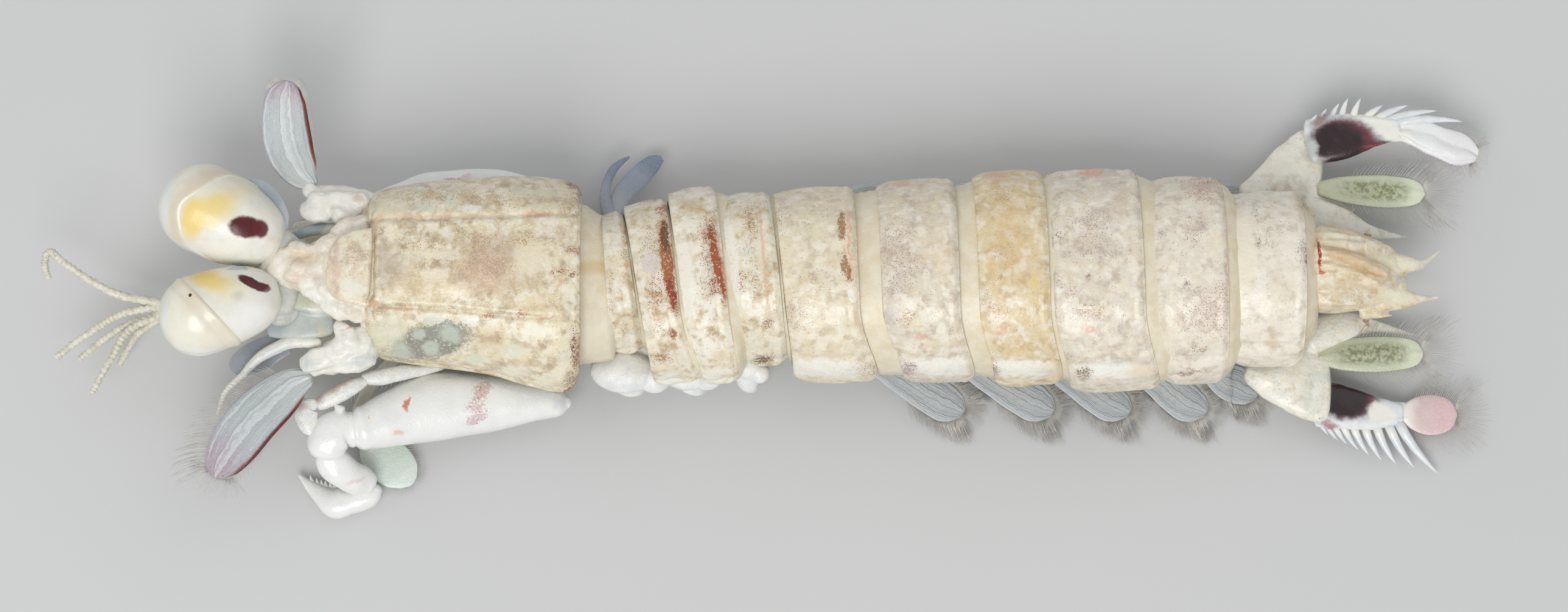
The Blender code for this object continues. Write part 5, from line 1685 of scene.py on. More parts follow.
@dataclass(frozen=True)
class EyeShields:
    """The clear flaps of skin round the foot of each eye, and the soft parts between the eyes."""

    alpha: float = 0.72

    def build(self) -> None:
        """Make the flaps."""
        clear = BladeFinish(
            "eye_flap_skin", (0.50, 0.55, 0.60), (0.40, 0.45, 0.50), (0.52, 0.56, 0.60), rim=(0.80, 0.82, 0.84),
            alpha=self.alpha, roughness=0.22,
        ).material()
        outer = run_on_grid(
            (417, 297, 7.6, 0.1, 0.05), (432, 305, 7.6, 0.3, 0.07), (448, 320, 7.5, 0.42, 0.07),
            (461, 340, 7.4, 0.42, 0.07), (470, 358, 7.2, 0.32, 0.07), (475, 376, 7, 0.1, 0.05),
        )
        flap = run_on_grid(
            (378, 415, 7.3, 0.08, 0.05), (395, 419, 7.4, 0.22, 0.06), (415, 419, 7.4, 0.34, 0.07),
            (432, 414, 7.2, 0.34, 0.06), (446, 405, 7, 0.1, 0.05),
        )
        curl = run_on_grid(
            (370, 449, 8.2, 0.05, 0.05), (390, 444, 8.4, 0.09, 0.07), (408, 442, 8.3, 0.13, 0.08),
            (420, 449, 8.1, 0.15, 0.08), (432, 455, 7.9, 0.13, 0.07), (446, 457, 7.6, 0.06, 0.05),
        )
        sockets = [
            run_on_grid((425, 478, 6.9, 0.9, 0.6), (455, 484, 6.6, 1.1, 0.6), (484, 492, 6.3, 0.9, 0.5)).mesh(
                28, 30,
            ),
            run_on_grid((436, 388, 7.0, 0.9, 0.6), (462, 400, 6.8, 0.9, 0.6), (488, 418, 6.4, 0.8, 0.5)).mesh(
                28, 30,
            ),
            lump(470, 512, 6.0, (0.9, 0.8, 0.4), 30),
        ]
        make_piece("eye_flap_outer", outer.mesh(20, 40, 0.8), clear)
        make_piece("eye_flap_inner", joined(flap.mesh(20, 30, 0.8), curl.mesh(16, 30)), clear)
        skin = SkinFinish(
            "eye_socket_skin", (0.57, 0.58, 0.53), (0.69, 0.69, 0.63), 0.6, 0.3, dot_share=0.0, alpha=0.85
        )
        make_piece("eye_sockets", melted(joined(*sockets), 0.1), skin.material())


# Feelers


@dataclass(frozen=True)
class Antennule:
    """One antennule: its jointed stem and its ringed flagella."""

    side: Side
    stem: tuple[Row, ...]
    flagella: tuple[tuple[Row, ...], ...]
    root_radius: float = 0.235
    ring_length: float = 0.27

    def build(self, bristles: Setae) -> None:
        """Make the feeler, and its bristles in the coat given."""
        word = self.side.word
        sizes = (0.42, 0.47, 0.44, 0.40)
        stem = Run(tuple((*point, size, size) for point, size in zip(self.stem, sizes)))

        def joints(fraction: float, turn: float, point: Vector) -> float:
            """The stem narrows at its joints."""
            return -0.10 * (bump(fraction, 0.33, 0.02) + bump(fraction, 0.68, 0.02)) + 0.03 * grain(point, 0.4)

        bm = stem.mesh(24, 60, 0.9, joints)
        for path in self.flagella:
            last = len(path) - 1
            stops = []
            for index, point in enumerate(path):
                size = self.root_radius * (1 - 0.30 * index / last)
                stops.append((*point, size, size))
            run = Run(tuple(stops))
            length = sum((at(*b) - at(*a)).length for a, b in zip(path, path[1:]))
            rings = max(int(length / self.ring_length), 4)

            def ringed(fraction: float, turn: float, point: Vector, rings: int = rings) -> float:
                """A bead for each ring, rough with fine grit."""
                bead = 0.028 * math.cos(math.tau * rings * fraction)
                return bead + 0.022 * grain(point, 0.14) + 0.03 * grain(point, 0.5)

            add_mesh(bm, run.mesh(14, rings * 5, 1.0, ringed))
            for index in range(rings * 2):
                fraction = (index + 0.5) / (rings * 2)
                place = run.place(fraction)
                turn = bristles.chance.uniform(0, math.tau)
                out = (place.rim(turn) - place.centre).normalized()
                root = place.rim(turn) - out * 0.03
                way = (out + place.along * 0.6) * 0.16 * bristles.vary(0.3)
                bristles.add(root, way, Vector((0, 0, 0)), 0.018, (0.02 + 0.9 * fraction, turn / math.tau))
        skin = SkinFinish(
            f"antennule_{word}_skin", (0.62, 0.58, 0.45), (0.76, 0.73, 0.63), 0.35, 0.42, dot=SAND,
            dot_share=0.25,
        )
        make_piece(f"antennule_{word}_feeler", bm, skin.material(), [f"antennule_{word}"])


def antennules() -> tuple[Antennule, Antennule]:
    """The right and the left antennule."""
    return (
        Antennule(
            Side.RIGHT,
            ((-1.0, 0.5, 4.2), (-3.5, 0.4, 4.3), (-7.0, -0.9, 4.2), (-9.6, -1.75, 4.2)),
            (
                ((-9.2, -1.6, 4.2), (-11.6, -1.2, 4.6), (-13.3, -0.4, 4.8), (-14.8, 0.6, 4.8),
                 (-15.6, 1.2, 4.7), (-15.9, 0.6, 4.5), (-15.7, -0.2, 4.3)),
                ((-9.2, -1.7, 4.2), (-11.6, -2.15, 4.0), (-13.3, -3.1, 3.8), (-15.2, -4.5, 3.5)),
            ),
        ),
        Antennule(
            Side.LEFT,
            ((-1.0, -0.7, 4.1), (-3.5, -1.0, 3.9), (-7.0, -1.8, 3.6), (-9.8, -2.25, 3.5)),
            (
                ((-9.4, -2.2, 3.5), (-11.4, -2.75, 3.1), (-12.7, -3.5, 2.7), (-14.1, -4.6, 2.3)),
                ((-9.4, -2.2, 3.5), (-11.3, -3.0, 3.3), (-12.3, -4.6, 3.2), (-13.3, -6.4, 3.0)),
                ((-9.4, -2.3, 3.5), (-10.8, -3.1, 2.7), (-11.5, -4.0, 1.9), (-12.1, -4.9, 1.2)),
            ),
        ),
    )


@dataclass(frozen=True)
class Antenna:
    """One antenna: its blocky stem, a flagellum and the blade on its outer side."""

    side: Side
    stem: Run
    blocks: tuple[tuple[float, float, float, Row, float], ...]
    plates: tuple[Run, ...]
    flagellum: tuple[Row, ...]
    blade: Run
    edge_side: int
    creases: float

    def build(self, bristles: Setae) -> None:
        """Make all three, and the blade's fringe in the coat given."""
        word = self.side.word
        stem = self.stem.mesh(32, 40, 0.85, lambda f, turn, point: 0.08 * grain(point, 0.6))
        blocks = [lump(*block) for block in self.blocks]
        path = Run(self.flagellum)

        def segments(fraction: float, turn: float, point: Vector) -> float:
            """Long joints, thick at first and ringed towards the tip."""
            return 0.02 * grain(point, 0.3) + 0.012 * math.cos(math.tau * 34 * fraction) * ease(fraction, 0.4, 0.6)

        glass: Colour = (0.50, 0.55, 0.56)
        shell = SkinFinish(
            f"antenna_{word}_skin", (0.78, 0.75, 0.67), WHITE, 0.6, 0.26, dot=SAND, dot_share=0.06,
            marks=(
                Mark(590, 530, 26, 3, (0.55, 0.28, 0.2), 0.7, 0.8, -32),
                Mark(592, 328, 9, 7, (0.62, 0.4, 0.24), 0.6, 0.8),
                Mark(548, 342, 5, 5, (0.66, 0.46, 0.3), 0.5, 0.8), Mark(505, 330, 12, 16, glass, 0.55, 0.9),
                Mark(600, 592, 26, 12, glass, 0.6, 0.9, -20), Mark(512, 596, 20, 12, glass, 0.5, 0.9),
                Mark(508, 380, 36, 12, (0.36, 0.43, 0.46), 0.9, 0.3, -16),
                Mark(440, 590, 60, 14, glass, 0.5, 0.6, -28),
            ),
        )
        base = melted(joined(stem, *blocks, *(run.mesh(24, 20, 0.6) for run in self.plates)), 0.085, 2)
        ripple(base, 0.06, 0.5)
        ripple(base, 0.025, 0.16)
        body = joined(base, path.mesh(14, 140, 1.0, segments))
        make_piece(f"antenna_{word}_stem", body, shell.material(), [f"antenna_{word}"])

        def creased(fraction: float, turn: float, point: Vector) -> float:
            """A keel, and wavy creases along the blade."""
            across = math.cos(turn)
            waves = math.sin(across * 13 + 2.6 * grain(point, 1.0)) * self.creases
            keel = 0.07 * bump(across, 0.05 + 0.1 * grain(point, 2.0), 0.09)
            face = 1 if math.sin(turn) > 0 else -1
            return (keel + waves * ease(1 - abs(across), 0.05, 0.3)) * face * 0.6

        finish = BladeFinish(
            f"blade_{word}_film", (0.52, 0.56, 0.53), (0.42, 0.46, 0.46), (0.42, 0.31, 0.36),
            (0.13, 0.012, 0.012), self.edge_side, (0.06, 0.97), 0.26, (0.4, 0.38, 0.5), None, 0.98, 0.3,
            (0.52, 0.86), 0.5,
        )
        make_piece(
            f"antenna_{word}_blade", self.blade.mesh(56, 80, 0.8, creased), finish.material(),
            [f"antennal_scale_{word}"],
        )
        inner = math.pi if self.edge_side > 0 else 0.0
        outer = math.pi - inner
        if self.side is Side.LEFT:
            bristles.fringe(self.blade, inner, (0.22, 0.96), (1.1, 1.7), (0.25, 0.6), 74, 0.028)
            bristles.fringe(self.blade, outer, (0.55, 0.97), (0.25, 0.7), (0.6, 0.9), 40, 0.020)
            bristles.fan(self.blade, 1.1, 1.3, 34, 0.024, 0.0, 0.86)
        else:
            bristles.fringe(self.blade, outer, (0.12, 0.96), (0.30, 0.42), (0.6, 0.7), 80, 0.020)
            bristles.fringe(self.blade, inner, (0.30, 0.97), (0.22, 0.40), (0.7, 0.8), 70, 0.020)
            bristles.fan(self.blade, 0.42, 1.3, 36, 0.020, 0.0, 0.88)


def antennae() -> tuple[Antenna, Antenna]:
    """The right and the left antenna."""
    return (
        Antenna(
            Side.RIGHT,
            course(
                (1.9, 3.6, 5.6, 0.8, 0.75), (0.9, 3.75, 5.6, 0.95, 0.9), (-0.4, 4, 5.5, 0.8, 0.75),
                (-1.4, 4.25, 5.5, 0.55, 0.45),
            ),
            ((570, 358, 6.5, (0.95, 0.62, 0.5), -35.0), (590, 332, 6.4, (0.7, 0.5, 0.5), 0.0)),
            (
                run_on_grid(
                    (598, 340, 6.1, 0.75, 0.6), (560, 337, 6.2, 0.72, 0.55), (522, 332, 6, 0.55, 0.45),
                    (512, 330, 6, 0.5, 0.4),
                ),
                run_on_grid((540, 352, 6.2, 0.5, 0.4), (515, 348, 6, 0.62, 0.4), (499, 342, 5.8, 0.35, 0.3)),
                run_on_grid(
                    (528, 330, 5.9, 0.5, 0.4), (512, 316, 5.8, 0.45, 0.34), (504, 308, 5.7, 0.36, 0.26),
                ),
            ),
            (
                (0.4, 2.5, 5.7, 0.2, 0.2), (-0.4, 2.45, 5.7, 0.3, 0.27), (-1.35, 2.35, 5.6, 0.32, 0.28),
                (-2.5, 2.05, 5.4, 0.27, 0.24), (-4, 2.2, 4.7, 0.17, 0.16), (-6, 2.9, 4.2, 0.14, 0.13),
                (-7.6, 3.6, 4.1, 0.1, 0.1),
            ),
            course(
                (-1.35, 4.85, 5.6, 0.42, 0.3), (-1.9, 5.45, 5.8, 0.95, 0.2), (-2.5, 6.6, 6.3, 1.28, 0.14),
                (-2.75, 8, 6.9, 1.3, 0.12), (-2.75, 9.3, 7.5, 1.12, 0.11), (-2.65, 10, 7.8, 0.8, 0.1),
                (-2.6, 10.4, 7.95, 0.3, 0.06),
            ),
            1, 0.035,
        ),
        Antenna(
            Side.LEFT,
            course(
                (1.9, -4, 5.5, 0.8, 0.75), (0.9, -4.3, 5.4, 0.95, 0.9), (-0.3, -4.6, 5.3, 0.85, 0.75),
                (-1.3, -5, 5.3, 0.55, 0.45),
            ),
            ((576, 552, 6.4, (1.05, 0.6, 0.5), -48.0), (600, 585, 5.8, (0.7, 0.6, 0.5), -20.0)),
            (
                run_on_grid(
                    (604, 556, 6, 0.75, 0.55), (576, 566, 6.1, 0.7, 0.5), (548, 584, 5.9, 0.62, 0.45),
                    (530, 590, 5.8, 0.5, 0.4),
                ),
                run_on_grid(
                    (614, 585, 5.5, 0.5, 0.35), (588, 596, 5.6, 0.55, 0.35), (555, 600, 5.5, 0.42, 0.3),
                ),
                run_on_grid(
                    (560, 578, 6.1, 0.45, 0.4), (528, 590, 5.9, 0.62, 0.42), (505, 600, 5.6, 0.45, 0.3),
                ),
            ),
            (
                (-0.8, -3.75, 5.7, 0.26, 0.24), (-2.2, -3.7, 5.5, 0.34, 0.3), (-3.2, -4.05, 5.3, 0.34, 0.3),
                (-4.2, -4.65, 5.1, 0.28, 0.25), (-5, -5.5, 4.8, 0.19, 0.18), (-5.9, -6.4, 4.5, 0.14, 0.13),
                (-6.3, -7.6, 4.2, 0.1, 0.1),
            ),
            course(
                (-1.35, -5.65, 5.3, 0.5, 0.3), (-2.1, -5.95, 5.3, 0.95, 0.2), (-3.1, -6.75, 5.3, 1.28, 0.15),
                (-4.3, -7.9, 5.2, 1.4, 0.12), (-5.3, -9.2, 5, 1.34, 0.11), (-6, -10.3, 4.8, 0.98, 0.1),
                (-6.3, -10.95, 4.7, 0.35, 0.06),
            ),
            -1, 0.075,
        ),
    )


@dataclass(frozen=True)
class AntennaPlates:
    """The clear plates at the foot of the left antenna, which fill the space behind the left eye."""

    def build(self) -> None:
        """Make the plates."""
        upper = run_on_grid(
            (550, 500, 6.0, 0.5, 0.3), (520, 497, 6.2, 0.62, 0.3), (495, 494, 6.2, 0.55, 0.28),
            (476, 492, 6.1, 0.4, 0.2),
        )
        broad = run_on_grid(
            (548, 530, 5.5, 0.75, 0.4), (520, 530, 5.6, 0.95, 0.42), (492, 530, 5.5, 1, 0.4),
            (468, 530, 5.3, 0.95, 0.32), (446, 532, 5, 0.75, 0.22),
        )
        lower = run_on_grid(
            (478, 566, 4.9, 0.5, 0.1), (450, 573, 4.8, 0.8, 0.1), (420, 588, 4.6, 0.9, 0.09),
            (396, 600, 4.4, 0.7, 0.08), (386, 610, 4.3, 0.3, 0.06),
        )
        film = SkinFinish(
            "antenna_plate_film", (0.52, 0.56, 0.52), (0.6, 0.63, 0.6), 0.7, 0.22,
            (
                Mark(495, 496, 34, 12, (0.62, 0.62, 0.42), 0.8, 0.8, 8),
                Mark(532, 545, 7, 16, (0.66, 0.62, 0.4), 0.7, 0.7), Mark(528, 508, 14, 12, WHITE, 0.8, 0.7),
                Mark(455, 530, 22, 26, (0.46, 0.52, 0.56), 0.7, 0.8),
            ),
            SAND, 0.25, 0.02, 0.92,
        )
        body = melted(joined(upper.mesh(24, 30, 0.7), broad.mesh(32, 50, 0.6)), 0.09, 2)
        make_piece("antenna_plate_broad", body, film.material())
        dim = BladeFinish(
            "antenna_plate_dim", (0.36, 0.4, 0.44), (0.28, 0.31, 0.35), (0.36, 0.39, 0.43),
            rim=(0.7, 0.72, 0.74), alpha=0.62, roughness=0.24,
        )
        make_piece("antenna_plate_lower", lower.mesh(32, 50, 0.8), dim.material())


# Claws, mouth limbs and legs


@dataclass(frozen=True)
class ClawFinish:
    """White porcelain shell, finely pebbled, with a few red marks."""

    name: str
    marks: tuple[Mark, ...] = ()

    def material(self) -> bpy.types.Material:
        """The finish as a material."""
        paint = Paint(self.name)
        colour: Socket = paint.mix(paint.ramp(paint.noise(1.1, 1), 0.35, 0.65), (0.84, 0.84, 0.80), (0.80, 0.80, 0.77))
        pebbles = paint.specks(0.16, 0.06, 0.75, 2)
        colour = paint.mix(pebbles * 0.2, colour, (0.90, 0.91, 0.90))
        plan = paint.wandering_plan(20, 0.5)
        dots, fine = paint.specks(0.17, 0.05, 0.8, 5), paint.noise(0.12, 8, 3)
        for mark in self.marks:
            mask = paint.oval(plan, mark)
            wash = (dots * 0.5 + 0.5) * paint.ramp(fine + mask * 0.45, 0.66, 0.90) if mark.dotted else mask
            wash = wash * paint.ramp(mask, 0.0, 0.25)
            colour = paint.mix(wash, colour, mark.colour)
        paint.put("Base Color", colour)
        paint.raise_surface(pebbles + paint.noise(0.5, 4, 2), 0.006)
        return paint.finish(paint.ramp(paint.noise(0.6, 6), 0.3, 0.7, 0.20, 0.34), {"Coat Weight": 0.35})


@dataclass(frozen=True)
class LeftClaw:
    """The left claw, let down beside the body: merus, carpus, propodus and toothed dactylus."""

    merus: Run = course(
        (12.45, -7, 2.2, 0.35, 0.35), (12, -7, 2.2, 0.75, 0.7), (10.6, -6.95, 2.3, 1.15, 1.05),
        (8.2, -7, 2.4, 1.6, 1.4), (5.2, -7.25, 2.7, 1.85, 1.5), (3.2, -7.8, 3.1, 1.55, 1.35),
        (1.7, -8.3, 3.5, 1.2, 1.1), (0.75, -8.45, 3.7, 0.95, 0.85),
    )
    hip: Run = course((11.6, -6.6, 2.2, 0.5, 0.5), (11.4, -5.0, 2.1, 0.55, 0.5), (11.2, -3.3, 2.4, 0.45, 0.4))
    carpus: Run = course((0.95, -8.35, 3.75, 0.75, 0.7), (0.2, -8.40, 3.8, 1.08, 0.88),
            (-0.35, -8.95, 3.8, 1.18, 0.85), (-0.48, -9.65, 3.65, 1.02, 0.70))
    propodus: Run = course(
        (-0.36, -9.75, 3.3, 0.83, 0.62), (0, -10.38, 2.9, 0.94, 0.76), (0.58, -10.86, 2.4, 0.88, 0.74),
        (1.22, -11.2, 1.85, 0.84, 0.68), (1.7, -11.45, 1.5, 0.62, 0.5),
    )
    dactylus: Run = course(
        (2.1, -11.75, 0.95, 0.35, 0.35), (1.65, -12.1, 0.85, 0.62, 0.62), (0.7, -12.4, 0.72, 0.7, 0.68),
        (-0.1, -12.5, 0.7, 0.86, 0.66), (-0.75, -12.2, 0.66, 0.6, 0.5), (-1.4, -11.75, 0.56, 0.38, 0.3),
        (-2.2, -11, 0.45, 0.06, 0.06),
    )

    def build(self) -> None:
        """Make the claw's joints."""
        marks = (
            Mark(671, 664, 5, 13, (0.62, 0.2, 0.11), 0.95, 0.5, 8),
            Mark(792, 642, 17, 26, (0.44, 0.17, 0.13), 0.85, 0.8, 25),
            Mark(782, 668, 26, 18, (0.5, 0.22, 0.22), 0.7, 0.9),
            Mark(784, 688, 28, 12, (0.5, 0.2, 0.25), 0.9, 0.7, -25),
            Mark(657, 711, 10, 5, (0.74, 0.44, 0.3), 0.7, 0.8),
            Mark(610, 685, 2.5, 4, (0.74, 0.46, 0.24), 0.8, 0.6),
            Mark(918, 664, 12, 14, (0.62, 0.58, 0.62), 0.5, 0.9),
            Mark(586, 791, 22, 4, (0.7, 0.56, 0.56), 0.6, 0.8, -18),
            Mark(850, 625, 70, 18, (0.8, 0.79, 0.73), 0.6, 0.9, 8),
        )
        shell = ClawFinish("claw_left_porcelain", marks).material()

        def long(fraction: float, turn: float, point: Vector) -> float:
            """A shallow furrow below, where the next joint folds in, and a collar at the far end."""
            furrow = 0.35 * bump(math.sin(turn), -1.0, 0.25) * ease(fraction, 0.1, 0.35)
            collar = 0.07 * bump(fraction, 0.90, 0.03) - 0.08 * bump(fraction, 0.945, 0.018)
            return collar - furrow + 0.06 * grain(point, 1.5) + 0.010 * grain(point, 0.2)

        def short(fraction: float, turn: float, point: Vector) -> float:
            """Soft swellings."""
            return 0.07 * grain(point, 0.9) + 0.008 * grain(point, 0.2)

        hip = self.hip.mesh(28, 30, 1.0, short)
        merus = joined(self.merus.mesh(60, 130, 0.92, long), hip)
        make_piece("left_claw_merus", merus, shell, ["claw_left_merus"])
        spur = cone(at(0.45, -7.45, 4.3), at(-0.1, -7.05, 4.3), 0.28, 12)
        hook = cone(at(-1.0, -8.9, 3.9), at(-1.25, -9.35, 3.7), 0.30, 12)
        carpus = melted(joined(self.carpus.mesh(44, 50, 0.9, short), spur, hook), 0.075, 3)
        make_piece("left_claw_carpus", carpus, shell, ["claw_left_carpus"])
        propodus = self.propodus.mesh(44, 60, 0.9, short)
        make_piece("left_claw_propodus", propodus, shell, ["claw_left_propodus"])
        teeth = []
        for step in range(6):
            place = self.dactylus.place(0.58 + 0.060 * step)
            inward = place.side * math.copysign(1, place.side.y)
            root = place.centre + inward * place.half * 0.88
            tip = root + Vector((-0.30, 0.95, 0.0)).normalized() * (0.56 - 0.03 * step)
            teeth.append(cone(root, tip, 0.17 - 0.01 * step, 10, 0.08))
        make_piece(
            "left_claw_dactylus", joined(self.dactylus.mesh(40, 90, 0.9, short), *teeth), shell,
            ["claw_left_dactylus"],
        )


@dataclass(frozen=True)
class RightClaw:
    """The right claw, folded below the carapace."""

    merus: Run = course(
        (12, 3.9, 2.7, 0.35, 0.35), (11.5, 3.95, 2.7, 0.8, 0.65), (10.4, 4.1, 2.7, 1.2, 0.95),
        (8.2, 4.25, 2.7, 1.5, 1.15), (5.2, 4.05, 2.7, 1.6, 1.15), (3.4, 3.7, 2.7, 1.35, 1.05),
        (1.8, 3.3, 2.7, 1.05, 0.9), (1, 3.2, 2.7, 0.8, 0.7),
    )
    carpus: Run = course(
        (0.98, 3.1, 2.6, 0.7, 0.65), (0.2, 3, 2.4, 0.95, 0.85), (-0.3, 2.9, 1.9, 0.9, 0.85),
        (-0.4, 2.9, 1.2, 0.65, 0.6), up=(0.6, 0, 0.8),
    )
    propodus: Run = course(
        (0.3, 3.2, 0.88, 0.7, 0.55), (1.2, 3.4, 0.85, 0.9, 0.62), (4.2, 3.7, 0.85, 1.05, 0.65),
        (7.2, 3.6, 0.85, 0.85, 0.62), (8.8, 3.4, 0.85, 0.6, 0.5),
    )
    dactylus: Run = course(
        (9.4, 2.7, 0.75, 0.35, 0.35), (8.9, 2.2, 0.7, 0.6, 0.55), (7.8, 2, 0.62, 0.55, 0.5),
        (6, 1.9, 0.55, 0.35, 0.35), (4, 1.8, 0.45, 0.08, 0.08),
    )

    def build(self) -> None:
        """Make the claw's joints."""
        marks = (
            Mark(737, 295, 18, 5, (0.5, 0.06, 0.16), 0.95, 0.5, -8),
            Mark(760, 290, 14, 5, (0.66, 0.4, 0.42), 0.6, 0.9, -8),
            Mark(820, 288, 60, 3, (0.72, 0.74, 0.72), 0.6, 0.9),
        )
        shell = ClawFinish("claw_right_porcelain", marks).material()

        def swell(fraction: float, turn: float, point: Vector) -> float:
            """Soft swellings."""
            return 0.05 * grain(point, 1.2) + 0.008 * grain(point, 0.2)

        parts = {"merus": self.merus, "carpus": self.carpus, "propodus": self.propodus, "dactylus": self.dactylus}
        for word, run in parts.items():
            bm = run.mesh(44, 70, 0.92, swell)
            if word == "dactylus":
                for step in range(5):
                    root = at(7.0 - 0.6 * step, 2.25, 0.55)
                    add_mesh(bm, cone(root, at(6.75 - 0.6 * step, 2.65, 0.5), 0.14))
            make_piece(f"right_claw_{word}", bm, shell, [f"claw_right_{word}"])


@dataclass(frozen=True)
class Maxillipeds:
    """The mouth limbs: a long slender first pair, and three pairs that end in round paddles."""

    def table(self) -> dict[tuple[int, Side], tuple[Row, ...]]:
        """Each limb's stops."""
        left, right = Side.LEFT, Side.RIGHT
        return {
            (1, right): (
                (5.0, 0.2, 2.4, 0.27, 0.25), (3.2, 0.4, 2.45, 0.30, 0.25), (1.4, 0.8, 2.8, 0.34, 0.30),
                (0.3, 1.2, 3.6, 0.38, 0.32), (-0.6, 1.7, 3.9, 0.32, 0.28), (-1.2, 2.1, 3.8, 0.55, 0.28),
                (-1.9, 2.4, 3.6, 0.55, 0.26), (-2.4, 2.6, 3.5, 0.22, 0.2),
            ),
            (3, right): (
                (9.0, 0.5, 2.4, 0.30, 0.28), (6.2, 0.9, 1.9, 0.32, 0.30), (3.6, 1.0, 1.5, 0.32, 0.28),
                (2.2, 1.0, 1.2, 0.36, 0.27), (1.2, 0.9, 0.9, 0.75, 0.20), (0.2, 0.8, 0.65, 0.75, 0.20),
                (-0.6, 0.7, 0.5, 0.25, 0.12),
            ),
            (4, left): (
                (10.6, -1.6, 2.4, 0.30, 0.28), (8.4, -2.6, 1.6, 0.32, 0.30), (6.0, -2.3, 0.9, 0.32, 0.28),
                (4.8, -2.2, 0.6, 0.80, 0.20), (3.8, -2.2, 0.45, 0.75, 0.20), (3.0, -2.2, 0.4, 0.25, 0.12),
            ),
            (4, right): (
                (10.6, 0.2, 2.4, 0.30, 0.28), (8.2, 0.3, 1.5, 0.32, 0.30), (6.4, -0.2, 0.9, 0.32, 0.28),
                (5.2, -0.4, 0.6, 0.75, 0.20), (4.2, -0.4, 0.45, 0.70, 0.20), (3.4, -0.4, 0.4, 0.25, 0.12),
            ),
            (5, left): (
                (12.2, -1.9, 2.4, 0.30, 0.28), (11.6, -3.6, 1.5, 0.32, 0.30), (10.4, -4.2, 0.8, 0.32, 0.28),
                (9.2, -4.0, 0.5, 0.75, 0.20), (8.2, -3.6, 0.42, 0.70, 0.20), (7.4, -3.3, 0.4, 0.25, 0.12),
            ),
            (5, right): (
                (12.2, 0.2, 2.4, 0.30, 0.28), (11.8, 1.6, 1.5, 0.32, 0.30), (11.4, 1.8, 0.8, 0.32, 0.28),
                (10.8, 1.2, 0.5, 0.70, 0.20), (10.0, 0.6, 0.42, 0.65, 0.20), (9.3, 0.2, 0.4, 0.25, 0.12),
            ),
        }

    def build(self, bristles: Setae) -> None:
        """Make every limb, and their bristles in the coat given."""
        flesh = SkinFinish("mouth_limb_skin", MILK, (0.74, 0.72, 0.66), 0.5, 0.3, dot=DRAB, dot_share=0.2)
        plain = flesh.material()

        def jointed(fraction: float, turn: float, point: Vector) -> float:
            """Narrow at the joints."""
            pinch = sum(bump(fraction, joint, 0.015) for joint in (0.28, 0.52))
            return -0.06 * pinch + 0.03 * grain(point, 0.5)

        for (number, side), stops in self.table().items():
            run = Run(stops)
            name = f"maxilliped_{number}_{side.word}"
            make_piece(f"{name}_limb", run.mesh(24, 70, 0.9, jointed), plain, [name])
            bristles.fan(run, 0.45, 1.5, 16, 0.02, 0.0, 0.9)
        self.build_first_left(bristles)
        self.build_green_paddle(bristles)

    def build_first_left(self, bristles: Setae) -> None:
        """The left first limb, which shows beside the head."""
        parts = (
            run_on_grid(
                (748, 592, 3.2, 0.27, 0.27), (700, 606, 3.5, 0.34, 0.32), (660, 613, 3.8, 0.42, 0.38),
                (625, 620, 4, 0.46, 0.4), (600, 622, 4.1, 0.3, 0.28),
            ),
            run_on_grid(
                (600, 626, 4.15, 0.28, 0.26), (580, 636, 4.25, 0.46, 0.4), (555, 650, 4.3, 0.48, 0.4),
                (532, 662, 4.3, 0.4, 0.34), (524, 664, 4.3, 0.24, 0.22),
            ),
            run_on_grid(
                (522, 662, 4.3, 0.26, 0.22), (508, 670, 4.3, 0.58, 0.32), (507, 686, 4.25, 0.62, 0.32),
                (514, 702, 4.2, 0.5, 0.26), (522, 710, 4.15, 0.2, 0.14),
            ),
        )
        marks = (
            Mark(560, 634, 34, 6, (0.46, 0.24, 0.18), 0.6, 0.8, -30),
            Mark(530, 655, 8, 8, (0.42, 0.22, 0.18), 0.6, 0.8),
            Mark(500, 668, 10, 8, (0.5, 0.3, 0.24), 0.6, 0.8, -30),
            Mark(700, 598, 34, 4, (0.52, 0.38, 0.24), 0.6, 0.8, -8),
        )
        skin = SkinFinish(
            "first_mouth_limb_skin", (0.74, 0.74, 0.73), WHITE, 0.3, 0.26, marks, (0.34, 0.28, 0.28), 0.42
        ).material()
        meshes = [part.mesh(28, 40, 0.92, lambda f, turn, point: 0.03 * grain(point, 0.4)) for part in parts]
        make_piece("maxilliped_1_left_limb", joined(*meshes), skin, ["maxilliped_1_left"])
        for part, length in ((parts[0], 0.45), (parts[1], 0.35), (parts[2], 0.30)):
            for turn in (0.0, math.pi):
                bristles.fringe(part, turn, (0.15, 0.95), (length, length * 0.7), (0.2, 0.5), 16, 0.016)
        bristles.fan(parts[2], 0.5, 1.4, 16, 0.018, 0.0, 0.8)

    def build_green_paddle(self, bristles: Setae) -> None:
        """The left third limb, whose pale green paddle shows below the claw."""
        arm = course((9.0, -1.6, 2.4, 0.30, 0.28), (5.6, -2.9, 1.8, 0.34, 0.30), (2.6, -5.0, 1.2, 0.34, 0.30),
                (1.0, -7.4, 0.95, 0.32, 0.28), (1.35, -8.9, 0.85, 0.40, 0.27), (1.9, -9.5, 0.75, 0.55, 0.24))
        paddle = run_on_grid(
            (598, 728, 0.8, 0.45, 0.12), (612, 744, 0.78, 0.98, 0.12), (636, 762, 0.66, 1.22, 0.12),
            (656, 780, 0.55, 1.05, 0.12), (667, 792, 0.48, 0.62, 0.1), (672, 798, 0.45, 0.2, 0.06),
        )
        skin = SkinFinish("third_mouth_limb_skin", MILK, (0.70, 0.70, 0.62), 0.4, 0.32)
        make_piece(
            "maxilliped_3_left_limb", arm.mesh(24, 60), skin.material(), ["maxilliped_3_left"]
        )

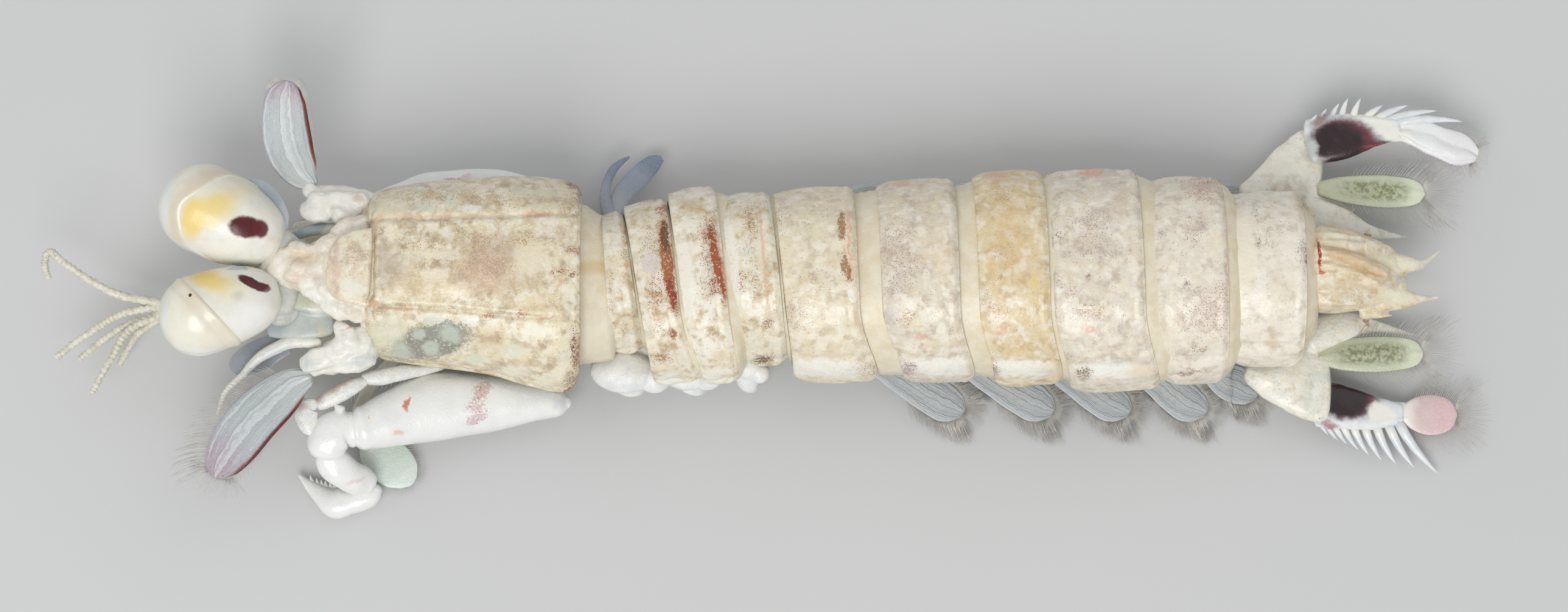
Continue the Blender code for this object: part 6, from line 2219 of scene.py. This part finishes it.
        def ribs(fraction: float, turn: float, point: Vector) -> float:
            """Fine ribs along the paddle, and a raised rim."""
            across = math.cos(turn)
            rim = 0.05 * bump(abs(across), 0.93, 0.05)
            return 0.012 * math.cos(across * 34 + fraction * 6) + rim

        film = BladeFinish(
            "green_paddle_film", (0.68, 0.72, 0.65), (0.63, 0.71, 0.63), (0.68, 0.75, 0.68),
            rim=(0.8, 0.83, 0.8), roughness=0.3,
        )
        make_piece("maxilliped_3_left_paddle", paddle.mesh(52, 60, 0.8, ribs), film.material())
        bristles.fringe(paddle, math.pi, (0.25, 0.98), (0.6, 0.45), (0.5, 0.6), 30, 0.018)
        bristles.fringe(paddle, 0.0, (0.25, 0.98), (0.35, 0.35), (0.5, 0.6), 24, 0.016)
        bristles.fan(paddle, 0.4, 1.2, 14, 0.016, 0.0, 0.9)


@dataclass(frozen=True)
class WalkingLegs:
    """Three pairs of slender legs, each with a swollen base, a thin branch and a flat one."""

    bases: tuple[Row, ...] = ((1, 16.4, 1.75), (2, 19.8, 1.55), (3, 22.55, 0.95))
    lobes: tuple[tuple[Row, ...], ...] = (
        ((1024, 611, 2.9, 1.85, 1.2, 0.85, -3), (1074, 620, 2.7, 0.95, 0.9, 0.75, -14)),
        ((1128, 612, 2.9, 1.45, 1, 0.8, -2), (1162, 618, 2.7, 0.9, 0.8, 0.7, 14)),
        ((1222, 600, 2.9, 1.05, 0.75, 0.7, -24), (1246, 612, 2.7, 0.62, 0.66, 0.6, 30)),
    )

    def build(self) -> None:
        """Make all six."""
        bone = SkinFinish("leg_skin", (0.86, 0.85, 0.80), (0.74, 0.75, 0.74), 0.6, 0.3, dot_share=0.02).material()
        clear = BladeFinish(
            "leg_film", (0.52, 0.54, 0.56), (0.36, 0.40, 0.47), (0.22, 0.27, 0.36), rim=(0.66, 0.68, 0.72),
            alpha=0.85, roughness=0.25,
        ).material()

        def lumpy(fraction: float, turn: float, point: Vector) -> float:
            """Swollen and uneven near the body."""
            near = 1 - ease(fraction, 0.35, 0.6)
            return (0.14 * grain(point, 1.1) + 0.05 * grain(point, 0.5)) * near + 0.02 * grain(point, 0.4)

        for number, station, stout_left in self.bases:
            for side in Side:
                name = f"walking_leg_{int(number)}_{side.word}"
                if number == 1 and side is Side.RIGHT:
                    thin, flat = self.first_right()
                    bm = joined(thin.mesh(24, 60, 0.95), flat.mesh(28, 50, 0.8))
                    make_piece(f"{name}_limb", bm, clear, [name])
                    continue
                reach = 5.05 if side is Side.LEFT else 3.9
                stout = stout_left if side is Side.LEFT else 0.55
                way = side.value
                thin = course((station, way * 2.2 - 0.5, 3.1, max(0.5, stout * 0.9), 0.45),
                        (station - 0.1, way * (reach - 1.3) - 0.4, 2.6, stout, 0.62),
                        (station - 0.2, way * reach - 0.5, 2.3, stout * 0.9, 0.55),
                        (station - 0.1, way * (reach + 0.45) - 0.5, 1.5, 0.45, 0.36),
                        (station - 0.9, way * (reach - 0.3) - 0.7, 0.75, 0.26, 0.25),
                        (station - 2.0, way * (reach - 1.3) - 0.8, 0.24, 0.16, 0.16), up=(0.3, 0, 1))
                flat = course((station - 0.25, way * (reach - 0.3) - 0.5, 2.1, 0.30, 0.28),
                        (station + 0.6, way * (reach - 0.5) - 0.6, 1.1, 0.50, 0.14),
                        (station + 0.75, way * (reach - 1.0) - 0.7, 0.55, 0.25, 0.10), up=(1, 0, 0.2))
                bm = joined(thin.mesh(36, 70, 0.95, lumpy), flat.mesh(24, 30, 0.85))
                if side is Side.LEFT:
                    for x, y, height, *radii, turn in self.lobes[int(number) - 1]:
                        add_mesh(bm, lump(x, y, height, tuple(radii), turn, 0.04))
                bm = melted(bm, 0.08)
                make_piece(f"{name}_limb", bm, bone, [name])

    def first_right(self) -> tuple[Run, Run]:
        """The two clear branches that show beside the carapace."""
        thin = course(
            (15.6, 2, 3.2, 0.45, 0.42), (14.7, 3.2, 2.8, 0.42, 0.36), (14.45, 4.6, 2.4, 0.28, 0.22),
            (14.9, 5.8, 2.1, 0.24, 0.2), (15.7, 6.45, 1.9, 0.09, 0.08),
        )
        flat = course(
            (14.9, 2.9, 2.8, 0.3, 0.28), (15.3, 4.2, 2.2, 0.55, 0.16), (16.2, 5.3, 1.7, 0.64, 0.12),
            (17, 6.1, 1.4, 0.52, 0.1), (17.5, 6.4, 1.25, 0.2, 0.06),
        )
        return thin, flat


# The swimming limbs and the tail


@dataclass(frozen=True)
class Pleopods:
    """Five pairs of leaf-like swimming limbs, with gills and long feathery bristles."""

    bases: tuple[float, ...] = (26.6, 31.4, 36.1, 40.9, 45.7)
    left_tips: tuple[float, ...] = (34.4, 39.3, 43.5, 47.7, 50.5)

    def build(self, bristles: Setae) -> None:
        """Make each pair, and its bristles in the coat given."""
        film = BladeFinish(
            "pleopod_film", (0.68, 0.71, 0.71), (0.50, 0.53, 0.54), (0.52, 0.55, 0.56), rim=(0.68, 0.71, 0.72),
            centre=(0.64, 0.67, 0.65), alpha=0.82, roughness=0.22, streaks=0.5,
        ).material()

        def veined(fraction: float, turn: float, point: Vector) -> float:
            """A midrib and faint side veins."""
            across = math.cos(turn)
            return 0.05 * bump(across, 0.1, 0.10) + 0.012 * math.cos(fraction * 40 + abs(across) * 6)

        for number, (station, tip) in enumerate(zip(self.bases, self.left_tips), start=1):
            last = number == len(self.bases)
            out = -7.0 if last else -7.9
            run = tip - station
            left = course(
                (station + 0.1, -3.3, 2.8, 0.6, 0.36), (station + 0.34 * run, -4.8, 1.6, 0.72, 0.18),
                (station + 0.56 * run, -5.8, 0.85, 0.95, 0.12), (tip - 1.5, out + 0.95, 0.42, 1.1, 0.1),
                (tip - 0.7, out + 0.55, 0.3, 0.8, 0.08), (tip - 0.3, out + 0.35, 0.28, 0.3, 0.06),
            )
            inner = course(
                (station + 0.6, -3.2, 2.4, 0.5, 0.3), (station + 0.30 * run, -4.3, 1.3, 0.85, 0.14),
                (station + 0.60 * run, -5.0, 0.5, 0.95, 0.1), (station + 0.85 * run, -5.5, 0.25, 0.35, 0.06),
            )
            bridge = course(
                (station + 0.1, -3.4, 2.7, 0.6, 0.34), (station, -0.5, 3.1, 0.5, 0.26),
                (station + 0.1, 2.8, 2.7, 0.6, 0.34),
            )
            right = course((station + 0.1, 2.6, 2.75, 0.6, 0.34), (station + 1.5, 3.7, 1.5, 1.05, 0.16),
                    (station + 3.2, 3.9, 0.6, 1.2, 0.12), (station + 4.6, 3.7, 0.26, 0.9, 0.10),
                    (station + 5.0, 3.6, 0.24, 0.35, 0.06))
            meshes = [left.mesh(36, 50, 0.85, veined), inner.mesh(28, 40, 0.85, veined)]
            meshes += [bridge.mesh(20, 30), right.mesh(36, 50, 0.85, veined)]
            make_piece(f"pleopods_{number}_leaves", joined(*meshes), film, [f"pleopods_{number}"])
            bristles.fringe(left, 0.0, (0.45, 0.99), (0.8, 1.4), (0.5, 0.9), 110, 0.022)
            bristles.fringe(left, math.pi, (0.45, 0.99), (0.7, 1.4), (0.5, 0.9), 110, 0.022)
            bristles.fan(left, 1.3, 1.3, 70, 0.022, 0.05, 0.9)
            bristles.fan(inner, 0.9, 1.1, 22, 0.022, 0.0, 0.9)
            bristles.fan(right, 0.9, 1.2, 24, 0.022, 0.0, 0.9)


@dataclass(frozen=True)
class Telson:
    """The tail plate: a keeled dome with a raised boss and three pairs of teeth."""

    dome: Run = course(
        (52.75, 0.25, 5.15, 2.15, 1.1), (53.3, 0.25, 5.25, 2.4, 1.35), (54.4, 0.2, 5.1, 2.38, 1.35),
        (55.4, 0.05, 4.85, 2.12, 1.2), (56.4, -0.1, 4.6, 1.78, 0.95), (57.2, -0.15, 4.45, 1.42, 0.7),
        (57.75, -0.15, 4.35, 1.05, 0.48),
    )

    def relief(self, fraction: float, turn: float, point: Vector) -> float:
        """The boss down the middle, two keels on either side and a rim at the front."""
        if math.sin(turn) < 0:
            return 0.0
        across = (GRID_Y - on_grid(point)[1]) * GRID_STEP
        middle = 0.90 - 1.45 * ease(fraction, 0.0, 1.0)
        from_middle = abs(across - middle)
        boss = 0.30 * (1 - ease(from_middle, 0.35, 0.78)) * ease(fraction, 0.02, 0.12)
        boss *= 1 - ease(fraction, 0.62, 0.90)
        lines = 0.035 * math.cos((across - middle) * 21 + 2 * fraction) * (1 - ease(from_middle, 0.45, 0.7))
        lines -= 0.10 * bump(across, middle - 0.12, 0.09)
        lines *= ease(fraction, 0.05, 0.2) * (1 - ease(fraction, 0.75, 0.9))
        keels = 0.0
        for near, far in ((2.25, 0.70), (1.75, 0.95), (-0.85, -0.95), (-1.60, -1.30)):
            line = near + (far - near) * fraction**1.6
            keels += 0.15 * bump(across, line, 0.14) * ease(fraction, 0.05, 0.3)
        notch = -0.16 * bump(across, -0.05, 0.25) * ease(fraction, 0.8, 1.0)
        return boss + lines + keels + notch + 0.05 * grain(point, 0.7) + 0.015 * grain(point, 0.25)

    def build(self) -> None:
        """Make the plate and its teeth."""
        tan: Colour = (0.62, 0.44, 0.24)
        marks = (
            Mark(2222, 432, 60, 20, (0.7, 0.52, 0.32), 0.85, 0.7, 16),
            Mark(2225, 440, 46, 5, tan, 0.95, 0.6, 22),
            Mark(2250, 450, 22, 4, (0.52, 0.32, 0.12), 0.8, 0.7, 20),
            Mark(2200, 412, 40, 3, (0.58, 0.38, 0.22), 0.7, 0.8, 10),
            Mark(2205, 378, 44, 4, (0.62, 0.46, 0.3), 0.6, 0.8, 14),
            Mark(2230, 470, 50, 6, (0.74, 0.56, 0.36), 0.6, 0.8, 8),
            Mark(2162, 420, 3.5, 30, (0.42, 0.05, 0.03), 1, 0.4, -3),
            Mark(2166, 447, 7, 3, (0.48, 0.08, 0.04), 0.9, 0.5),
            Mark(2152, 430, 5, 36, (0.74, 0.56, 0.46), 0.6, 0.8),
            Mark(2210, 484, 34, 10, (0.5, 0.42, 0.36), 0.5, 0.9, 6),
            Mark(2185, 505, 24, 10, (0.56, 0.5, 0.38), 0.6, 0.9),
            Mark(2195, 388, 26, 8, (0.8, 0.76, 0.62), 0.8, 0.9, 12),
            Mark(2226, 401, 10, 7, (0.56, 0.5, 0.42), 0.6, 0.8),
            Mark(2300, 432, 34, 13, (0.8, 0.78, 0.62), 0.9, 0.6, 6),
            Mark(2298, 487, 34, 14, (0.8, 0.78, 0.62), 0.9, 0.6),
            Mark(2345, 450, 20, 60, (0.6, 0.64, 0.68), 0.7, 0.9),
            Mark(2302, 461, 12, 8, (0.6, 0.64, 0.7), 0.7, 0.8),
            Mark(2300, 509, 40, 3, (0.58, 0.6, 0.66), 0.7, 0.8, -8),
            Mark(2300, 416, 44, 3, (0.58, 0.6, 0.66), 0.7, 0.8, 14),
        )
        finish = ShellFinish(
            "telson_shell", marks, (0.72, 0.62, 0.44), MILK, (0.64, 0.49, 0.30), dot_share=0.3, ragged=12
        )
        teeth = [
            run_on_grid(
                (2268, 436, 4.55, 0.85, 0.5), (2300, 434, 4.5, 0.62, 0.42), (2328, 435, 4.4, 0.36, 0.28),
                (2340, 436, 4.4, 0.22, 0.2),
            ),
            run_on_grid(
                (2334, 435, 4.4, 0.24, 0.2), (2350, 426, 4.35, 0.15, 0.13), (2370, 411, 4.3, 0.03, 0.03),
            ),
            run_on_grid(
                (2268, 488, 4.5, 0.85, 0.5), (2298, 490, 4.45, 0.66, 0.4), (2324, 491, 4.35, 0.36, 0.26),
                (2336, 491, 4.3, 0.22, 0.2),
            ),
            run_on_grid(
                (2330, 491, 4.35, 0.24, 0.2), (2350, 490, 4.3, 0.14, 0.12), (2371, 488, 4.2, 0.03, 0.03),
            ),
            run_on_grid(
                (2240, 400, 4.5, 0.45, 0.35), (2268, 404, 4.4, 0.26, 0.22), (2292, 410, 4.3, 0.03, 0.03),
            ),
            run_on_grid(
                (2240, 512, 4.5, 0.45, 0.35), (2268, 515, 4.4, 0.26, 0.22), (2288, 519, 4.3, 0.03, 0.03),
            ),
        ]
        meshes = [tooth.mesh(20, 20, 0.9, lambda f, turn, point: 0.02 * grain(point, 0.3)) for tooth in teeth]
        bm = melted(joined(self.dome.mesh(120, 110, 0.9, self.relief), *meshes), 0.05, 2)
        make_piece("tail_plate", bm, finish.material(), ["telson"])


@dataclass(frozen=True)
class Uropod:
    """One side of the tail fan: protopod with its forked spines, exopod, paddle and endopod."""

    side: Side
    protopod: Run
    forks: tuple[tuple[Row, ...], ...]
    exopod: Run
    spines: tuple[Row, ...]
    paddle: Run
    endopod: Run
    marks: tuple[Mark, ...]
    exopod_marks: tuple[Mark, ...]

    def build(self, bristles: Setae) -> None:
        """Make the limb, and its bristles in the coat given."""
        word = self.side.word
        prefix = f"uropod_{word}"

        def swell(fraction: float, turn: float, point: Vector) -> float:
            """Soft swellings and a low ridge down the middle."""
            return 0.10 * grain(point, 0.9) + 0.03 * grain(point, 0.3) + 0.06 * bump(math.cos(turn), 0.1, 0.2)

        forks = []
        for path in self.forks:
            stops = tuple((*point, size, size * 0.7) for point, size in zip(path, (1.05, 0.85, 0.40, 0.03)))
            forks.append(Run(stops).mesh(24, 50, 0.85))
        shell = ShellFinish(
            f"{prefix}_shell", self.marks, (0.80, 0.79, 0.72), (0.84, 0.85, 0.82), (0.74, 0.68, 0.56), SPECK, 0.06
        ).material()
        base = melted(joined(self.protopod.mesh(72, 60, 0.75, swell), *forks), 0.075, 3)
        make_piece(f"{prefix}_base", base, shell, [f"{prefix}_protopod"])
        self.build_exopod(prefix)
        pink = self.side is Side.LEFT
        tip: Colour = (0.72, 0.50, 0.49) if pink else (0.80, 0.78, 0.77)
        film = BladeFinish(
            f"{prefix}_paddle_film", WHITE, (0.70, 0.53, 0.51) if pink else (0.82, 0.83, 0.81), tip,
            rim=(0.80, 0.66, 0.66) if pink else (0.66, 0.60, 0.66), roughness=0.3, turns=(0.35, 0.6),
        )
        folds = 0.0 if pink else 0.09

        def folded(fraction: float, turn: float, point: Vector) -> float:
            """Lengthwise folds."""
            return folds * math.sin(math.cos(turn) * 6 + 1.5 * grain(point, 1.2)) + 0.02 * grain(point, 0.4)

        make_piece(
            f"{prefix}_fan_paddle", self.paddle.mesh(64, 60, 0.85, folded), film.material(),
            [f"{prefix}_paddle"],
        )
        leaf = BladeFinish(
            f"{prefix}_endopod_film", (0.56, 0.56, 0.4), (0.54, 0.58, 0.42), (0.68, 0.71, 0.53),
            rim=(0.3, 0.31, 0.22), centre=(0.24, 0.25, 0.12), roughness=0.32,
        )

        def beaded(fraction: float, turn: float, point: Vector) -> float:
            """Beads along both edges, where the bristles stand, and a midrib."""
            across = math.cos(turn)
            edge = ease(abs(across), 0.93, 0.99)
            return 0.022 * edge * math.cos(fraction * math.tau * 34) + 0.05 * bump(across, 0.0, 0.15)

        make_piece(
            f"{prefix}_fan_endopod", self.endopod.mesh(52, 120, 0.85, beaded), leaf.material(),
            [f"{prefix}_endopod"],
        )
        for turn, lengths in ((0.0, (0.7, 2.2)), (math.pi, (0.7, 2.2))):
            bristles.fringe(self.endopod, turn, (0.25, 0.98), lengths, (0.35, 0.9), 36, 0.022)
        bristles.fan(self.endopod, 2.2, 1.2, 24, 0.024, 0.0, 0.9)
        reach = 1.9 if pink else 0.8
        for turn in (0.0, math.pi):
            bristles.fringe(self.paddle, turn, (0.2, 0.97), (reach * 0.5, reach), (0.1, 0.8), 26, 0.022)
        bristles.fan(self.paddle, reach, 1.25, 26, 0.024, 0.0, 0.9)

    def build_exopod(self, prefix: str) -> None:
        """The exopod: dark and flat within, white along its outer edge, which bears the spines."""

        def ridge(fraction: float, turn: float, point: Vector) -> float:
            """The swollen white outer edge."""
            outer = math.cos(turn) * self.outer_sign()
            return 0.14 * ease(outer, 0.35, 0.7) + 0.04 * grain(point, 0.5)

        bm = self.exopod.mesh(56, 70, 0.8, ridge)
        count = len(self.spines)
        for step, tip in enumerate(self.spines):
            place = self.exopod.place((step + 0.5) / count)
            edge = place.rim(0.0 if self.outer_sign() > 0 else math.pi)
            root = place.centre + (edge - place.centre) * 0.82
            size = 0.16 + 0.17 * step / count
            add_mesh(bm, cone(root, at(*tip), size, 12, 0.05 * self.side.value))
        inner = place_on(self.exopod, 0.86, -0.6 * self.outer_sign())
        spike = inner + Vector((1.35, -0.10 * self.side.value, -0.1))
        add_mesh(bm, cone(inner + Vector((-0.8, 0, 0)), spike, 0.26, 12))
        paint = Paint(f"{prefix}_exopod_shell")
        colour: Socket = paint.mix(paint.ramp(paint.noise(0.6, 1), 0.35, 0.65), (0.78, 0.80, 0.80), (0.70, 0.73, 0.74))
        plan = paint.wandering_plan(16, 0.45)
        for mark in self.exopod_marks:
            colour = paint.mix(paint.oval(plan, mark), colour, mark.colour)
        paint.put("Base Color", colour)
        paint.raise_surface(paint.noise(0.12, 3, 3) + paint.noise(0.5, 5, 2), 0.02)
        material = paint.finish(0.26, {"Coat Weight": 0.3})
        make_piece(f"{prefix}_fan_exopod", bm, material, [f"{prefix}_exopod"])

    def outer_sign(self) -> int:
        """Which way along the cosine of a turn the outer edge lies."""
        place = self.exopod.place(0.5)
        return 1 if place.side.y * self.side.value > 0 else -1


def place_on(run: Run, fraction: float, aside: float) -> Vector:
    """A point inside a blade, at a fraction of its length and a share of its half width."""
    place = run.place(fraction)
    return place.centre + place.side * place.half * aside


def uropods() -> tuple[Uropod, Uropod]:
    """The left and the right side of the tail fan."""
    black: Colour = (0.018, 0.004, 0.006)
    wine: Colour = (0.13, 0.012, 0.022)
    return (
        Uropod(
            Side.LEFT,
            course(
                (49.7, -5.3, 1.95, 0.6, 0.45), (50.8, -5.75, 1.95, 1.15, 0.55), (52.2, -5.9, 1.9, 1.85, 0.6),
                (53.3, -5.9, 1.7, 2.35, 0.55), (53.8, -5.9, 1.65, 2.1, 0.45),
            ),
            (
                ((52.9, -3.5, 1.9), (54.9, -2.9, 1.75), (56.4, -2.85, 1.5), (59, -3.4, 1.4)),
                ((52.9, -3.9, 1.5), (54.4, -3.4, 1.2), (55.4, -3.3, 0.9), (56.3, -3.3, 0.7)),
            ),
            course(
                (53.5, -7, 1.45, 1.25, 0.4), (54.6, -7.2, 1.4, 1.15, 0.38), (56.3, -7.5, 1.2, 0.9, 0.36),
                (57.95, -7.6, 1.1, 0.5, 0.3),
            ),
            (
                (54, -8.8, 1), (54.5, -9.1, 1), (55, -9.3, 0.9), (55.6, -9.6, 0.8), (56.2, -9.9, 0.7),
                (56.9, -10.2, 0.6), (57.7, -10.4, 0.5), (58.7, -10.6, 0.4), (60, -10.9, 0.3),
            ),
            course(
                (57.95, -7.6, 1.08, 0.42, 0.26), (58.7, -7.65, 1, 0.92, 0.2), (59.5, -7.7, 0.95, 1.12, 0.18),
                (60.3, -7.7, 0.9, 1, 0.15), (60.8, -7.7, 0.9, 0.66, 0.12), (61, -7.7, 0.9, 0.2, 0.07),
            ),
            course(
                (53.5, -4.6, 1.9, 0.42, 0.3), (54.6, -4.45, 1.95, 0.84, 0.2), (56.4, -4.4, 1.95, 1.02, 0.18),
                (58, -4.35, 1.9, 0.92, 0.15), (58.8, -4.35, 1.87, 0.66, 0.12),
                (59.12, -4.35, 1.85, 0.22, 0.07),
            ),
            (
                Mark(2095, 590, 30, 30, WHITE, 0.8, 0.9),
                Mark(2150, 655, 12, 30, (0.6, 0.64, 0.52), 0.6, 0.8), Mark(2140, 600, 20, 20, MILK, 0.5, 0.9),
                Mark(2185, 620, 14, 10, (0.62, 0.68, 0.66), 0.7, 0.8),
                Mark(2180, 698, 16, 8, wine, 0.7, 0.8, 20),
                Mark(2252, 530, 8, 14, (0.4, 0.22, 0.13), 0.8, 0.6, -10),
            ),
            (
                Mark(2218, 656, 58, 36, wine, 0.95, 0.3, 4), Mark(2180, 640, 18, 12, wine, 0.9, 0.4),
                Mark(2214, 658, 46, 32, black, 1, 0.3, 4),
                Mark(2290, 643, 34, 4, (0.3, 0.03, 0.03), 0.9, 0.6, 4),
                Mark(2187, 698, 18, 8, (0.34, 0.1, 0.13), 0.8, 0.7, 20),
                Mark(2276, 680, 26, 18, WHITE, 0.98, 0.3, 20), Mark(2255, 712, 60, 10, WHITE, 0.8, 0.6),
                Mark(2180, 668, 8, 16, (0.56, 0.6, 0.55), 0.8, 0.6),
            ),
        ),
        Uropod(
            Side.RIGHT,
            course(
                (49.6, 4.4, 2.1, 0.55, 0.4), (50.9, 4.95, 2.1, 1.1, 0.5), (52.2, 5.5, 2.1, 1.75, 0.55),
                (53.2, 5.8, 2, 2.25, 0.55), (53.6, 5.8, 2, 2.05, 0.45),
            ),
            (
                ((52.9, 3.3, 2.3), (54.9, 2.75, 2.2), (56.4, 2.3, 2), (58.6, 2, 1.8)),
                ((52.9, 3.9, 1.8), (54, 3.6, 1.6), (55, 3.5, 1.4), (55.8, 3.6, 1.4)),
            ),
            course(
                (53.2, 7.2, 2.45, 1.2, 0.4), (54.8, 7.5, 2.6, 1.25, 0.38), (56.6, 7.8, 2.6, 0.85, 0.38),
                (58, 7.9, 2.5, 0.5, 0.32),
            ),
            (
                (53.6, 8.8, 2.8), (54.1, 9.1, 2.9), (54.8, 9.4, 2.9), (55.3, 9.7, 2.9), (56, 9.7, 2.9),
                (57.2, 9.3, 2.8), (58.6, 9.3, 2.7), (60.2, 9, 2.6), (61.6, 8.4, 2.6),
            ),
            course(
                (57.95, 7.9, 2.45, 0.44, 0.3), (59, 7.75, 2.35, 0.8, 0.28), (60.4, 7.2, 2.15, 0.92, 0.26),
                (61.6, 6.8, 2.05, 0.9, 0.22), (62.35, 6.5, 1.95, 0.4, 0.14),
            ),
            course(
                (53.7, 4.7, 2.3, 0.42, 0.3), (54.9, 4.65, 2.35, 0.74, 0.2), (56.8, 4.55, 2.35, 0.94, 0.18),
                (58.3, 4.5, 2.25, 0.86, 0.15), (59.1, 4.47, 2.22, 0.62, 0.12), (59.42, 4.45, 2.2, 0.2, 0.07),
            ),
            (
                Mark(2120, 260, 40, 30, (0.8, 0.79, 0.7), 0.7, 0.9, -40),
                Mark(2166, 240, 10, 16, (0.52, 0.58, 0.54), 0.85, 0.6),
                Mark(2160, 225, 12, 20, DRAB, 0.5, 0.8, -30), Mark(2180, 275, 26, 10, MILK, 0.6, 0.8),
                Mark(2150, 345, 26, 14, BUFF, 0.5, 0.9),
                Mark(2256, 389, 12, 10, (0.42, 0.24, 0.12), 0.75, 0.6, -40),
            ),
            (
                Mark(2222, 232, 62, 46, wine, 0.97, 0.3, 6), Mark(2212, 232, 50, 38, black, 1, 0.3, 6),
                Mark(2166, 242, 12, 18, (0.55, 0.6, 0.56), 0.95, 0.5),
                Mark(2280, 238, 36, 12, (0.08, 0.02, 0.03), 0.9, 0.5, -4),
                Mark(2285, 247, 30, 3, (0.4, 0.03, 0.04), 0.9, 0.6, -12),
                Mark(2280, 236, 30, 2.5, (0.42, 0.05, 0.06), 0.8, 0.6, -6),
                Mark(2300, 240, 20, 4, (0.6, 0.55, 0.58), 0.8, 0.6, -4),
                Mark(2260, 185, 60, 14, WHITE, 0.9, 0.5, 22), Mark(2300, 215, 40, 14, WHITE, 0.95, 0.4, 26),
                Mark(2182, 192, 22, 7, (0.28, 0.17, 0.16), 0.85, 0.6, -34),
            ),
        ),
    )


@dataclass(frozen=True)
class Studio:
    """The floor, the soft light and the camera."""

    tilt: float = math.radians(77)
    frame_width: float = 85.0
    lens: float = 120.0
    sensor: float = 36.0
    floor_size: float = 1.6
    floor_colour: Colour = (0.62, 0.62, 0.61)

    def build(self) -> None:
        """Make the floor, lights and camera."""
        bm = bmesh.new()
        bmesh.ops.create_grid(bm, x_segments=1, y_segments=1, size=self.floor_size / 2)
        mesh = bpy.data.meshes.new("floor")
        bm.to_mesh(mesh)
        bm.free()
        paint = Paint("floor_card")
        tone = paint.ramp(paint.noise(40, 1, 2), 0.3, 0.7, 0.0, 1.0)
        darker = tuple(channel * 0.97 for channel in self.floor_colour)
        paint.put("Base Color", paint.mix(tone, self.floor_colour, darker))
        mesh.materials.append(paint.finish(0.85))
        floor = bpy.data.objects.new("floor", mesh)
        bpy.context.scene.collection.objects.link(floor)
        self.light("key", (-0.06, -0.29, 0.35), 0.26, 1.12)
        self.light("fill", (0.20, 0.22, 0.36), 0.36, 0.14)
        self.light("low", (-0.30, 0.16, 0.12), 0.20, 0.09)
        self.sky()
        self.camera()

    def light(self, name: str, place: Row, size: float, watts: float) -> None:
        """A large soft light that faces the animal."""
        lamp = bpy.data.lights.new(name, "AREA")
        lamp.size = size
        lamp.energy = watts
        holder = bpy.data.objects.new(name, lamp)
        holder.location = place
        holder.rotation_euler = (-Vector(place)).to_track_quat("-Z", "Y").to_euler()
        bpy.context.scene.collection.objects.link(holder)

    def sky(self) -> None:
        """Even light from all round."""
        world = bpy.data.worlds.new("studio")
        world.use_nodes = True
        back = world.node_tree.nodes["Background"]
        back.inputs["Color"].default_value = (0.95, 0.97, 1.0, 1)
        back.inputs["Strength"].default_value = 0.58
        bpy.context.scene.world = world
        bpy.context.scene.view_settings.view_transform = "Standard"

    def camera(self) -> None:
        """The camera, a little to the left side of straight above."""
        eye = bpy.data.cameras.new("camera")
        eye.lens = self.lens
        eye.sensor_width = self.sensor
        eye.clip_start, eye.clip_end = 0.01, 10.0
        holder = bpy.data.objects.new("camera", eye)
        distance = self.frame_width * self.lens / self.sensor
        back = Vector((0, -math.cos(self.tilt), math.sin(self.tilt)))
        aim = at(24.26, -1.75, LEVEL)
        holder.location = (aim + back * distance) * MM
        holder.rotation_euler = (math.radians(90) - self.tilt, 0, 0)
        bpy.context.scene.collection.objects.link(holder)
        bpy.context.scene.camera = holder


def main() -> None:
    """Build the model, piece by piece."""
    logging.basicConfig(level=logging.INFO, format="%(message)s")
    Trunk().build()
    Carapace().build()
    Head().build()
    EyeShields().build()
    AntennaPlates().build()
    for eye in eyes():
        eye.build()
    feeler_bristles = Setae("feeler_bristles", BRISTLE, 3)
    for antennule in antennules():
        antennule.build(feeler_bristles)
    feeler_bristles.piece("feeler")
    blade_bristles = Setae("blade_bristles", BRISTLE, 5)
    for antenna in antennae():
        antenna.build(blade_bristles)
    blade_bristles.piece("scale_blade")
    LeftClaw().build()
    RightClaw().build()
    mouth_bristles = Setae("mouth_bristles", BRISTLE, 7)
    Maxillipeds().build(mouth_bristles)
    mouth_bristles.piece("mouth_limb")
    WalkingLegs().build()
    leaf_bristles = Setae("leaf_bristles", BRISTLE, 9)
    Pleopods().build(leaf_bristles)
    leaf_bristles.piece("swimmeret")
    Telson().build()
    fan_bristles = Setae("fan_bristles", BRISTLE, 11)
    for uropod in uropods():
        uropod.build(fan_bristles)
    fan_bristles.piece("tail_blade")
    Studio().build()


if __name__ == "__main__":
    main()
